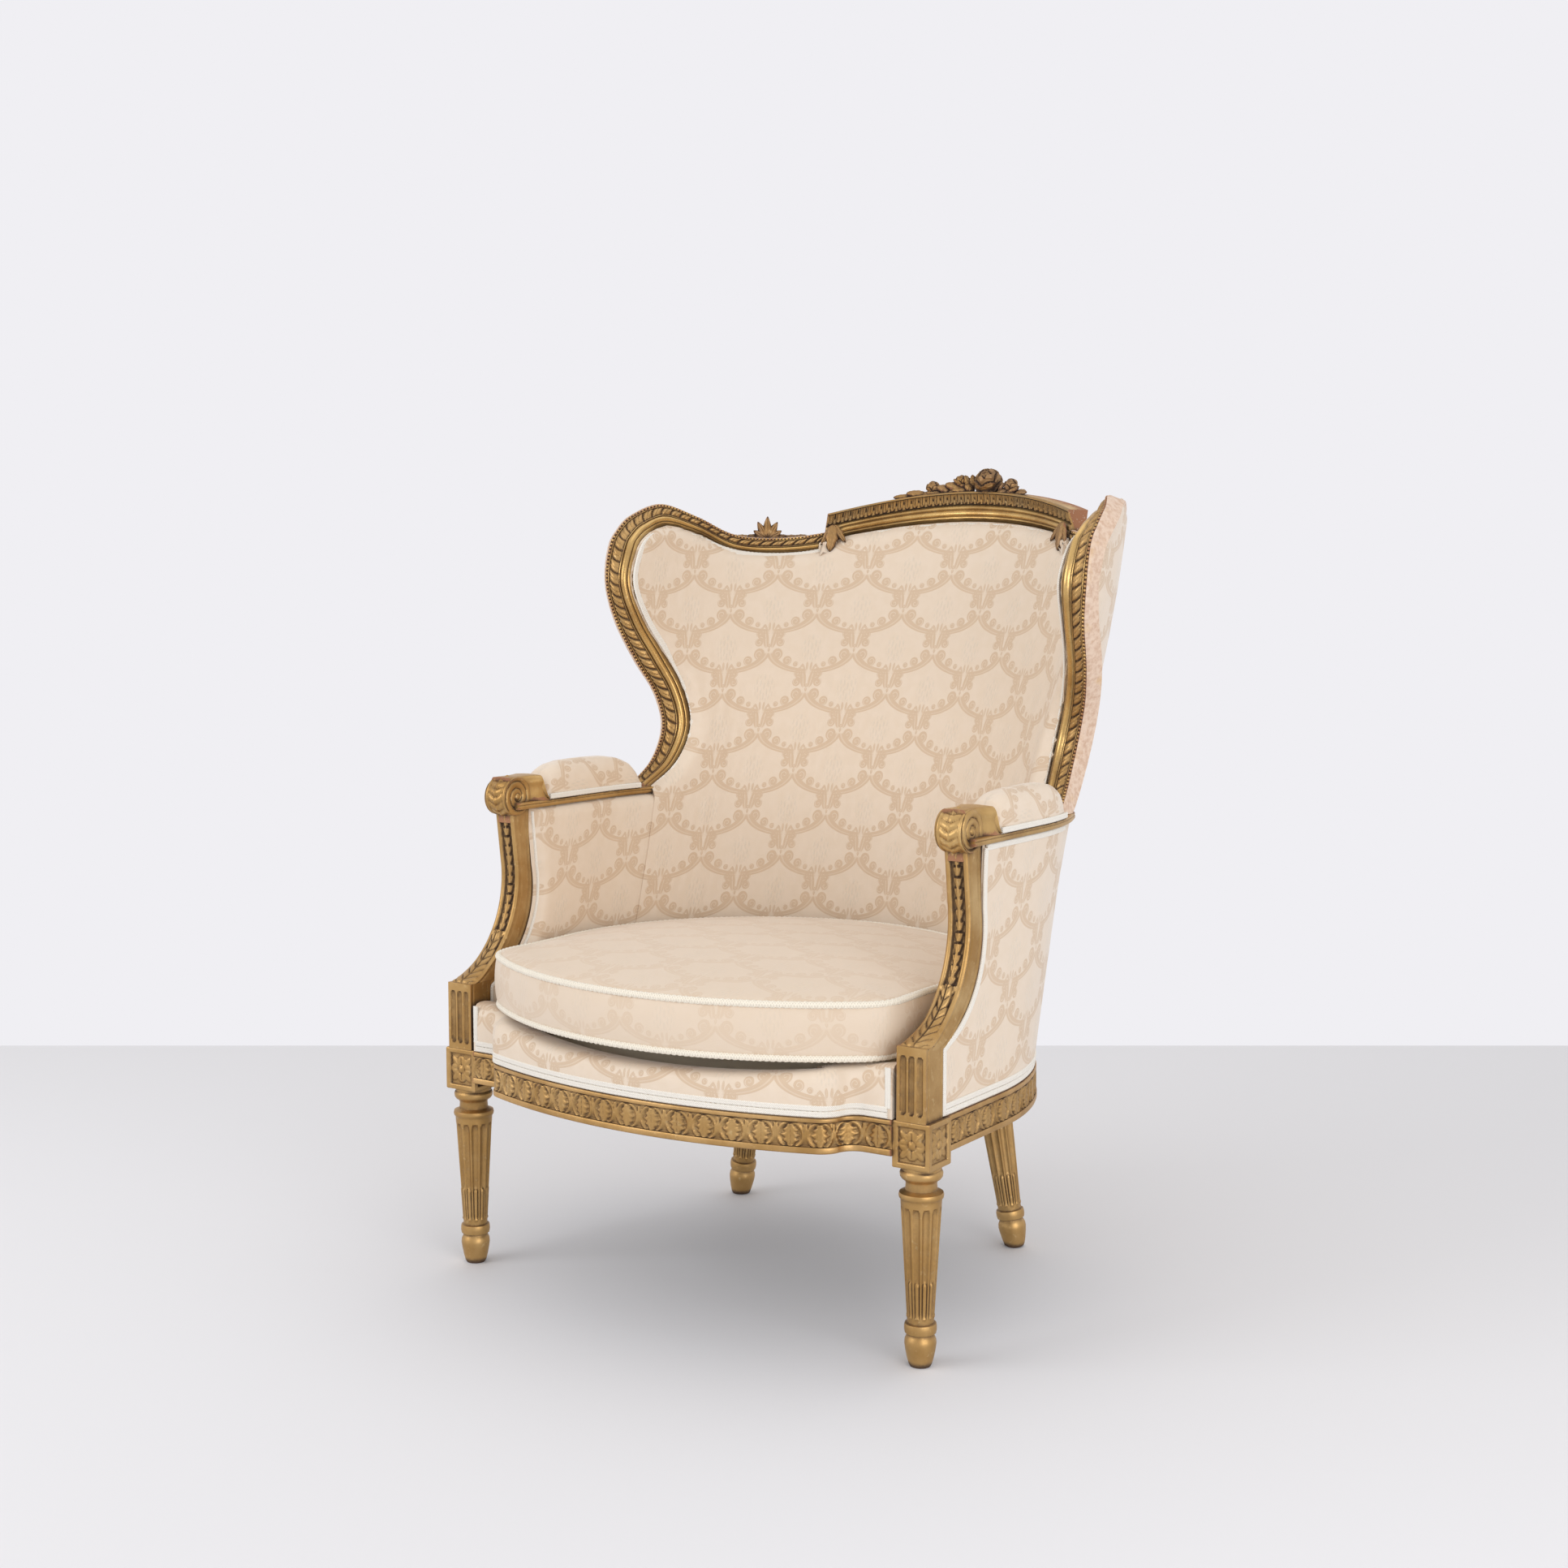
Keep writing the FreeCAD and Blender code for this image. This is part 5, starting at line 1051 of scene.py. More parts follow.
# %% Guide rows and wing sweep
WING_OUTER = [
    (15.5, 0, 8), (20.6, 34, 8), (22.3, 81, 8), (19.1, 129, 8), (12.4, 177, 8), (4.8, 236, 8), (0.9, 289, 4),
    (0.1, 338, 4), (2.0, 364, 4), (5.6, 386, 7), (12.5, 402, 20), (22.9, 384, 25), (33.8, 358, 25),
    (45.6, 354, 25), (55.5, 362, 25)
]
WING_INNER = [
    (17.8, 0, 40), (24.4, 30, 41), (27.5, 80, 41), (24.5, 132, 42), (17.9, 181, 45), (9.0, 234, 48),
    (2.3, 289, 49), (3.2, 336, 46), (5.0, 350, 43), (8.0, 360, 39), (14.0, 370, 31), (23.9, 358, 26),
    (34.3, 333, 26), (45.6, 329, 26), (55.5, 334, 26)
]
LAST_PLACE = len(WING_OUTER) - 1


def through(rows, place):
    """Smooth values between the rows, the same curve as the measured frame's."""
    rows = np.array(rows, float)
    index = np.clip(place.astype(int), 0, len(rows) - 2)
    t = (place - index)[:, None]
    before, here = rows[np.maximum(index - 1, 0)], rows[index]
    there, after = rows[index + 1], rows[np.minimum(index + 2, len(rows) - 1)]
    slope, end_slope = (there - before) / 2.0, (after - here) / 2.0
    bend = 3.0 * (there - here) - 2.0 * slope - end_slope
    twist = slope + end_slope - 2.0 * (there - here)
    return here + t * (slope + t * (bend + t * twist))


def wing_edge(rows, place):
    values = through(rows, place)
    return shell(values[:, 0], ARM_TOP + values[:, 1], values[:, 2])


def wing_guides(place):
    outer, inner = wing_edge(WING_OUTER, place), wing_edge(WING_INNER, place)
    across = inner - outer
    before, after = np.clip(place - 0.5, 0, LAST_PLACE), np.clip(place + 0.5, 0, LAST_PLACE)
    ahead = wing_edge(WING_OUTER, after) + wing_edge(WING_INNER, after)
    ahead -= wing_edge(WING_OUTER, before) + wing_edge(WING_INNER, before)
    ahead[place < 0.02] = (0.0, 0.0, 1.0)
    face = np.cross(ahead, across)
    return outer, across, face / np.linalg.norm(face, axis=1, keepdims=True)


def even_places(step):
    """Places that are evenly spaced along the middle of the wing, and their distances."""
    fine_places = np.linspace(0.0, LAST_PLACE, 1400)
    middle = (wing_edge(WING_OUTER, fine_places) + wing_edge(WING_INNER, fine_places)) / 2.0
    run = lengths(middle[None], 1)[0]
    count = int(run[-1] / step)
    far = np.linspace(0.0, run[-1], count + 1)
    return np.interp(far, run, fine_places), far


def running_leaf(u, v):
    """A chain of slanting curled leaves. u is millimetres along, v is 0 to 1 across the band."""
    pitch = 17.0
    slant = u / pitch + 0.55 * (v - 0.5) - 0.5 * (v - 0.5) ** 2
    s = np.mod(slant, 1.0)
    leaf = (0.25 + 0.75 * dome((s - 0.42) / 0.46)) * dome((v - 0.5) / 0.52) ** 0.7
    vein = 0.28 * ridge(s - 0.42, 0.06)
    lobes = 0.22 * np.abs(np.sin((u / pitch * 3.0 + v * 1.2) * math.pi)) * np.clip(np.abs(v - 0.5) * 2.4, 0, 1)
    return 4.6 * (leaf - vein - lobes)


WING_SECTION = [
    (0.0, -4.0, 2), (0.005, -1.6, 2), (0.03, -0.4, 2), (0.05, 0.8, 2), (0.07, 0.6, 2), (0.075, -0.4, 3),
    (0.09, -1.0, 3), (0.145, -1.0, 3), (0.16, -0.4, 3),
    (0.165, 1.0, 1), (0.175, 1.7, 1), (0.19, 1.7, 1), (0.2, 1.0, 1), (0.205, -0.2, 0),
]
WING_SECTION += [(mix(0.21, 0.535, step / 20.0), -0.4, 0) for step in range(21)]
WING_SECTION += [
    (0.54, 0.4, 1), (0.55, 1.5, 1), (0.57, 1.6, 1), (0.58, 0.4, 1), (0.59, -0.2, 1), (0.61, 1.8, 1),
    (0.64, 3.6, 1), (0.68, 4.8, 1), (0.72, 5.2, 1), (0.76, 4.6, 1),
    (0.8, 2.8, 1), (0.82, 1.0, 1), (0.83, 0.4, 1), (0.84, 1.2, 1), (0.86, 1.8, 1), (0.88, 1.4, 1),
    (0.9, 0.0, 1), (0.93, -1.6, 1), (0.96, -3.0, 1), (1.0, -5.0, 1),
]


WING_FINISH = [CARVED, BURNISHED, RUBBED]


def wing_piece():
    place, far = even_places(1.5)
    outer, across, face = wing_guides(place)
    share, height, zone = (np.array(column, float) for column in zip(*WING_SECTION))
    band_share = np.clip((share - 0.21) / 0.325, 0.0, 1.0)
    on_band = (share >= 0.209) & (share <= 0.536)
    carve = running_leaf(far[:, None], band_share[None]) * on_band[None]
    lift = height[None] + np.maximum(carve, 0.0)
    spots = outer[:, None] + across[:, None] * share[None, :, None] + face[:, None] * lift[..., None]
    depth = 21.7
    inner_back = (outer + across - face * depth)[:, None]
    outer_back = (outer - face * depth)[:, None]
    outer_mid = (outer - face * depth * 0.5)[:, None]
    spots = np.concatenate([spots, inner_back, outer_back, outer_mid, spots[:, :1]], 1)
    spots[0, :, 2] = ARM_TOP
    radius = np.hypot(spots[-1, :, 0], spots[-1, :, 1] - centre_y(spots[-1, :, 2]))
    spots[-1, :, 0] = radius * math.cos(math.radians(55.5))
    spots[-1, :, 1] = centre_y(spots[-1, :, 2]) + radius * math.sin(math.radians(55.5))
    zones = np.concatenate([zone[:-1], [1, 2, 2, 2]]).astype(int)
    zones[zones == 3] = 0
    spots[..., 2] = np.maximum(spots[..., 2], ARM_TOP)
    return laid("wing_frame_carved_right", spots, bands=zones, finishes=WING_FINISH, welded=True, capped=True)


def pearls():
    """Beads in the groove near the outer edge, one low bead copied along the wing."""
    place, far = even_places(5.2)
    outer, across, face = wing_guides(place)
    middle = outer + across * 0.117 - face * 0.3
    turn = np.linspace(0.0, 2.0 * math.pi, 9)
    rise = [(0.0, 2.4), (1.3, 2.2), (2.3, 1.3), (2.8, 0.02)]
    beads = []
    for spot, a, f in zip(middle[1:-1], across[1:-1], face[1:-1]):
        a = a / np.linalg.norm(a)
        b = np.cross(f, a)
        rows = [[spot + f * h + (a * math.cos(t) + b * math.sin(t)) * r for t in turn] for h, r in rise]
        beads.append(np.array(rows))
    spots = np.concatenate(beads, 0)
    piece = laid("pearls", spots)
    piece.data.materials.append(BURNISHED)
    rows_per = len(rise)
    bpy.ops.object.mode_set(mode="EDIT")
    bpy.ops.mesh.select_mode(type="FACE")
    bpy.ops.mesh.select_all(action="DESELECT")
    bpy.ops.object.mode_set(mode="OBJECT")
    per_row = len(turn) - 1
    for face_index, polygon in enumerate(piece.data.polygons):
        polygon.select = (face_index // per_row) % rows_per == rows_per - 1
    bpy.ops.object.mode_set(mode="EDIT")
    bpy.ops.mesh.delete(type="FACE")
    bpy.ops.mesh.select_mode(type="VERT")
    bpy.ops.object.mode_set(mode="OBJECT")
    weld(piece)
    return piece


wing_right = smooth(joined("wing_frame_carved_right", [wing_piece(), pearls()]), 45.0)
settle_pair(wing_right, None, "wing_frame")

# %% [markdown]
# ## Crest rail
# The crest arches over the back: a cornice of overlapping leaves hangs over plain polished
# mouldings, and hollow corners step down to the dips of the wings.

# %% Crest sweep
CREST_START = 55.5


def crest_lines(angle):
    reach = (half_width(1024.0) - 25.0) * np.cos(np.radians(angle))
    end = (half_width(1024.0) - 25.0) * math.cos(math.radians(CREST_START))
    sag = (reach / end) ** 2
    top = 1024.0 - 31.0 * sag
    corner = 1.0 - ease(((90.0 - CREST_START) - np.abs(90.0 - angle) - 0.6) / 4.4)
    return top, 980.0 - 31.0 * 0.85 * sag - 12.0 * corner


def cornice_leaf(s, t):
    """Overlapping tongues with a rib, s along one repeat and t from top to foot."""
    p = s - 0.5
    width = 0.5 * np.sqrt(np.clip(1.0 - t**1.8, 0.0, 1.0))
    tongue = 3.0 * dome(p / np.maximum(width, 0.02)) ** 0.7 - 1.3 * ridge(p, 0.06) * (t < 0.8) - 0.9 * ridge(np.abs(p) - 0.24, 0.05) * (t < 0.75)
    q = np.minimum(s, 1.0 - s)
    behind = 1.3 * dome(q / 0.22) * ease((t - 0.35) * 3.0)
    return np.maximum(tongue, behind)


def crest_piece():
    angle = np.linspace(CREST_START, 180.0 - CREST_START, 420)
    top, bottom = crest_lines(angle)
    repeats = 38
    s = np.mod((angle - angle[0]) / (angle[-1] - angle[0]) * repeats, 1.0)
    spots, zones = [], []

    def row(inset, z, zone):
        spots.append(shell(angle, z, inset))
        zones.append(zone)

    row(3.3 + 0 * angle, top, 2)
    row(30.0 + 0 * angle, top + 0.4, 0)
    row(34.0 + 0 * angle, top, 0)
    row(35.0 + 0 * angle, top - 1.4, 0)
    row(35.0 + 0 * angle, top - 2.6, 0)
    row(33.6 + 0 * angle, top - 3.4, 0)
    for step in range(15):
        t = step / 14.0
        row(mix(33.2, 27.0, t ** 0.7) + cornice_leaf(s, np.full_like(s, t)), top - mix(3.8, 18.0, t), 0)
    foot = top - 18.0
    for share, height, zone in (
        (0.04, 0.5, 1), (0.1, 2.6, 1), (0.16, 4.0, 1), (0.24, 4.4, 1), (0.3, 3.2, 1), (0.33, 2.4, 1),
        (0.36, 3.2, 1), (0.44, 5.2, 1), (0.52, 5.6, 1), (0.6, 4.4, 1), (0.64, 2.4, 1), (0.68, 1.0, 1),
        (0.72, 1.6, 1), (0.78, 1.4, 1), (0.84, -0.4, 1), (0.92, -3.0, 1), (1.0, -5.0, 1)
    ):
        row(25.0 + height + 0 * angle, foot + (bottom - foot) * share, zone)
    row(3.3 + 0 * angle, bottom, 2)
    spots.append(spots[0])
    grid = np.stack(spots, 1)
    return laid(
        "crest_rail_carved", grid, bands=np.array(zones), finishes=[DARK_CARVED, BURNISHED, OCHRE], welded=True,
        capped=True
    )


crest = smooth(crest_piece(), 45.0)
settle(crest, None, replaces=["crest_rail"])

# %% [markdown]
# ## Flowers on the crest and palmettes on the wings
# A spray of a rose, two buds, a small flower and leaves lies along the top of the cornice,
# and a palmette stands in the dip of each wing. A carver cuts them one leaf at a time,
# so there's one way to lay a leaf and one way to lay a ball of petals.

# %% Leaf, petals, spray and palmette
def carved_leaf(foot, tip, normal, width, lobes=4.0, curl=2.0):
    """A ridged leaf from its foot to its tip, closed underneath."""
    foot, tip, normal = (np.array(p, float) for p in (foot, tip, normal))
    ahead = tip - foot
    normal = normal - ahead * (normal @ ahead) / (ahead @ ahead)
    normal /= np.linalg.norm(normal)
    side = np.cross(normal, ahead)
    side /= np.linalg.norm(side)
    s, v = np.linspace(0.0, 1.0, 20)[:, None], np.linspace(-1.0, 1.0, 13)[None]
    half = width / 2 * np.sin(math.pi * s**0.8) ** 0.7 * (0.78 + 0.22 * np.abs(np.sin(s * math.pi * lobes))) + 0.15
    height = (0.28 * width) * dome(v) * np.sin(math.pi * s) ** 0.5 - 1.0 * ridge(v, 0.13) + curl * s**2
    height = height - 0.7 * ridge(np.mod(s * lobes * 2.0 - np.abs(v), 1.0) - 0.5, 0.2) * (np.abs(v) > 0.15)
    top = foot + ahead * s[..., None] + side * (half * v)[..., None] + normal * height[..., None]
    under = foot + ahead * s[..., None] + side * (half * v[:, ::-1])[..., None] + normal * (curl * s**2 - 1.6 + 0.0 * v)[..., None]
    return laid("leaf", np.concatenate([top, under, top[:, :1]], 1), welded=True, capped=True)


def petal_ball(centre, radius, petals, layers, lean, depth=0.24):
    """A ball of overlapping petals with its crown leaning over."""
    rise, turn = np.linspace(0.02, 2.5, 44)[:, None], np.linspace(0.0, 2.0 * math.pi, 73)[None]
    layer = rise / 2.5 * layers + 0.42 * np.abs(np.sin(turn * petals / 2.0 + np.floor(rise / 2.5 * layers) * 1.1))
    edge = np.mod(layer, 1.0)
    reach = radius * (1.0 - depth * edge**1.6 * np.sin(rise * 1.1 + 0.2) - 0.05 * ridge(edge - 0.55, 0.1))
    spots = np.stack(
        [reach * np.sin(rise) * np.cos(turn), reach * np.sin(rise) * np.sin(turn), reach * np.cos(rise) + 0.0 * turn],
        -1
    )
    c, k = math.cos(lean), math.sin(lean)
    turned = np.stack(
        [spots[..., 0], spots[..., 1] * c - spots[..., 2] * k, spots[..., 1] * k + spots[..., 2] * c], -1
    )
    return laid("petals", turned + np.array(centre), welded=True, capped=True)


def on_crest(x, lift, inset=24.0):
    angle = math.degrees(math.acos(x / (half_width(1024.0) - 25.0)))
    return shell(angle, float(crest_lines(np.array([angle]))[0][0]) + lift, inset)


SPRAY_LEAVES = [
    (-92, 1, -118, 2, 9), (-72, 2, -100, 5, 11), (-80, 0, -60, 1, 9), (-44, 3, -70, 1, 11),
    (-30, 3, -56, 9, 12), (-36, 1, -24, 1, 10), (-12, 4, -42, 12, 13), (-4, 3, -30, 2, 12),
    (-2, 5, -12, 24, 9), (2, 5, 1, 25, 9), (-6, 8, -30, 18, 9), (4, 2, -10, 8, 11), (46, 3, 60, 12, 10),
    (44, 1, 66, 1, 12), (58, 2, 84, 6, 11), (74, 2, 103, 3, 10), (84, 0, 66, 0, 9), (10, 2, 22, 0, 10),
]
SPRAY_BALLS = [(-62, 9, 11.0, 5, 2.0), (-19, 16, 9.4, 6, 2.0), (27, 13, 21.5, 5, 4.2), (68, 10, 11.5, 5, 2.2)]


def spray():
    pieces = [
        carved_leaf(on_crest(a, la, 21.0), on_crest(b, lb, 29.0), (0.0, -0.6, 0.8), w * 1.5) for a, la, b, lb,
        w in SPRAY_LEAVES
    ]
    for angle, way in ((57.2, 1.0), (122.8, -1.0)):
        inward = np.array([-math.cos(math.radians(angle)), -math.sin(math.radians(angle)), 0.1])
        for end, low, inset, width in (
            (angle, 936.0, 34.0, 21.0), (angle + way * 3.6, 950.0, 35.0, 11.0),
            (angle - way * 2.4, 946.0, 33.0, 10.0)
        ):
            pieces.append(
                carved_leaf(shell(angle, 977.0, 35.5), shell(end, low, inset), inward, width, lobes=3.0, curl=2.5)
            )
    pieces += [
        petal_ball(on_crest(x, lift), radius, petals, layers, 0.75) for x, lift, radius, petals,
        layers in SPRAY_BALLS
    ]
    return joined("crest_flowers_carved", pieces)


def palmette():
    psi = math.radians(42.0)
    inward, side, up = np.array(
        [-math.cos(psi), -math.sin(psi), 0.0]
    ), np.array([-math.sin(psi), math.cos(psi), 0.0]), np.array([0.0, 0.0, 1.0])
    foot = shell(42.0, ARM_TOP + 351.0, 17.0)
    pieces = []
    for degrees, length in ((-86, 20), (-60, 25), (-31, 30), (0, 34), (31, 30), (60, 25), (86, 20)):
        way = side * math.sin(math.radians(degrees)) + up * math.cos(math.radians(degrees))
        pieces.append(
            carved_leaf(
                foot + inward * 2.0, foot + inward * 2.0 + way * length, inward * 0.95 + up * 0.2, 12.5,
                lobes=1.0, curl=3.0
            )
        )
    for sign in (-1.0, 1.0):
        for start, end, lift in ((4, 30, 5), (22, 48, 4), (38, 62, 5)):
            pieces.append(
                carved_leaf(
                    foot + side * sign * start + up * 1.0, foot + side * sign * end + up * lift,
                    inward * 0.7 + up * 0.7, 11.5, curl=1.5
                )
            )
    return joined("wing_palmette_carved_right", pieces)


flowers = smooth(spray(), 50.0)
settle(flowers, [FLOWERS], replaces=["crest_carving"])
settle_pair(smooth(palmette(), 50.0), [FLOWERS], "wing_palmette")

# %% [markdown]
# ## Upholstered panels
# The lining of the back is stuffed and stitched, flat in the middle and rolling down into
# the frame along its edges. Each panel is a grid stretched between four edge lines, as a
# fitter stretches cloth between four rails, and then pushed out to the stuffing's depth.

# %% Stretched panels
PAD_LEVELS = np.array([292.0, 440.0, 604.0, 710.0, 810.0, 890.0, 940.0, 1010.0])
PAD_SEAM = np.array([52.0, 58.0, 60.0, 57.0, 50.0, 40.0, 33.0, 30.0])
PAD_MIDDLE = np.array([56.0, 66.0, 70.0, 64.0, 56.0, 46.0, 38.0, 32.0])


def stuffing(angle, z):
    """Inset of the lining's face from the outside fabric."""
    seam, middle = np.interp(z, PAD_LEVELS, PAD_SEAM), np.interp(z, PAD_LEVELS, PAD_MIDDLE)
    from_back = np.abs(np.asarray(angle) - 90.0)
    back = seam + (middle - seam) * np.clip(1.0 - (from_back / 52.0) ** 2, 0.0, 1.0)
    side = 47.0 + (seam - 47.0) * ease((90.0 - from_back) / 38.0)
    return np.where(from_back < 52.0, back, side)


def even_line(points, count):
    run = lengths(points[None], 1)[0]
    far = np.linspace(0.0, run[-1], count)
    return np.stack([np.interp(far, run, points[:, i]) for i in range(points.shape[1])], -1)


def stretched(left, right, bottom, top):
    """Grid between four edge lines, each an array of plan angle and height."""
    v = np.linspace(0.0, 1.0, len(left))[:, None, None]
    u = np.linspace(0.0, 1.0, len(bottom))[None, :, None]
    sides = (1 - u) * left[:, None] + u * right[:, None] + (1 - v) * bottom[None] + v * top[None]
    corners = (1 - u) * (1 - v) * left[0] + u * (1 - v) * right[0] + (1 - u) * v * left[-1] + u * v * right[-1]
    return sides - corners


def from_edge(grid, edges, radius=330.0):
    """Distance in millimetres of each grid place from the nearest point of the edge lines."""
    scale = np.array([math.pi / 180.0 * radius, 1.0])
    flat, line = (grid * scale).reshape(-1, 2), even_line(np.concatenate(edges) * scale, 700)
    best = np.full(len(flat), 1e9)
    for start in range(0, len(line), 50):
        gap = np.linalg.norm(flat[:, None] - line[None, start : start + 50], axis=-1)
        best = np.minimum(best, gap.min(1))
    return best.reshape(grid.shape[:2])


def flat_places(grid, radius=330.0):
    return np.stack([(grid[..., 0] - 90.0) * math.pi / 180.0 * radius, grid[..., 1]], -1)


def mirror_line(line):
    return np.stack([180.0 - line[:, 0], line[:, 1]], -1)


def console_back(z):
    """How far back the fabric's front edge is at a height, behind the post and the console."""
    low = arc_through((14.0, 370.0), (82.5, 416.0), (107.0, 517.5), 60)
    line = np.concatenate([[[14.0, 280.0]], low, [[103.5, 577.0], [103.5, 610.0]]])
    return np.interp(z, line[:, 1], line[:, 0])


def front_angle(z, inset):
    return np.degrees((console_back(z) - centre_y(z)) / (half_width(z) - inset))


wing_rows = np.array([row for row in even_places(6.0)[0]])
inner_line = through(WING_INNER, wing_rows)
turn_place = int(np.argmax(inner_line[:, 1] * (wing_rows < 11.0)))
inner_path = np.stack([inner_line[:, 0], ARM_TOP + inner_line[:, 1]], -1)
crest_angles = np.linspace(CREST_START, 180.0 - CREST_START, 40)
crest_path = np.stack([crest_angles, crest_lines(crest_angles)[1]], -1)
upright_seam = np.stack([np.full(12, 17.8), np.linspace(300.0, 603.0, 12)], -1)
side_path = even_line(np.concatenate([upright_seam, inner_path[: turn_place + 1]]), 110)
top_path = even_line(
    np.concatenate([inner_path[turn_place:], crest_path[1:-1], mirror_line(inner_path[turn_place:])[::-1]]), 150
)
bottom_path = np.stack([np.linspace(17.8, 162.2, 150), np.full(150, 300.0)], -1)
wood_edge = [inner_path, crest_path[1:-1], mirror_line(inner_path)[::-1]]


def wood_inset(angle, z):
    """Inset of the wood's inner edge nearest to a place."""
    close_line = through(WING_INNER, even_places(1.0)[0])
    near = np.abs(np.asarray(angle) - 90.0)
    best, value = np.full(near.shape, 1e9), np.full(near.shape, 26.0)
    for a, h, inset in close_line:
        gap = (near - (90.0 - a)) ** 2 * 33.0 + (z - ARM_TOP - h) ** 2
        value = np.where(gap < best, inset, value)
        best = np.minimum(best, gap)
    return value


def back_lining():
    grid = stretched(side_path, mirror_line(side_path), bottom_path, top_path)
    angle, z = grid[..., 0], grid[..., 1]
    gap = from_edge(grid, wood_edge)
    roll = dome(1.0 - np.clip(gap / 17.0, 0.0, 1.0))
    tucked = wood_inset(angle, z) - 4.0
    inset = mix(tucked, stuffing(angle, z) + 3.0 * roll, roll)
    ripple = 0.5 * np.sin(angle * 1.9 + z * 0.021) * np.sin(z * 0.047 + angle * 0.3) * roll
    inset = inset + ripple + 1.4 * ease((z - 300.0) / 60.0) * ease((700.0 - z) / 300.0)
    return laid("back_lining", shell(angle, z, inset)[:, ::-1], uv=flat_places(grid)[:, ::-1])


def arm_lining():
    z = np.linspace(300.0, 597.0, 50)
    t = np.linspace(0.0, 1.0, 44)
    start = front_angle(z, 40.0)
    angle = mix(start[:, None], 20.4, t[None])
    z2 = z[:, None] + 0.0 * angle
    gap = np.minimum((angle - start[:, None]) * 5.4, 597.0 - z2)
    roll = dome(1.0 - np.clip(gap / 16.0, 0.0, 1.0))
    inset = mix(34.0, stuffing(angle, z2) + 2.6, roll) - 1.5 * ease((angle - 17.0) / 3.0)
    uv = flat_places(np.stack([angle, z2], -1))
    return laid("arm_lining_right", shell(angle, z2, inset)[:, ::-1], uv=uv[:, ::-1])


def thick(piece, millimetres, toward_inside=True):
    """Give a laid sheet its thickness behind the face, keeping the face where it is."""
    alone(piece)
    bpy.ops.object.modifier_add(type="SOLIDIFY")
    wall = piece.modifiers[-1]
    wall.thickness = millimetres / 1000.0
    wall.offset = -1.0 if toward_inside else 1.0
    bpy.ops.object.modifier_apply(modifier=wall.name)
    return piece


def facing(piece, direction):
    """Turn a sheet's faces over if they look away from a direction, given at their middle."""
    normals = np.array([p.normal for p in piece.data.polygons])
    centres = np.array([p.center for p in piece.data.polygons])
    wanted = direction(centres)
    if (normals * wanted).sum() < 0.0:
        alone(piece)
        bpy.ops.object.mode_set(mode="EDIT")
        bpy.ops.mesh.select_all(action="SELECT")
        bpy.ops.mesh.flip_normals()
        bpy.ops.object.mode_set(mode="OBJECT")
    return piece


def inwards(centres):
    middle = np.array([0.0, (centre_y(600.0) + SHIFT_Y) / 1000.0, 0.6])
    way = (middle - centres) * [1.0, 1.0, 0.0]
    return way / np.linalg.norm(way, axis=1, keepdims=True)


def outwards(centres):
    return -inwards(centres)


lining = smooth(thick(facing(back_lining(), inwards), 12.0), 60.0)
arm_lining_right = smooth(thick(facing(arm_lining(), inwards), 12.0), 60.0)
settle(lining, [DAMASK], replaces=["inner_back_pad"])
arm_lining_left = settle_pair(arm_lining_right, [DAMASK], "inner_side_pad")

# %% [markdown]
# The outside of the shell is one thin cloth, stretched over the frame and tacked under the
# arm, behind the wing's moulding, under the crest and along the seat rail.

# %% Outside covers
behind = wing_guides(wing_rows)
behind = behind[0] - behind[2] * 13.0
outer_angle = np.degrees(np.arctan2(behind[:, 1] - centre_y(behind[:, 2]), behind[:, 0]))
outer_path = np.stack([outer_angle, behind[:, 2]], -1)
outer_turn = int(np.argmax(outer_path[:, 1] * (wing_rows < 11.5)))
outer_seam = np.stack([np.full(12, outer_path[0, 0]), np.linspace(290.5, 603.0, 12)], -1)
outer_side = even_line(np.concatenate([outer_seam, outer_path[: outer_turn + 1]]), 90)
outer_top = even_line(
    np.concatenate(
        [outer_path[outer_turn:], crest_path[1:-1] + [0.0, 1.0], mirror_line(outer_path[outer_turn:])[::-1]]
    ),
    150
)
outer_start = outer_path[0, 0]
outer_bottom = np.stack([np.linspace(outer_start, 180.0 - outer_start, 150), np.full(150, 290.5)], -1)


def back_cover():
    grid = stretched(outer_side, mirror_line(outer_side), outer_bottom, outer_top)
    angle, z = grid[..., 0], grid[..., 1]
    gap = from_edge(grid, [outer_path, crest_path[1:-1], mirror_line(outer_path)[::-1]])
    inset = mix(6.0, 0.6, dome(1.0 - np.clip(gap / 14.0, 0.0, 1.0)))
    return laid("back_cover", shell(angle, z, inset), uv=flat_places(grid, 360.0))


def arm_cover():
    z = np.linspace(290.5, 594.8, 40)
    start = front_angle(z, 1.0)
    angle = mix(start[:, None], outer_start, np.linspace(0.0, 1.0, 40)[None])
    z2 = z[:, None] + 0.0 * angle
    gap = np.minimum((angle - start[:, None]) * 6.2, np.minimum(594.8 - z2, 1e9))
    inset = mix(4.0, 0.6, dome(1.0 - np.clip(gap / 8.0, 0.0, 1.0)))
    return laid("arm_cover_right", shell(angle, z2, inset), uv=flat_places(np.stack([angle, z2], -1), 360.0))


cover_back = facing(back_cover(), outwards)
cover_back = smooth(thick(cover_back, 1.6), 60.0)
cover_arm = facing(arm_cover(), outwards)
cover_arm_right = smooth(thick(cover_arm, 1.6), 60.0)
settle(cover_back, [DAMASK], replaces=["outer_back_cover"])
cover_arm_left = settle_pair(cover_arm_right, [DAMASK], "outer_side_cover")

# %% [markdown]
# ## Seat front
# A stuffed roll stands on the bowed front rail. Its top edge dips towards the middle, and
# rolls back under the cushion.

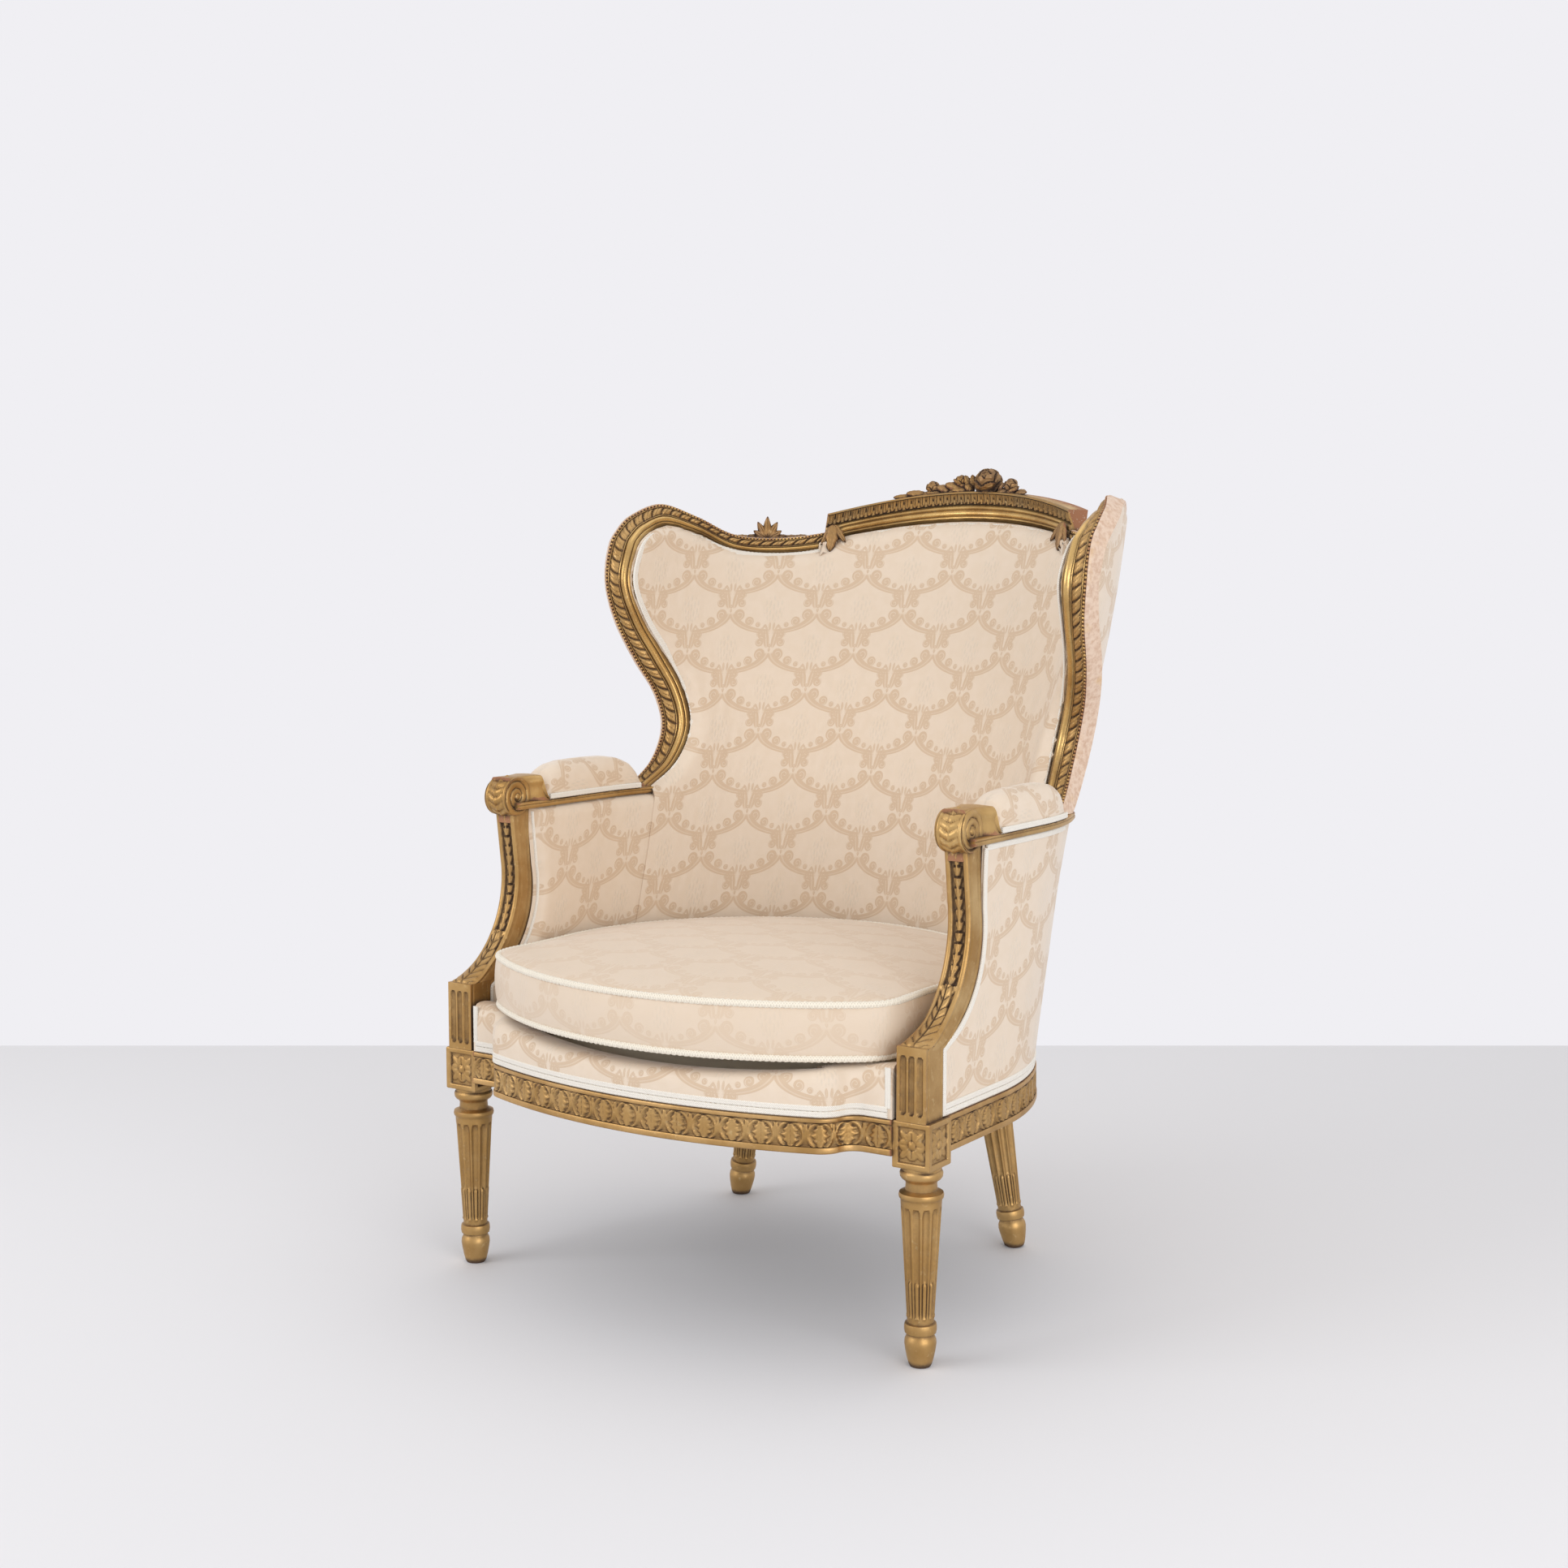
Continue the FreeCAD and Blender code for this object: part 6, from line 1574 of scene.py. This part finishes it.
# %% Front border
def border_panel():
    line = front_line(3.0)
    even, out, far = resampled(line, 4.0)
    bulge = np.array([0.0, 0.0, 0.0, 0.0, 0.0, 0.0, 0.3, 1.0, 3.0, 7.0, 13.0, 22.0, 32.0, 40.0, 40.0, 40.0])
    rise = np.array([0.0, 0.05, 0.16, 0.3, 0.45, 0.6, 0.74, 0.84, 0.92, 0.98, 1.0, 1.0, 0.97, 0.93, 0.5, 0.0])
    swell = 2.4 * np.sin(np.clip(rise, 0, 1) * math.pi) * (np.arange(16) < 9)
    if out[len(out) // 2, 1] > 0.0:
        out = -out
    share = np.abs(even[:, 0]) / 314.5
    top = 330.0 + 23.0 * share ** 2.2
    ends = ease((1.0 - share) * 26.0)
    spots = np.empty((len(even), 16, 3))
    drop = bulge[None] - swell[None] * ends[:, None]
    for i in (0, 1):
        spots[..., i] = even[:, None, i] - out[:, None, i] * drop
    spots[..., 2] = 290.4 + (top - 290.4)[:, None] * rise[None]
    girth = lengths(spots, 1)
    uv = np.stack([np.repeat((far - far[-1] / 2)[:, None], 16, 1), girth], -1)
    return laid(
        "front_border_roll", np.concatenate([spots, spots[:, :1]], 1), uv=np.concatenate([uv, uv[:, -1:]], 1),
        welded=True, capped=True
    )


border = smooth(border_panel(), 50.0)
settle(border, [DAMASK], replaces=["front_border"])

# %% [markdown]
# ## Loose cushion
# A feather cushion is a boxed bag: two shaped panels joined by a strip. Its top crowns up
# and its sides pull in at the seams. The bag is laid as rings, remeshed to even squares and
# blown up by a cloth simulation with its two seams held, which gives soft uneven swelling.

# %% Cushion shape
CUSHION_LOW, CUSHION_SEAM = 352.6, 418.0
PLATFORM_CENTRE = centre_y(350.0)


def cushion_outline(draw):
    """Plan outline of the cushion drawn in by a distance: bowed front, waisted sides, round back."""
    half = 303.0 - draw
    rear = PLATFORM_CENTRE - 8.0
    front_y = FRONT_FACE_Y - BOW - 13.0 + draw
    corner, big = 34.0, 440.0
    centre_x = half - corner
    reach = big - corner
    spot_y = front_y + big - math.sqrt(reach * reach - centre_x * centre_x)
    leaning = math.atan2(front_y + big - spot_y, centre_x)
    touch = (centre_x + corner * math.cos(leaning), spot_y - corner * math.sin(leaning))
    middle = (centre_x + corner * math.cos(leaning / 2), spot_y - corner * math.sin(leaning / 2))
    start, end = (half, spot_y), (half, rear)
    side = arc_through(start, (half - 3.0, (spot_y + rear) / 2), end, 20)
    right = np.concatenate([
        arc_through(
            (0.0, front_y), (touch[0] / 2, front_y + big - math.sqrt(big**2 - touch[0] ** 2 / 4)), touch, 30
        )[:-1],
        arc_through(touch, middle, start, 10)[:-1],
        side[:-1],
        np.stack(
            [half * np.cos(np.linspace(0, math.pi / 2, 40)), rear + half * np.sin(np.linspace(0, math.pi / 2, 40))],
            -1
        ),
    ])
    left = (right * [-1.0, 1.0])[::-1]
    return even_line(np.concatenate([right[:-1], left]), 161)


def cushion_rings():
    rows = []
    rim = cushion_outline(7.0)
    middle = np.array([0.0, 110.0])
    for share in (0.02, 0.3, 0.6, 0.85, 0.97):
        rows.append(np.concatenate([middle + (rim - middle) * share, np.full((161, 1), CUSHION_LOW)], 1))
    for t in np.linspace(0.0, 1.0, 8):
        side = cushion_outline(7.0 - 4.0 * math.sin(math.pi * t))
        rows.append(np.concatenate([side, np.full((161, 1), mix(CUSHION_LOW, CUSHION_SEAM, t))], 1))
    for share in (0.96, 0.88, 0.76, 0.6, 0.4, 0.2, 0.02):
        lift = 17.0 * math.sqrt(1.0 - share**3.0)
        rows.append(np.concatenate([middle + (rim - middle) * share, np.full((161, 1), CUSHION_SEAM + lift)], 1))
    return laid("seat_cushion_bag", np.stack(rows), welded=True, capped=True)


def blown_up(piece, voxel, seam_heights, seam_gap, cap, pressure=4.0):
    """Cloth under pressure with the seams held, limited to a movement in millimetres."""
    alone(piece)
    bpy.ops.object.modifier_add(type="REMESH")
    remesh = piece.modifiers[-1]
    remesh.mode, remesh.voxel_size = "VOXEL", voxel / 1000.0
    bpy.ops.object.modifier_apply(modifier=remesh.name)
    count = len(piece.data.vertices)
    start = np.empty(count * 3, np.float32)
    piece.data.vertices.foreach_get("co", start)
    start = start.reshape(-1, 3)
    normals = np.empty(count * 3, np.float32)
    piece.data.vertices.foreach_get("normal", normals)
    slope = np.abs(normals.reshape(-1, 3)[:, 2])
    held = piece.vertex_groups.new(name="seams")
    for height in seam_heights:
        near = (np.abs(start[:, 2] * 1000.0 - height) < seam_gap) & (slope > 0.12) & (slope < 0.93)
        held.add([int(i) for i in np.nonzero(near)[0]], 1.0, "ADD")
    bpy.ops.object.modifier_add(type="CLOTH")
    cloth = piece.modifiers[-1]
    cloth.settings.use_pressure = True
    cloth.settings.uniform_pressure_force = pressure
    cloth.settings.effector_weights.gravity = 0.0
    cloth.settings.vertex_group_mass = "seams"
    cloth.point_cache.frame_end = 22
    scene = bpy.context.scene
    for number in range(1, 21):
        scene.frame_set(number)
    bpy.ops.object.modifier_apply(modifier=cloth.name)
    scene.frame_set(1)
    moved_to = np.empty(count * 3, np.float32)
    piece.data.vertices.foreach_get("co", moved_to)
    shift = moved_to.reshape(-1, 3) - start
    far = np.linalg.norm(shift, axis=1, keepdims=True)
    limit = cap / 1000.0
    soft = limit * np.tanh(far / limit)
    ended = start + shift * (soft / np.maximum(far, 1e-9))
    ended[:, 2] = np.maximum(ended[:, 2], start[:, 2].min() - 0.0005)
    piece.data.vertices.foreach_set("co", ended.astype(np.float32).ravel())
    piece.data.update()
    print(piece.name, "moved up to", round(float(soft.max() * 1000), 1), "mm")
    return piece


def map_cloth(piece, side_line):
    """UV in metres: seen from above on the panels, and distance round by height on the sides."""
    data = piece.data
    if not data.uv_layers:
        data.uv_layers.new(name="UVMap")
    side_line = even_line(side_line, 2400)
    run = lengths(side_line[None], 1)[0]
    spots = np.empty(len(data.vertices) * 3, np.float32)
    data.vertices.foreach_get("co", spots)
    spots = spots.reshape(-1, 3) * 1000.0 - [0.0, SHIFT_Y, 0.0]
    nearest = np.empty(len(spots), int)
    for start in range(0, len(spots), 2000):
        gap = np.linalg.norm(spots[start : start + 2000, None, :2] - side_line[None], axis=-1)
        nearest[start : start + 2000] = gap.argmin(1)
    round_way = run[nearest] - run[-1] / 2
    uv = np.empty((len(data.loops), 2), np.float32)
    for polygon in data.polygons:
        flat = abs(polygon.normal.z) > 0.55
        ring = [round_way[data.loops[i].vertex_index] for i in polygon.loop_indices]
        wrap = max(ring) - min(ring) > run[-1] / 2
        for loop, along_rim in zip(polygon.loop_indices, ring):
            spot = spots[data.loops[loop].vertex_index]
            if flat:
                uv[loop] = (spot[0], spot[1] + 20.0)
            else:
                uv[loop] = (along_rim + (run[-1] if wrap and along_rim < 0 else 0.0), spot[2])
    data.uv_layers.active.data.foreach_set("uv", (uv / 1000.0).ravel())
    return piece


def plump(piece):
    alone(piece)
    bpy.ops.object.modifier_add(type="SUBSURF")
    rounder = piece.modifiers[-1]
    rounder.levels = rounder.render_levels = 1
    bpy.ops.object.modifier_apply(modifier=rounder.name)
    bpy.ops.object.shade_smooth()
    return piece


cushion = blown_up(cushion_rings(), 7.0, (CUSHION_LOW, CUSHION_SEAM), 4.5, 12.0)
cushion = map_cloth(plump(cushion), cushion_outline(4.0))
settle(cushion, [DAMASK_SEAT], body="cushion", replaces=["seat_cushion"])

# %% [markdown]
# A twisted cord is sewn into both seams. It's a closed tube of two strands: the radius rises
# and falls as the strands turn round each other.

# %% Twisted cord
def twisted_cord(name, path, radius=4.2, twist=15.0, closed=True, sides=10):
    """A two-strand cord along a line of points in millimetres."""
    run = lengths(path[None], 1)[0]
    even = even_line(path, int(run[-1] / 2.6))
    far = np.linspace(0.0, run[-1], len(even))
    if closed:
        turns = max(round(run[-1] / twist), 1)
        twist = run[-1] / turns
    ahead = np.gradient(even, axis=0)
    ahead /= np.linalg.norm(ahead, axis=1, keepdims=True)
    if closed:
        ahead[0] = ahead[-1] = (ahead[0] + ahead[-1]) / 2.0
    up = np.array([0.0, 0.0, 1.0])
    side = np.cross(ahead, up)
    side /= np.maximum(np.linalg.norm(side, axis=1, keepdims=True), 1e-6)
    over = np.cross(side, ahead)
    turn = np.linspace(0.0, 2.0 * math.pi, sides + 1)[None]
    phase = (2.0 * math.pi * far / twist)[:, None]
    reach = radius * (0.78 + 0.3 * np.abs(np.cos(turn - phase)) ** 0.8)
    spots = even[:, None] + (
        side[:, None] * np.cos(turn)[..., None] + over[:, None] * np.sin(turn)[..., None]
    ) * reach[..., None]
    uv = np.stack([np.repeat(turn * radius, len(even), 0), np.repeat(far[:, None], sides + 1, 1)], -1)
    return smooth(laid(name, spots, uv=uv, welded=True, capped=not closed), 70.0)


def snapped(piece, ring, reach):
    """Move a ring of points onto a piece's surface, seen from outside the ring."""
    spots = []
    for spot in ring:
        found, place, normal, _ = piece.closest_point_on_mesh(
            Vector(((spot[0]) / 1000, (spot[1] + SHIFT_Y) / 1000, spot[2] / 1000))
        )
        place = place + normal * (reach / 1000.0)
        spots.append((place.x * 1000, place.y * 1000 - SHIFT_Y, place.z * 1000))
    return np.array(spots)


seam_ring = cushion_outline(6.0)
for label, height in (("top", CUSHION_SEAM), ("bottom", CUSHION_LOW)):
    ring = np.concatenate([seam_ring, np.full((161, 1), height)], 1)
    ring = snapped(cushion, ring, 1.4)
    for _ in range(3):
        ring[:-1] = (np.roll(ring[:-1], 1, 0) + ring[:-1] * 2 + np.roll(ring[:-1], -1, 0)) / 4.0
        ring[-1] = ring[0]
    piping = twisted_cord("cushion_cord_" + label, ring)
    settle(piping, [CORD], body="cushion")

# %% [markdown]
# ## Arm pads
# The elbow rests are short stuffed rolls on the arm rails, held down by braid.

# %% Arm pad
def pad_bag():
    centre = centre_y(ARM_TOP)
    rear = shell(15.5, ARM_TOP, 0.0)[1] - 12.0
    y = 133.0 + (rear - 133.0) * np.array([0.0, 0.02, 0.06, 0.14, 0.25, 0.4, 0.55, 0.7, 0.82, 0.91, 0.96, 1.0])
    wide = np.array([0.72, 0.86, 0.95, 1.0, 1.0, 1.0, 1.0, 1.0, 1.0, 0.96, 0.88, 0.76])
    tall = np.array([0.25, 0.55, 0.78, 0.93, 1.0, 1.0, 1.0, 1.0, 0.93, 0.78, 0.56, 0.25])
    x = np.sqrt(ARM_X**2 - np.maximum(y - centre, 0.0) ** 2)
    turn = np.linspace(0.0, math.pi, 25)
    spots = np.empty((len(y), 26, 3))
    spots[:, :25, 0] = x[:, None] - 25.5 * wide[:, None] * np.sign(np.cos(turn)) * np.abs(np.cos(turn)) ** 0.62
    spots[:, :25, 1] = y[:, None]
    spots[:, :25, 2] = 604.6 + 47.0 * tall[:, None] * np.sin(turn) ** 0.72
    spots[:, 25] = spots[:, 0]
    return laid("arm_pad_stuffed_right", spots, welded=True, capped=True)


pad_right = plump(blown_up(pad_bag(), 3.5, (605.0,), 3.0, 5.0))
data = pad_right.data
data.uv_layers.new(name="UVMap")
spots = np.array([v.co for v in data.vertices])
centre_line = np.hypot(spots[:, 0], np.maximum(spots[:, 1] - (centre_y(ARM_TOP) + SHIFT_Y) / 1000.0, 0.0))
girth = (centre_line - ARM_X / 1000.0) + np.sign(centre_line - ARM_X / 1000.0) * np.clip(
    0.652 - spots[:, 2], 0.0, 0.1
)
order = np.empty(len(data.loops), dtype=np.int32)
data.loops.foreach_get("vertex_index", order)
data.uv_layers.active.data.foreach_set("uv", np.stack([girth, spots[:, 1]], -1)[order].astype(np.float32).ravel())
for pad in (pad_right, settle_pair(pad_right, [DAMASK], "arm_pad")):
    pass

# %% [markdown]
# ## Braid
# White braid is glued over every line of tacks. A strip with a low rounded section follows
# each edge, and its own UV map carries the plait along it.

# %% Braid strips
def tape(name, path, across, out, width=8.5, rise=1.7, step=3.0):
    """A domed strip along a line: where it runs, which way is across it, which way is out."""
    run = lengths(path[None], 1)[0]
    far = np.linspace(0.0, run[-1], max(int(run[-1] / step), 3))
    path, across, out = (
        np.stack([np.interp(far, run, values[:, i]) for i in range(3)], -1) for values in (path, across, out)
    )
    across /= np.linalg.norm(across, axis=1, keepdims=True)
    out /= np.linalg.norm(out, axis=1, keepdims=True)
    t = np.linspace(-1.0, 1.0, 9)
    scallop = 1.0 + 0.07 * np.cos(far * 2.0 * math.pi / 6.5)[:, None]
    lift = rise * dome(t) ** 0.6 - 0.5 * ridge(t, 0.16)
    places = path[:, None] + across[:, None] * (t[None] * scallop)[..., None] * width / 2 + out[:, None] * lift[None, :, None]
    back = path[:, None] - out[:, None] * 1.0 + across[:, None] * np.array([0.9, -0.9])[None, :, None] * width / 2
    spots = np.concatenate([places, back, places[:, :1]], 1)
    columns = np.concatenate([t * width / 2, [width / 2, -width / 2, -width / 2]])
    uv = np.stack([np.repeat(columns[None], len(far), 0), np.repeat(far[:, None], 12, 1)], -1)
    return smooth(laid(name, spots, uv=uv, welded=True, capped=True), 60.0)


def along_surface(line, inset, width_shift):
    """Path, across and out directions for a line of plan angle and height on the shell."""
    angle, z = line[:, 0], line[:, 1]
    path = shell(angle, z, inset)
    middle = np.stack([0 * z, centre_y(z), z], -1)
    out = (middle - path) * [1.0, 1.0, 0.0]
    out /= np.linalg.norm(out, axis=1, keepdims=True)
    ahead = np.gradient(path, axis=0)
    across = np.cross(out, ahead)
    across /= np.linalg.norm(across, axis=1, keepdims=True)
    return path + across * width_shift, across, out


def away_from_axis(spots, angles):
    """Level directions out from the shell's axis, straight sideways in front of it."""
    out = (spots - np.stack([0 * angles, centre_y(spots[:, 2]), spots[:, 2]], -1)) * [1.0, 1.0, 0.0]
    out[angles < 0] = (1.0, 0.0, 0.0)
    return out


edge_line = np.concatenate([inner_path, crest_path[1:-1], mirror_line(inner_path)[::-1]])
edge_line = even_line(edge_line[edge_line[:, 1] > 604.0], 420)
for _ in range(10):
    edge_line[1:-1] = (edge_line[:-2] + edge_line[1:-1] * 2.0 + edge_line[2:]) / 4.0
edge_inset = wood_inset(edge_line[:, 0], edge_line[:, 1]) - 0.5
path, across_way, out_way = along_surface(edge_line, edge_inset, 0.0)
toward_middle = np.sign(((np.array([0.0, 420.0, 760.0]) - path) * across_way).sum())
path = path + across_way * toward_middle * 5.0 + out_way * 1.5
for _ in range(14):
    path[1:-1] = (path[:-2] + path[1:-1] * 2.0 + path[2:]) / 4.0
across_way = np.cross(out_way, np.gradient(path, axis=0))
braids = [tape("braid_back", path, across_way, out_way, 9.5, 2.2)]

for side in (1.0, -1.0):
    z = np.linspace(292.0, 590.0, 60)
    y = console_back(z)
    spots = np.stack([side * (half_width(z) - 0.6), y + 4.5, z], -1)
    across_here = np.cross(np.gradient(spots, axis=0), np.tile([side, 0.0, 0.0], (60, 1)))
    braids.append(tape("braid", spots, across_here, np.tile([side, 0.0, 0.0], (60, 1)), 8.0))
    inside = np.stack([side * (half_width(z) - 38.5), y + 4.5, z], -1)
    braids.append(tape("braid", inside, across_here, np.tile([-side, 0.0, 0.0], (60, 1)), 8.0, 2.4))
    arm_angles = np.linspace(float(front_angle(np.array([590.0]), 1.0)[0]) + 0.8, 15.4, 30)
    spots = shell(arm_angles, 590.5, 0.6)
    out_here = away_from_axis(spots, arm_angles)
    spots[:, 0] *= side
    out_here[:, 0] *= side
    braids.append(tape("braid", spots, np.tile([0.0, 0.0, 1.0], (30, 1)), out_here, 8.0))
    spots = shell(arm_angles, 590.5, 38.0)
    spots[:, 0] *= side
    braids.append(tape("braid", spots, np.tile([0.0, 0.0, 1.0], (30, 1)), -out_here, 8.0, 2.4))
    for height in (294.6, 301.6):
        angles = np.linspace(float(front_angle(np.array([height]), 1.0)[0]) + 1.0, 90.0, 110)
        spots = shell(angles, height, 0.4)
        out_here = away_from_axis(spots, angles)
        spots[:, 0] *= side
        out_here[:, 0] *= side
        braids.append(tape("braid", spots, np.tile([0.0, 0.0, 1.0], (110, 1)), out_here, 7.0))
    rise = np.linspace(303.0, 350.0, 12)
    post_line = np.stack([np.full(12, side * 309.5), np.full(12, FRONT_FACE_Y + 2.0), rise], -1)
    braids.append(
        tape("braid", post_line, np.tile([side, 0.0, 0.0], (12, 1)), np.tile([0.0, -1.0, 0.0], (12, 1)), 8.0)
    )
    pad_y = np.concatenate([np.linspace(134.0, 322.0, 50)])
    pad_x = np.sqrt(ARM_X**2 - np.maximum(pad_y - centre_y(ARM_TOP), 0.0) ** 2)
    for edge in (-1.0, 1.0):
        spots = np.stack([side * (pad_x + edge * 26.0), pad_y, np.full(50, 608.0)], -1)
        braids.append(
            tape("braid", spots, np.tile([0.0, 0.0, 1.0], (50, 1)), np.tile([side * edge, 0.0, 0.0], (50, 1)), 7.5)
        )
    spots = np.stack([side * (ARM_X + np.linspace(-24.0, 24.0, 14)), np.full(14, 133.5), np.full(14, 608.5)], -1)
    braids.append(tape("braid", spots, np.tile([0.0, 0.0, 1.0], (14, 1)), np.tile([0.0, -1.0, 0.0], (14, 1)), 7.5))

bow, bow_out, _ = resampled(front_line(1.6), 5.0)
if bow_out[len(bow_out) // 2, 1] > 0.0:
    bow_out = -bow_out
keep = np.abs(bow[:, 0]) < 312.0
bow, bow_out = bow[keep], bow_out[keep]
for height in (294.6, 301.6):
    spots = np.concatenate([bow, np.full((len(bow), 1), height)], 1)
    out_here = np.concatenate([bow_out, np.zeros((len(bow), 1))], 1)
    braids.append(tape("braid", spots, np.tile([0.0, 0.0, 1.0], (len(bow), 1)), out_here, 7.0))
braid = joined("braid_all_edges", braids)
settle(braid, [BRAID])

# %% [markdown]
# ## Under the cushion
# Jute webbing is woven and tacked over the rails, a stuffed cotton deck lies on it, and a
# dark lining closes the chair from below. They show when the cushion is lifted.

# %% Webbing, deck and lining
def deck():
    angles = np.linspace(-38.0, 218.0, 121)
    rows = []
    for inset, z in ((70.0, 292.4), (61.0, 300.0), (60.5, 330.0), (62.0, 342.0), (68.0, 347.5), (82.0, 349.6)):
        ring = shell(angles, np.full(121, z), inset)
        ring[:, 1] = np.maximum(ring[:, 1], -60.0)
        rows.append(ring)
    middle = np.array([0.0, 150.0, 0.0])
    for share in (0.85, 0.6, 0.3, 0.05):
        ring = rows[5] * [1, 1, 0]
        rows.append(middle + (ring - middle) * share + [0.0, 0.0, 349.8])
    spots = np.stack(rows)
    spots = np.concatenate([spots, spots[:, :1]], 1)
    front_y = FRONT_FACE_Y + 42.0 - BOW + 0.5 * BOW * (spots[..., 0] / 236.0) ** 2
    spots[..., 1] = np.maximum(spots[..., 1], np.minimum(front_y, FRONT_FACE_Y + 42.0))
    return laid("seat_deck", spots, welded=True, capped=True)


def straps():
    radius = 340.0
    pieces = []
    for x in (-226.0, -108.0, 0.0, 108.0, 226.0):
        rear_y = 156.0 + math.sqrt(radius**2 - (abs(x) + 26.0) ** 2)
        front_y = FRONT_FACE_Y - BOW + 0.5 * BOW * ((abs(x) + 26.0) / 236.0) ** 2 + 9.0
        y = np.linspace(front_y, rear_y, 90)
        wave = 0.6 * np.sin((y - 60.0) / 96.0 * math.pi + (0.0 if int(abs(x)) % 216 else math.pi))
        rows = [
            np.stack([np.full(90, x + off), y, 291.2 + wave + up], -1) for off,
            up in ((-26, 0.4), (26, 0.4), (26, -0.4), (-26, -0.4), (-26, 0.4))
        ]
        pieces.append(laid("strap", np.stack(rows, 1), welded=True, capped=True))
    for y in (60.0, 156.0, 252.0, 352.0):
        reach = max(y + 26.0 - 156.0, 0.0)
        half = math.sqrt(radius**2 - reach**2)
        x = np.linspace(-half, half, 90)
        rows = [
            np.stack([x, np.full(90, y + off), 291.2 - 0.6 * np.sin((x + 54.0) / 108.0 * math.pi) + up], -1) for off,
            up in ((-26, 0.4), (26, 0.4), (26, -0.4), (-26, -0.4), (-26, 0.4))
        ]
        pieces.append(laid("strap", np.stack(rows, 1), welded=True, capped=True))
    return joined("webbing_straps", pieces)


def bottom_lining():
    x = np.linspace(-1.0, 1.0, 61)
    half_bow = 236.0
    reach = 344.0
    y_rear = 156.0 + np.sqrt(np.maximum(reach**2 - (x * 340.0) ** 2, 0.0))
    across = x * 340.0
    y_front = np.where(
        np.abs(across) < half_bow, FRONT_FACE_Y + 16.0 - BOW + 0.5 * BOW * (across / half_bow) ** 2,
        FRONT_FACE_Y + 16.0
    )
    y_front = np.where(np.abs(across) > 312.0, 30.0, y_front)
    t = np.linspace(0.0, 1.0, 40)[:, None]
    sag = 2.0 * np.sin(t * math.pi) * np.cos(x * math.pi / 2)[None]
    spots = np.stack([across[None] + 0 * t, mix(y_front[None], y_rear[None], t), 247.6 - sag], -1)
    return laid("bottom_lining", spots)


under = bottom_lining()
under = smooth(thick(facing(under, lambda c: np.tile([0.0, 0.0, -1.0], (len(c), 1))), 0.5), 60.0)
settle(under, [LINING], replaces=["dust_cover"])
deck_piece = smooth(deck(), 60.0)
settle(deck_piece, [COTTON], replaces=["seat_platform"])
webs = smooth(straps(), 40.0)
settle(webs, [JUTE], replaces=["seat_webbing"])

# %% [markdown]
# ## Light, floor and camera
# A plain pale floor and large soft lamps, as in a photographer's corner. The background shows
# through Light Path only to the camera and in reflections, so it adds no light to the chair.

# %% Studio
CAMERA_PLACE, CAMERA_TURN = (1.5357, -2.3972, 0.9145), (84.236, 0.0, 33.60)
FLOOR_SIZE, FLOOR_BACK = 16.0, 3.94


def studio():
    alone()
    x, y, _ = CAMERA_PLACE
    bpy.ops.mesh.primitive_plane_add(
        size=FLOOR_SIZE, location=(x + FLOOR_BACK * 0.5534, y - FLOOR_BACK * 0.8329, 0.0),
        rotation=(0.0, 0.0, math.radians(CAMERA_TURN[2]))
    )
    floor = bpy.context.active_object
    floor.name = "floor"
    bpy.ops.object.transform_apply(location=True, rotation=True, scale=True)
    material = bpy.data.materials.new("floor_pale")
    material.use_nodes = True
    shader = material.node_tree.nodes["Principled BSDF"]
    shader.inputs["Base Color"].default_value = colour(226, 226, 230)
    shader.inputs["Roughness"].default_value = 0.7
    floor.data.materials.append(material)
    world = bpy.context.scene.world or bpy.data.worlds.new("studio")
    bpy.context.scene.world = world
    world.use_nodes = True
    tree = world.node_tree
    tree.nodes.clear()
    out = tree.nodes.new("ShaderNodeOutputWorld")
    light, seen = tree.nodes.new("ShaderNodeBackground"), tree.nodes.new("ShaderNodeBackground")
    light.inputs["Color"].default_value = (1.0, 0.985, 0.97, 1.0)
    light.inputs["Strength"].default_value = 0.8
    seen.inputs["Color"].default_value = colour(240, 239, 243)
    seen.inputs["Strength"].default_value = 1.0
    path = tree.nodes.new("ShaderNodeLightPath")
    choose = Signal(tree, path.outputs["Is Camera Ray"]) + Signal(tree, path.outputs["Is Glossy Ray"]) + Signal(
        tree, path.outputs["Is Transmission Ray"]
    )
    mixed = tree.nodes.new("ShaderNodeMixShader")
    tree.links.new(choose.socket, mixed.inputs[0])
    tree.links.new(light.outputs[0], mixed.inputs[1])
    tree.links.new(seen.outputs[0], mixed.inputs[2])
    tree.links.new(mixed.outputs[0], out.inputs["Surface"])
    for name, place, size, power in (
        ("key", (-1.9, -2.8, 1.9), 2.0, 34.0),
        ("fill", (2.8, -1.6, 1.1), 2.0, 34.0),
        ("top", (0.2, 0.4, 3.0), 2.2, 7.0),
    ):
        bpy.ops.object.light_add(type="AREA", location=place)
        lamp = bpy.context.active_object
        lamp.name = name
        lamp.data.size = size
        lamp.data.energy = power
        lamp.rotation_euler = (Vector((0.0, 0.0, 0.45)) - Vector(place)).to_track_quat("-Z", "Y").to_euler()
    bpy.ops.object.camera_add(location=CAMERA_PLACE, rotation=[math.radians(turn) for turn in CAMERA_TURN])
    camera = bpy.context.active_object
    camera.data.lens = 49.42
    camera.data.sensor_width = 36.0
    bpy.context.scene.camera = camera
    bpy.context.scene.view_settings.view_transform = "Standard"


studio()

# %% [markdown]
# ## Hidden frame parts
# Stiles, tack rails, blocks and tenons are plain beech inside the upholstery.
# Their measured shapes are right, so they keep their meshes and only get a wood finish.

# %% Finish of the kept nodes
for name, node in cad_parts.items():
    node.data.materials.clear()
    node.data.materials.append(BEECH)
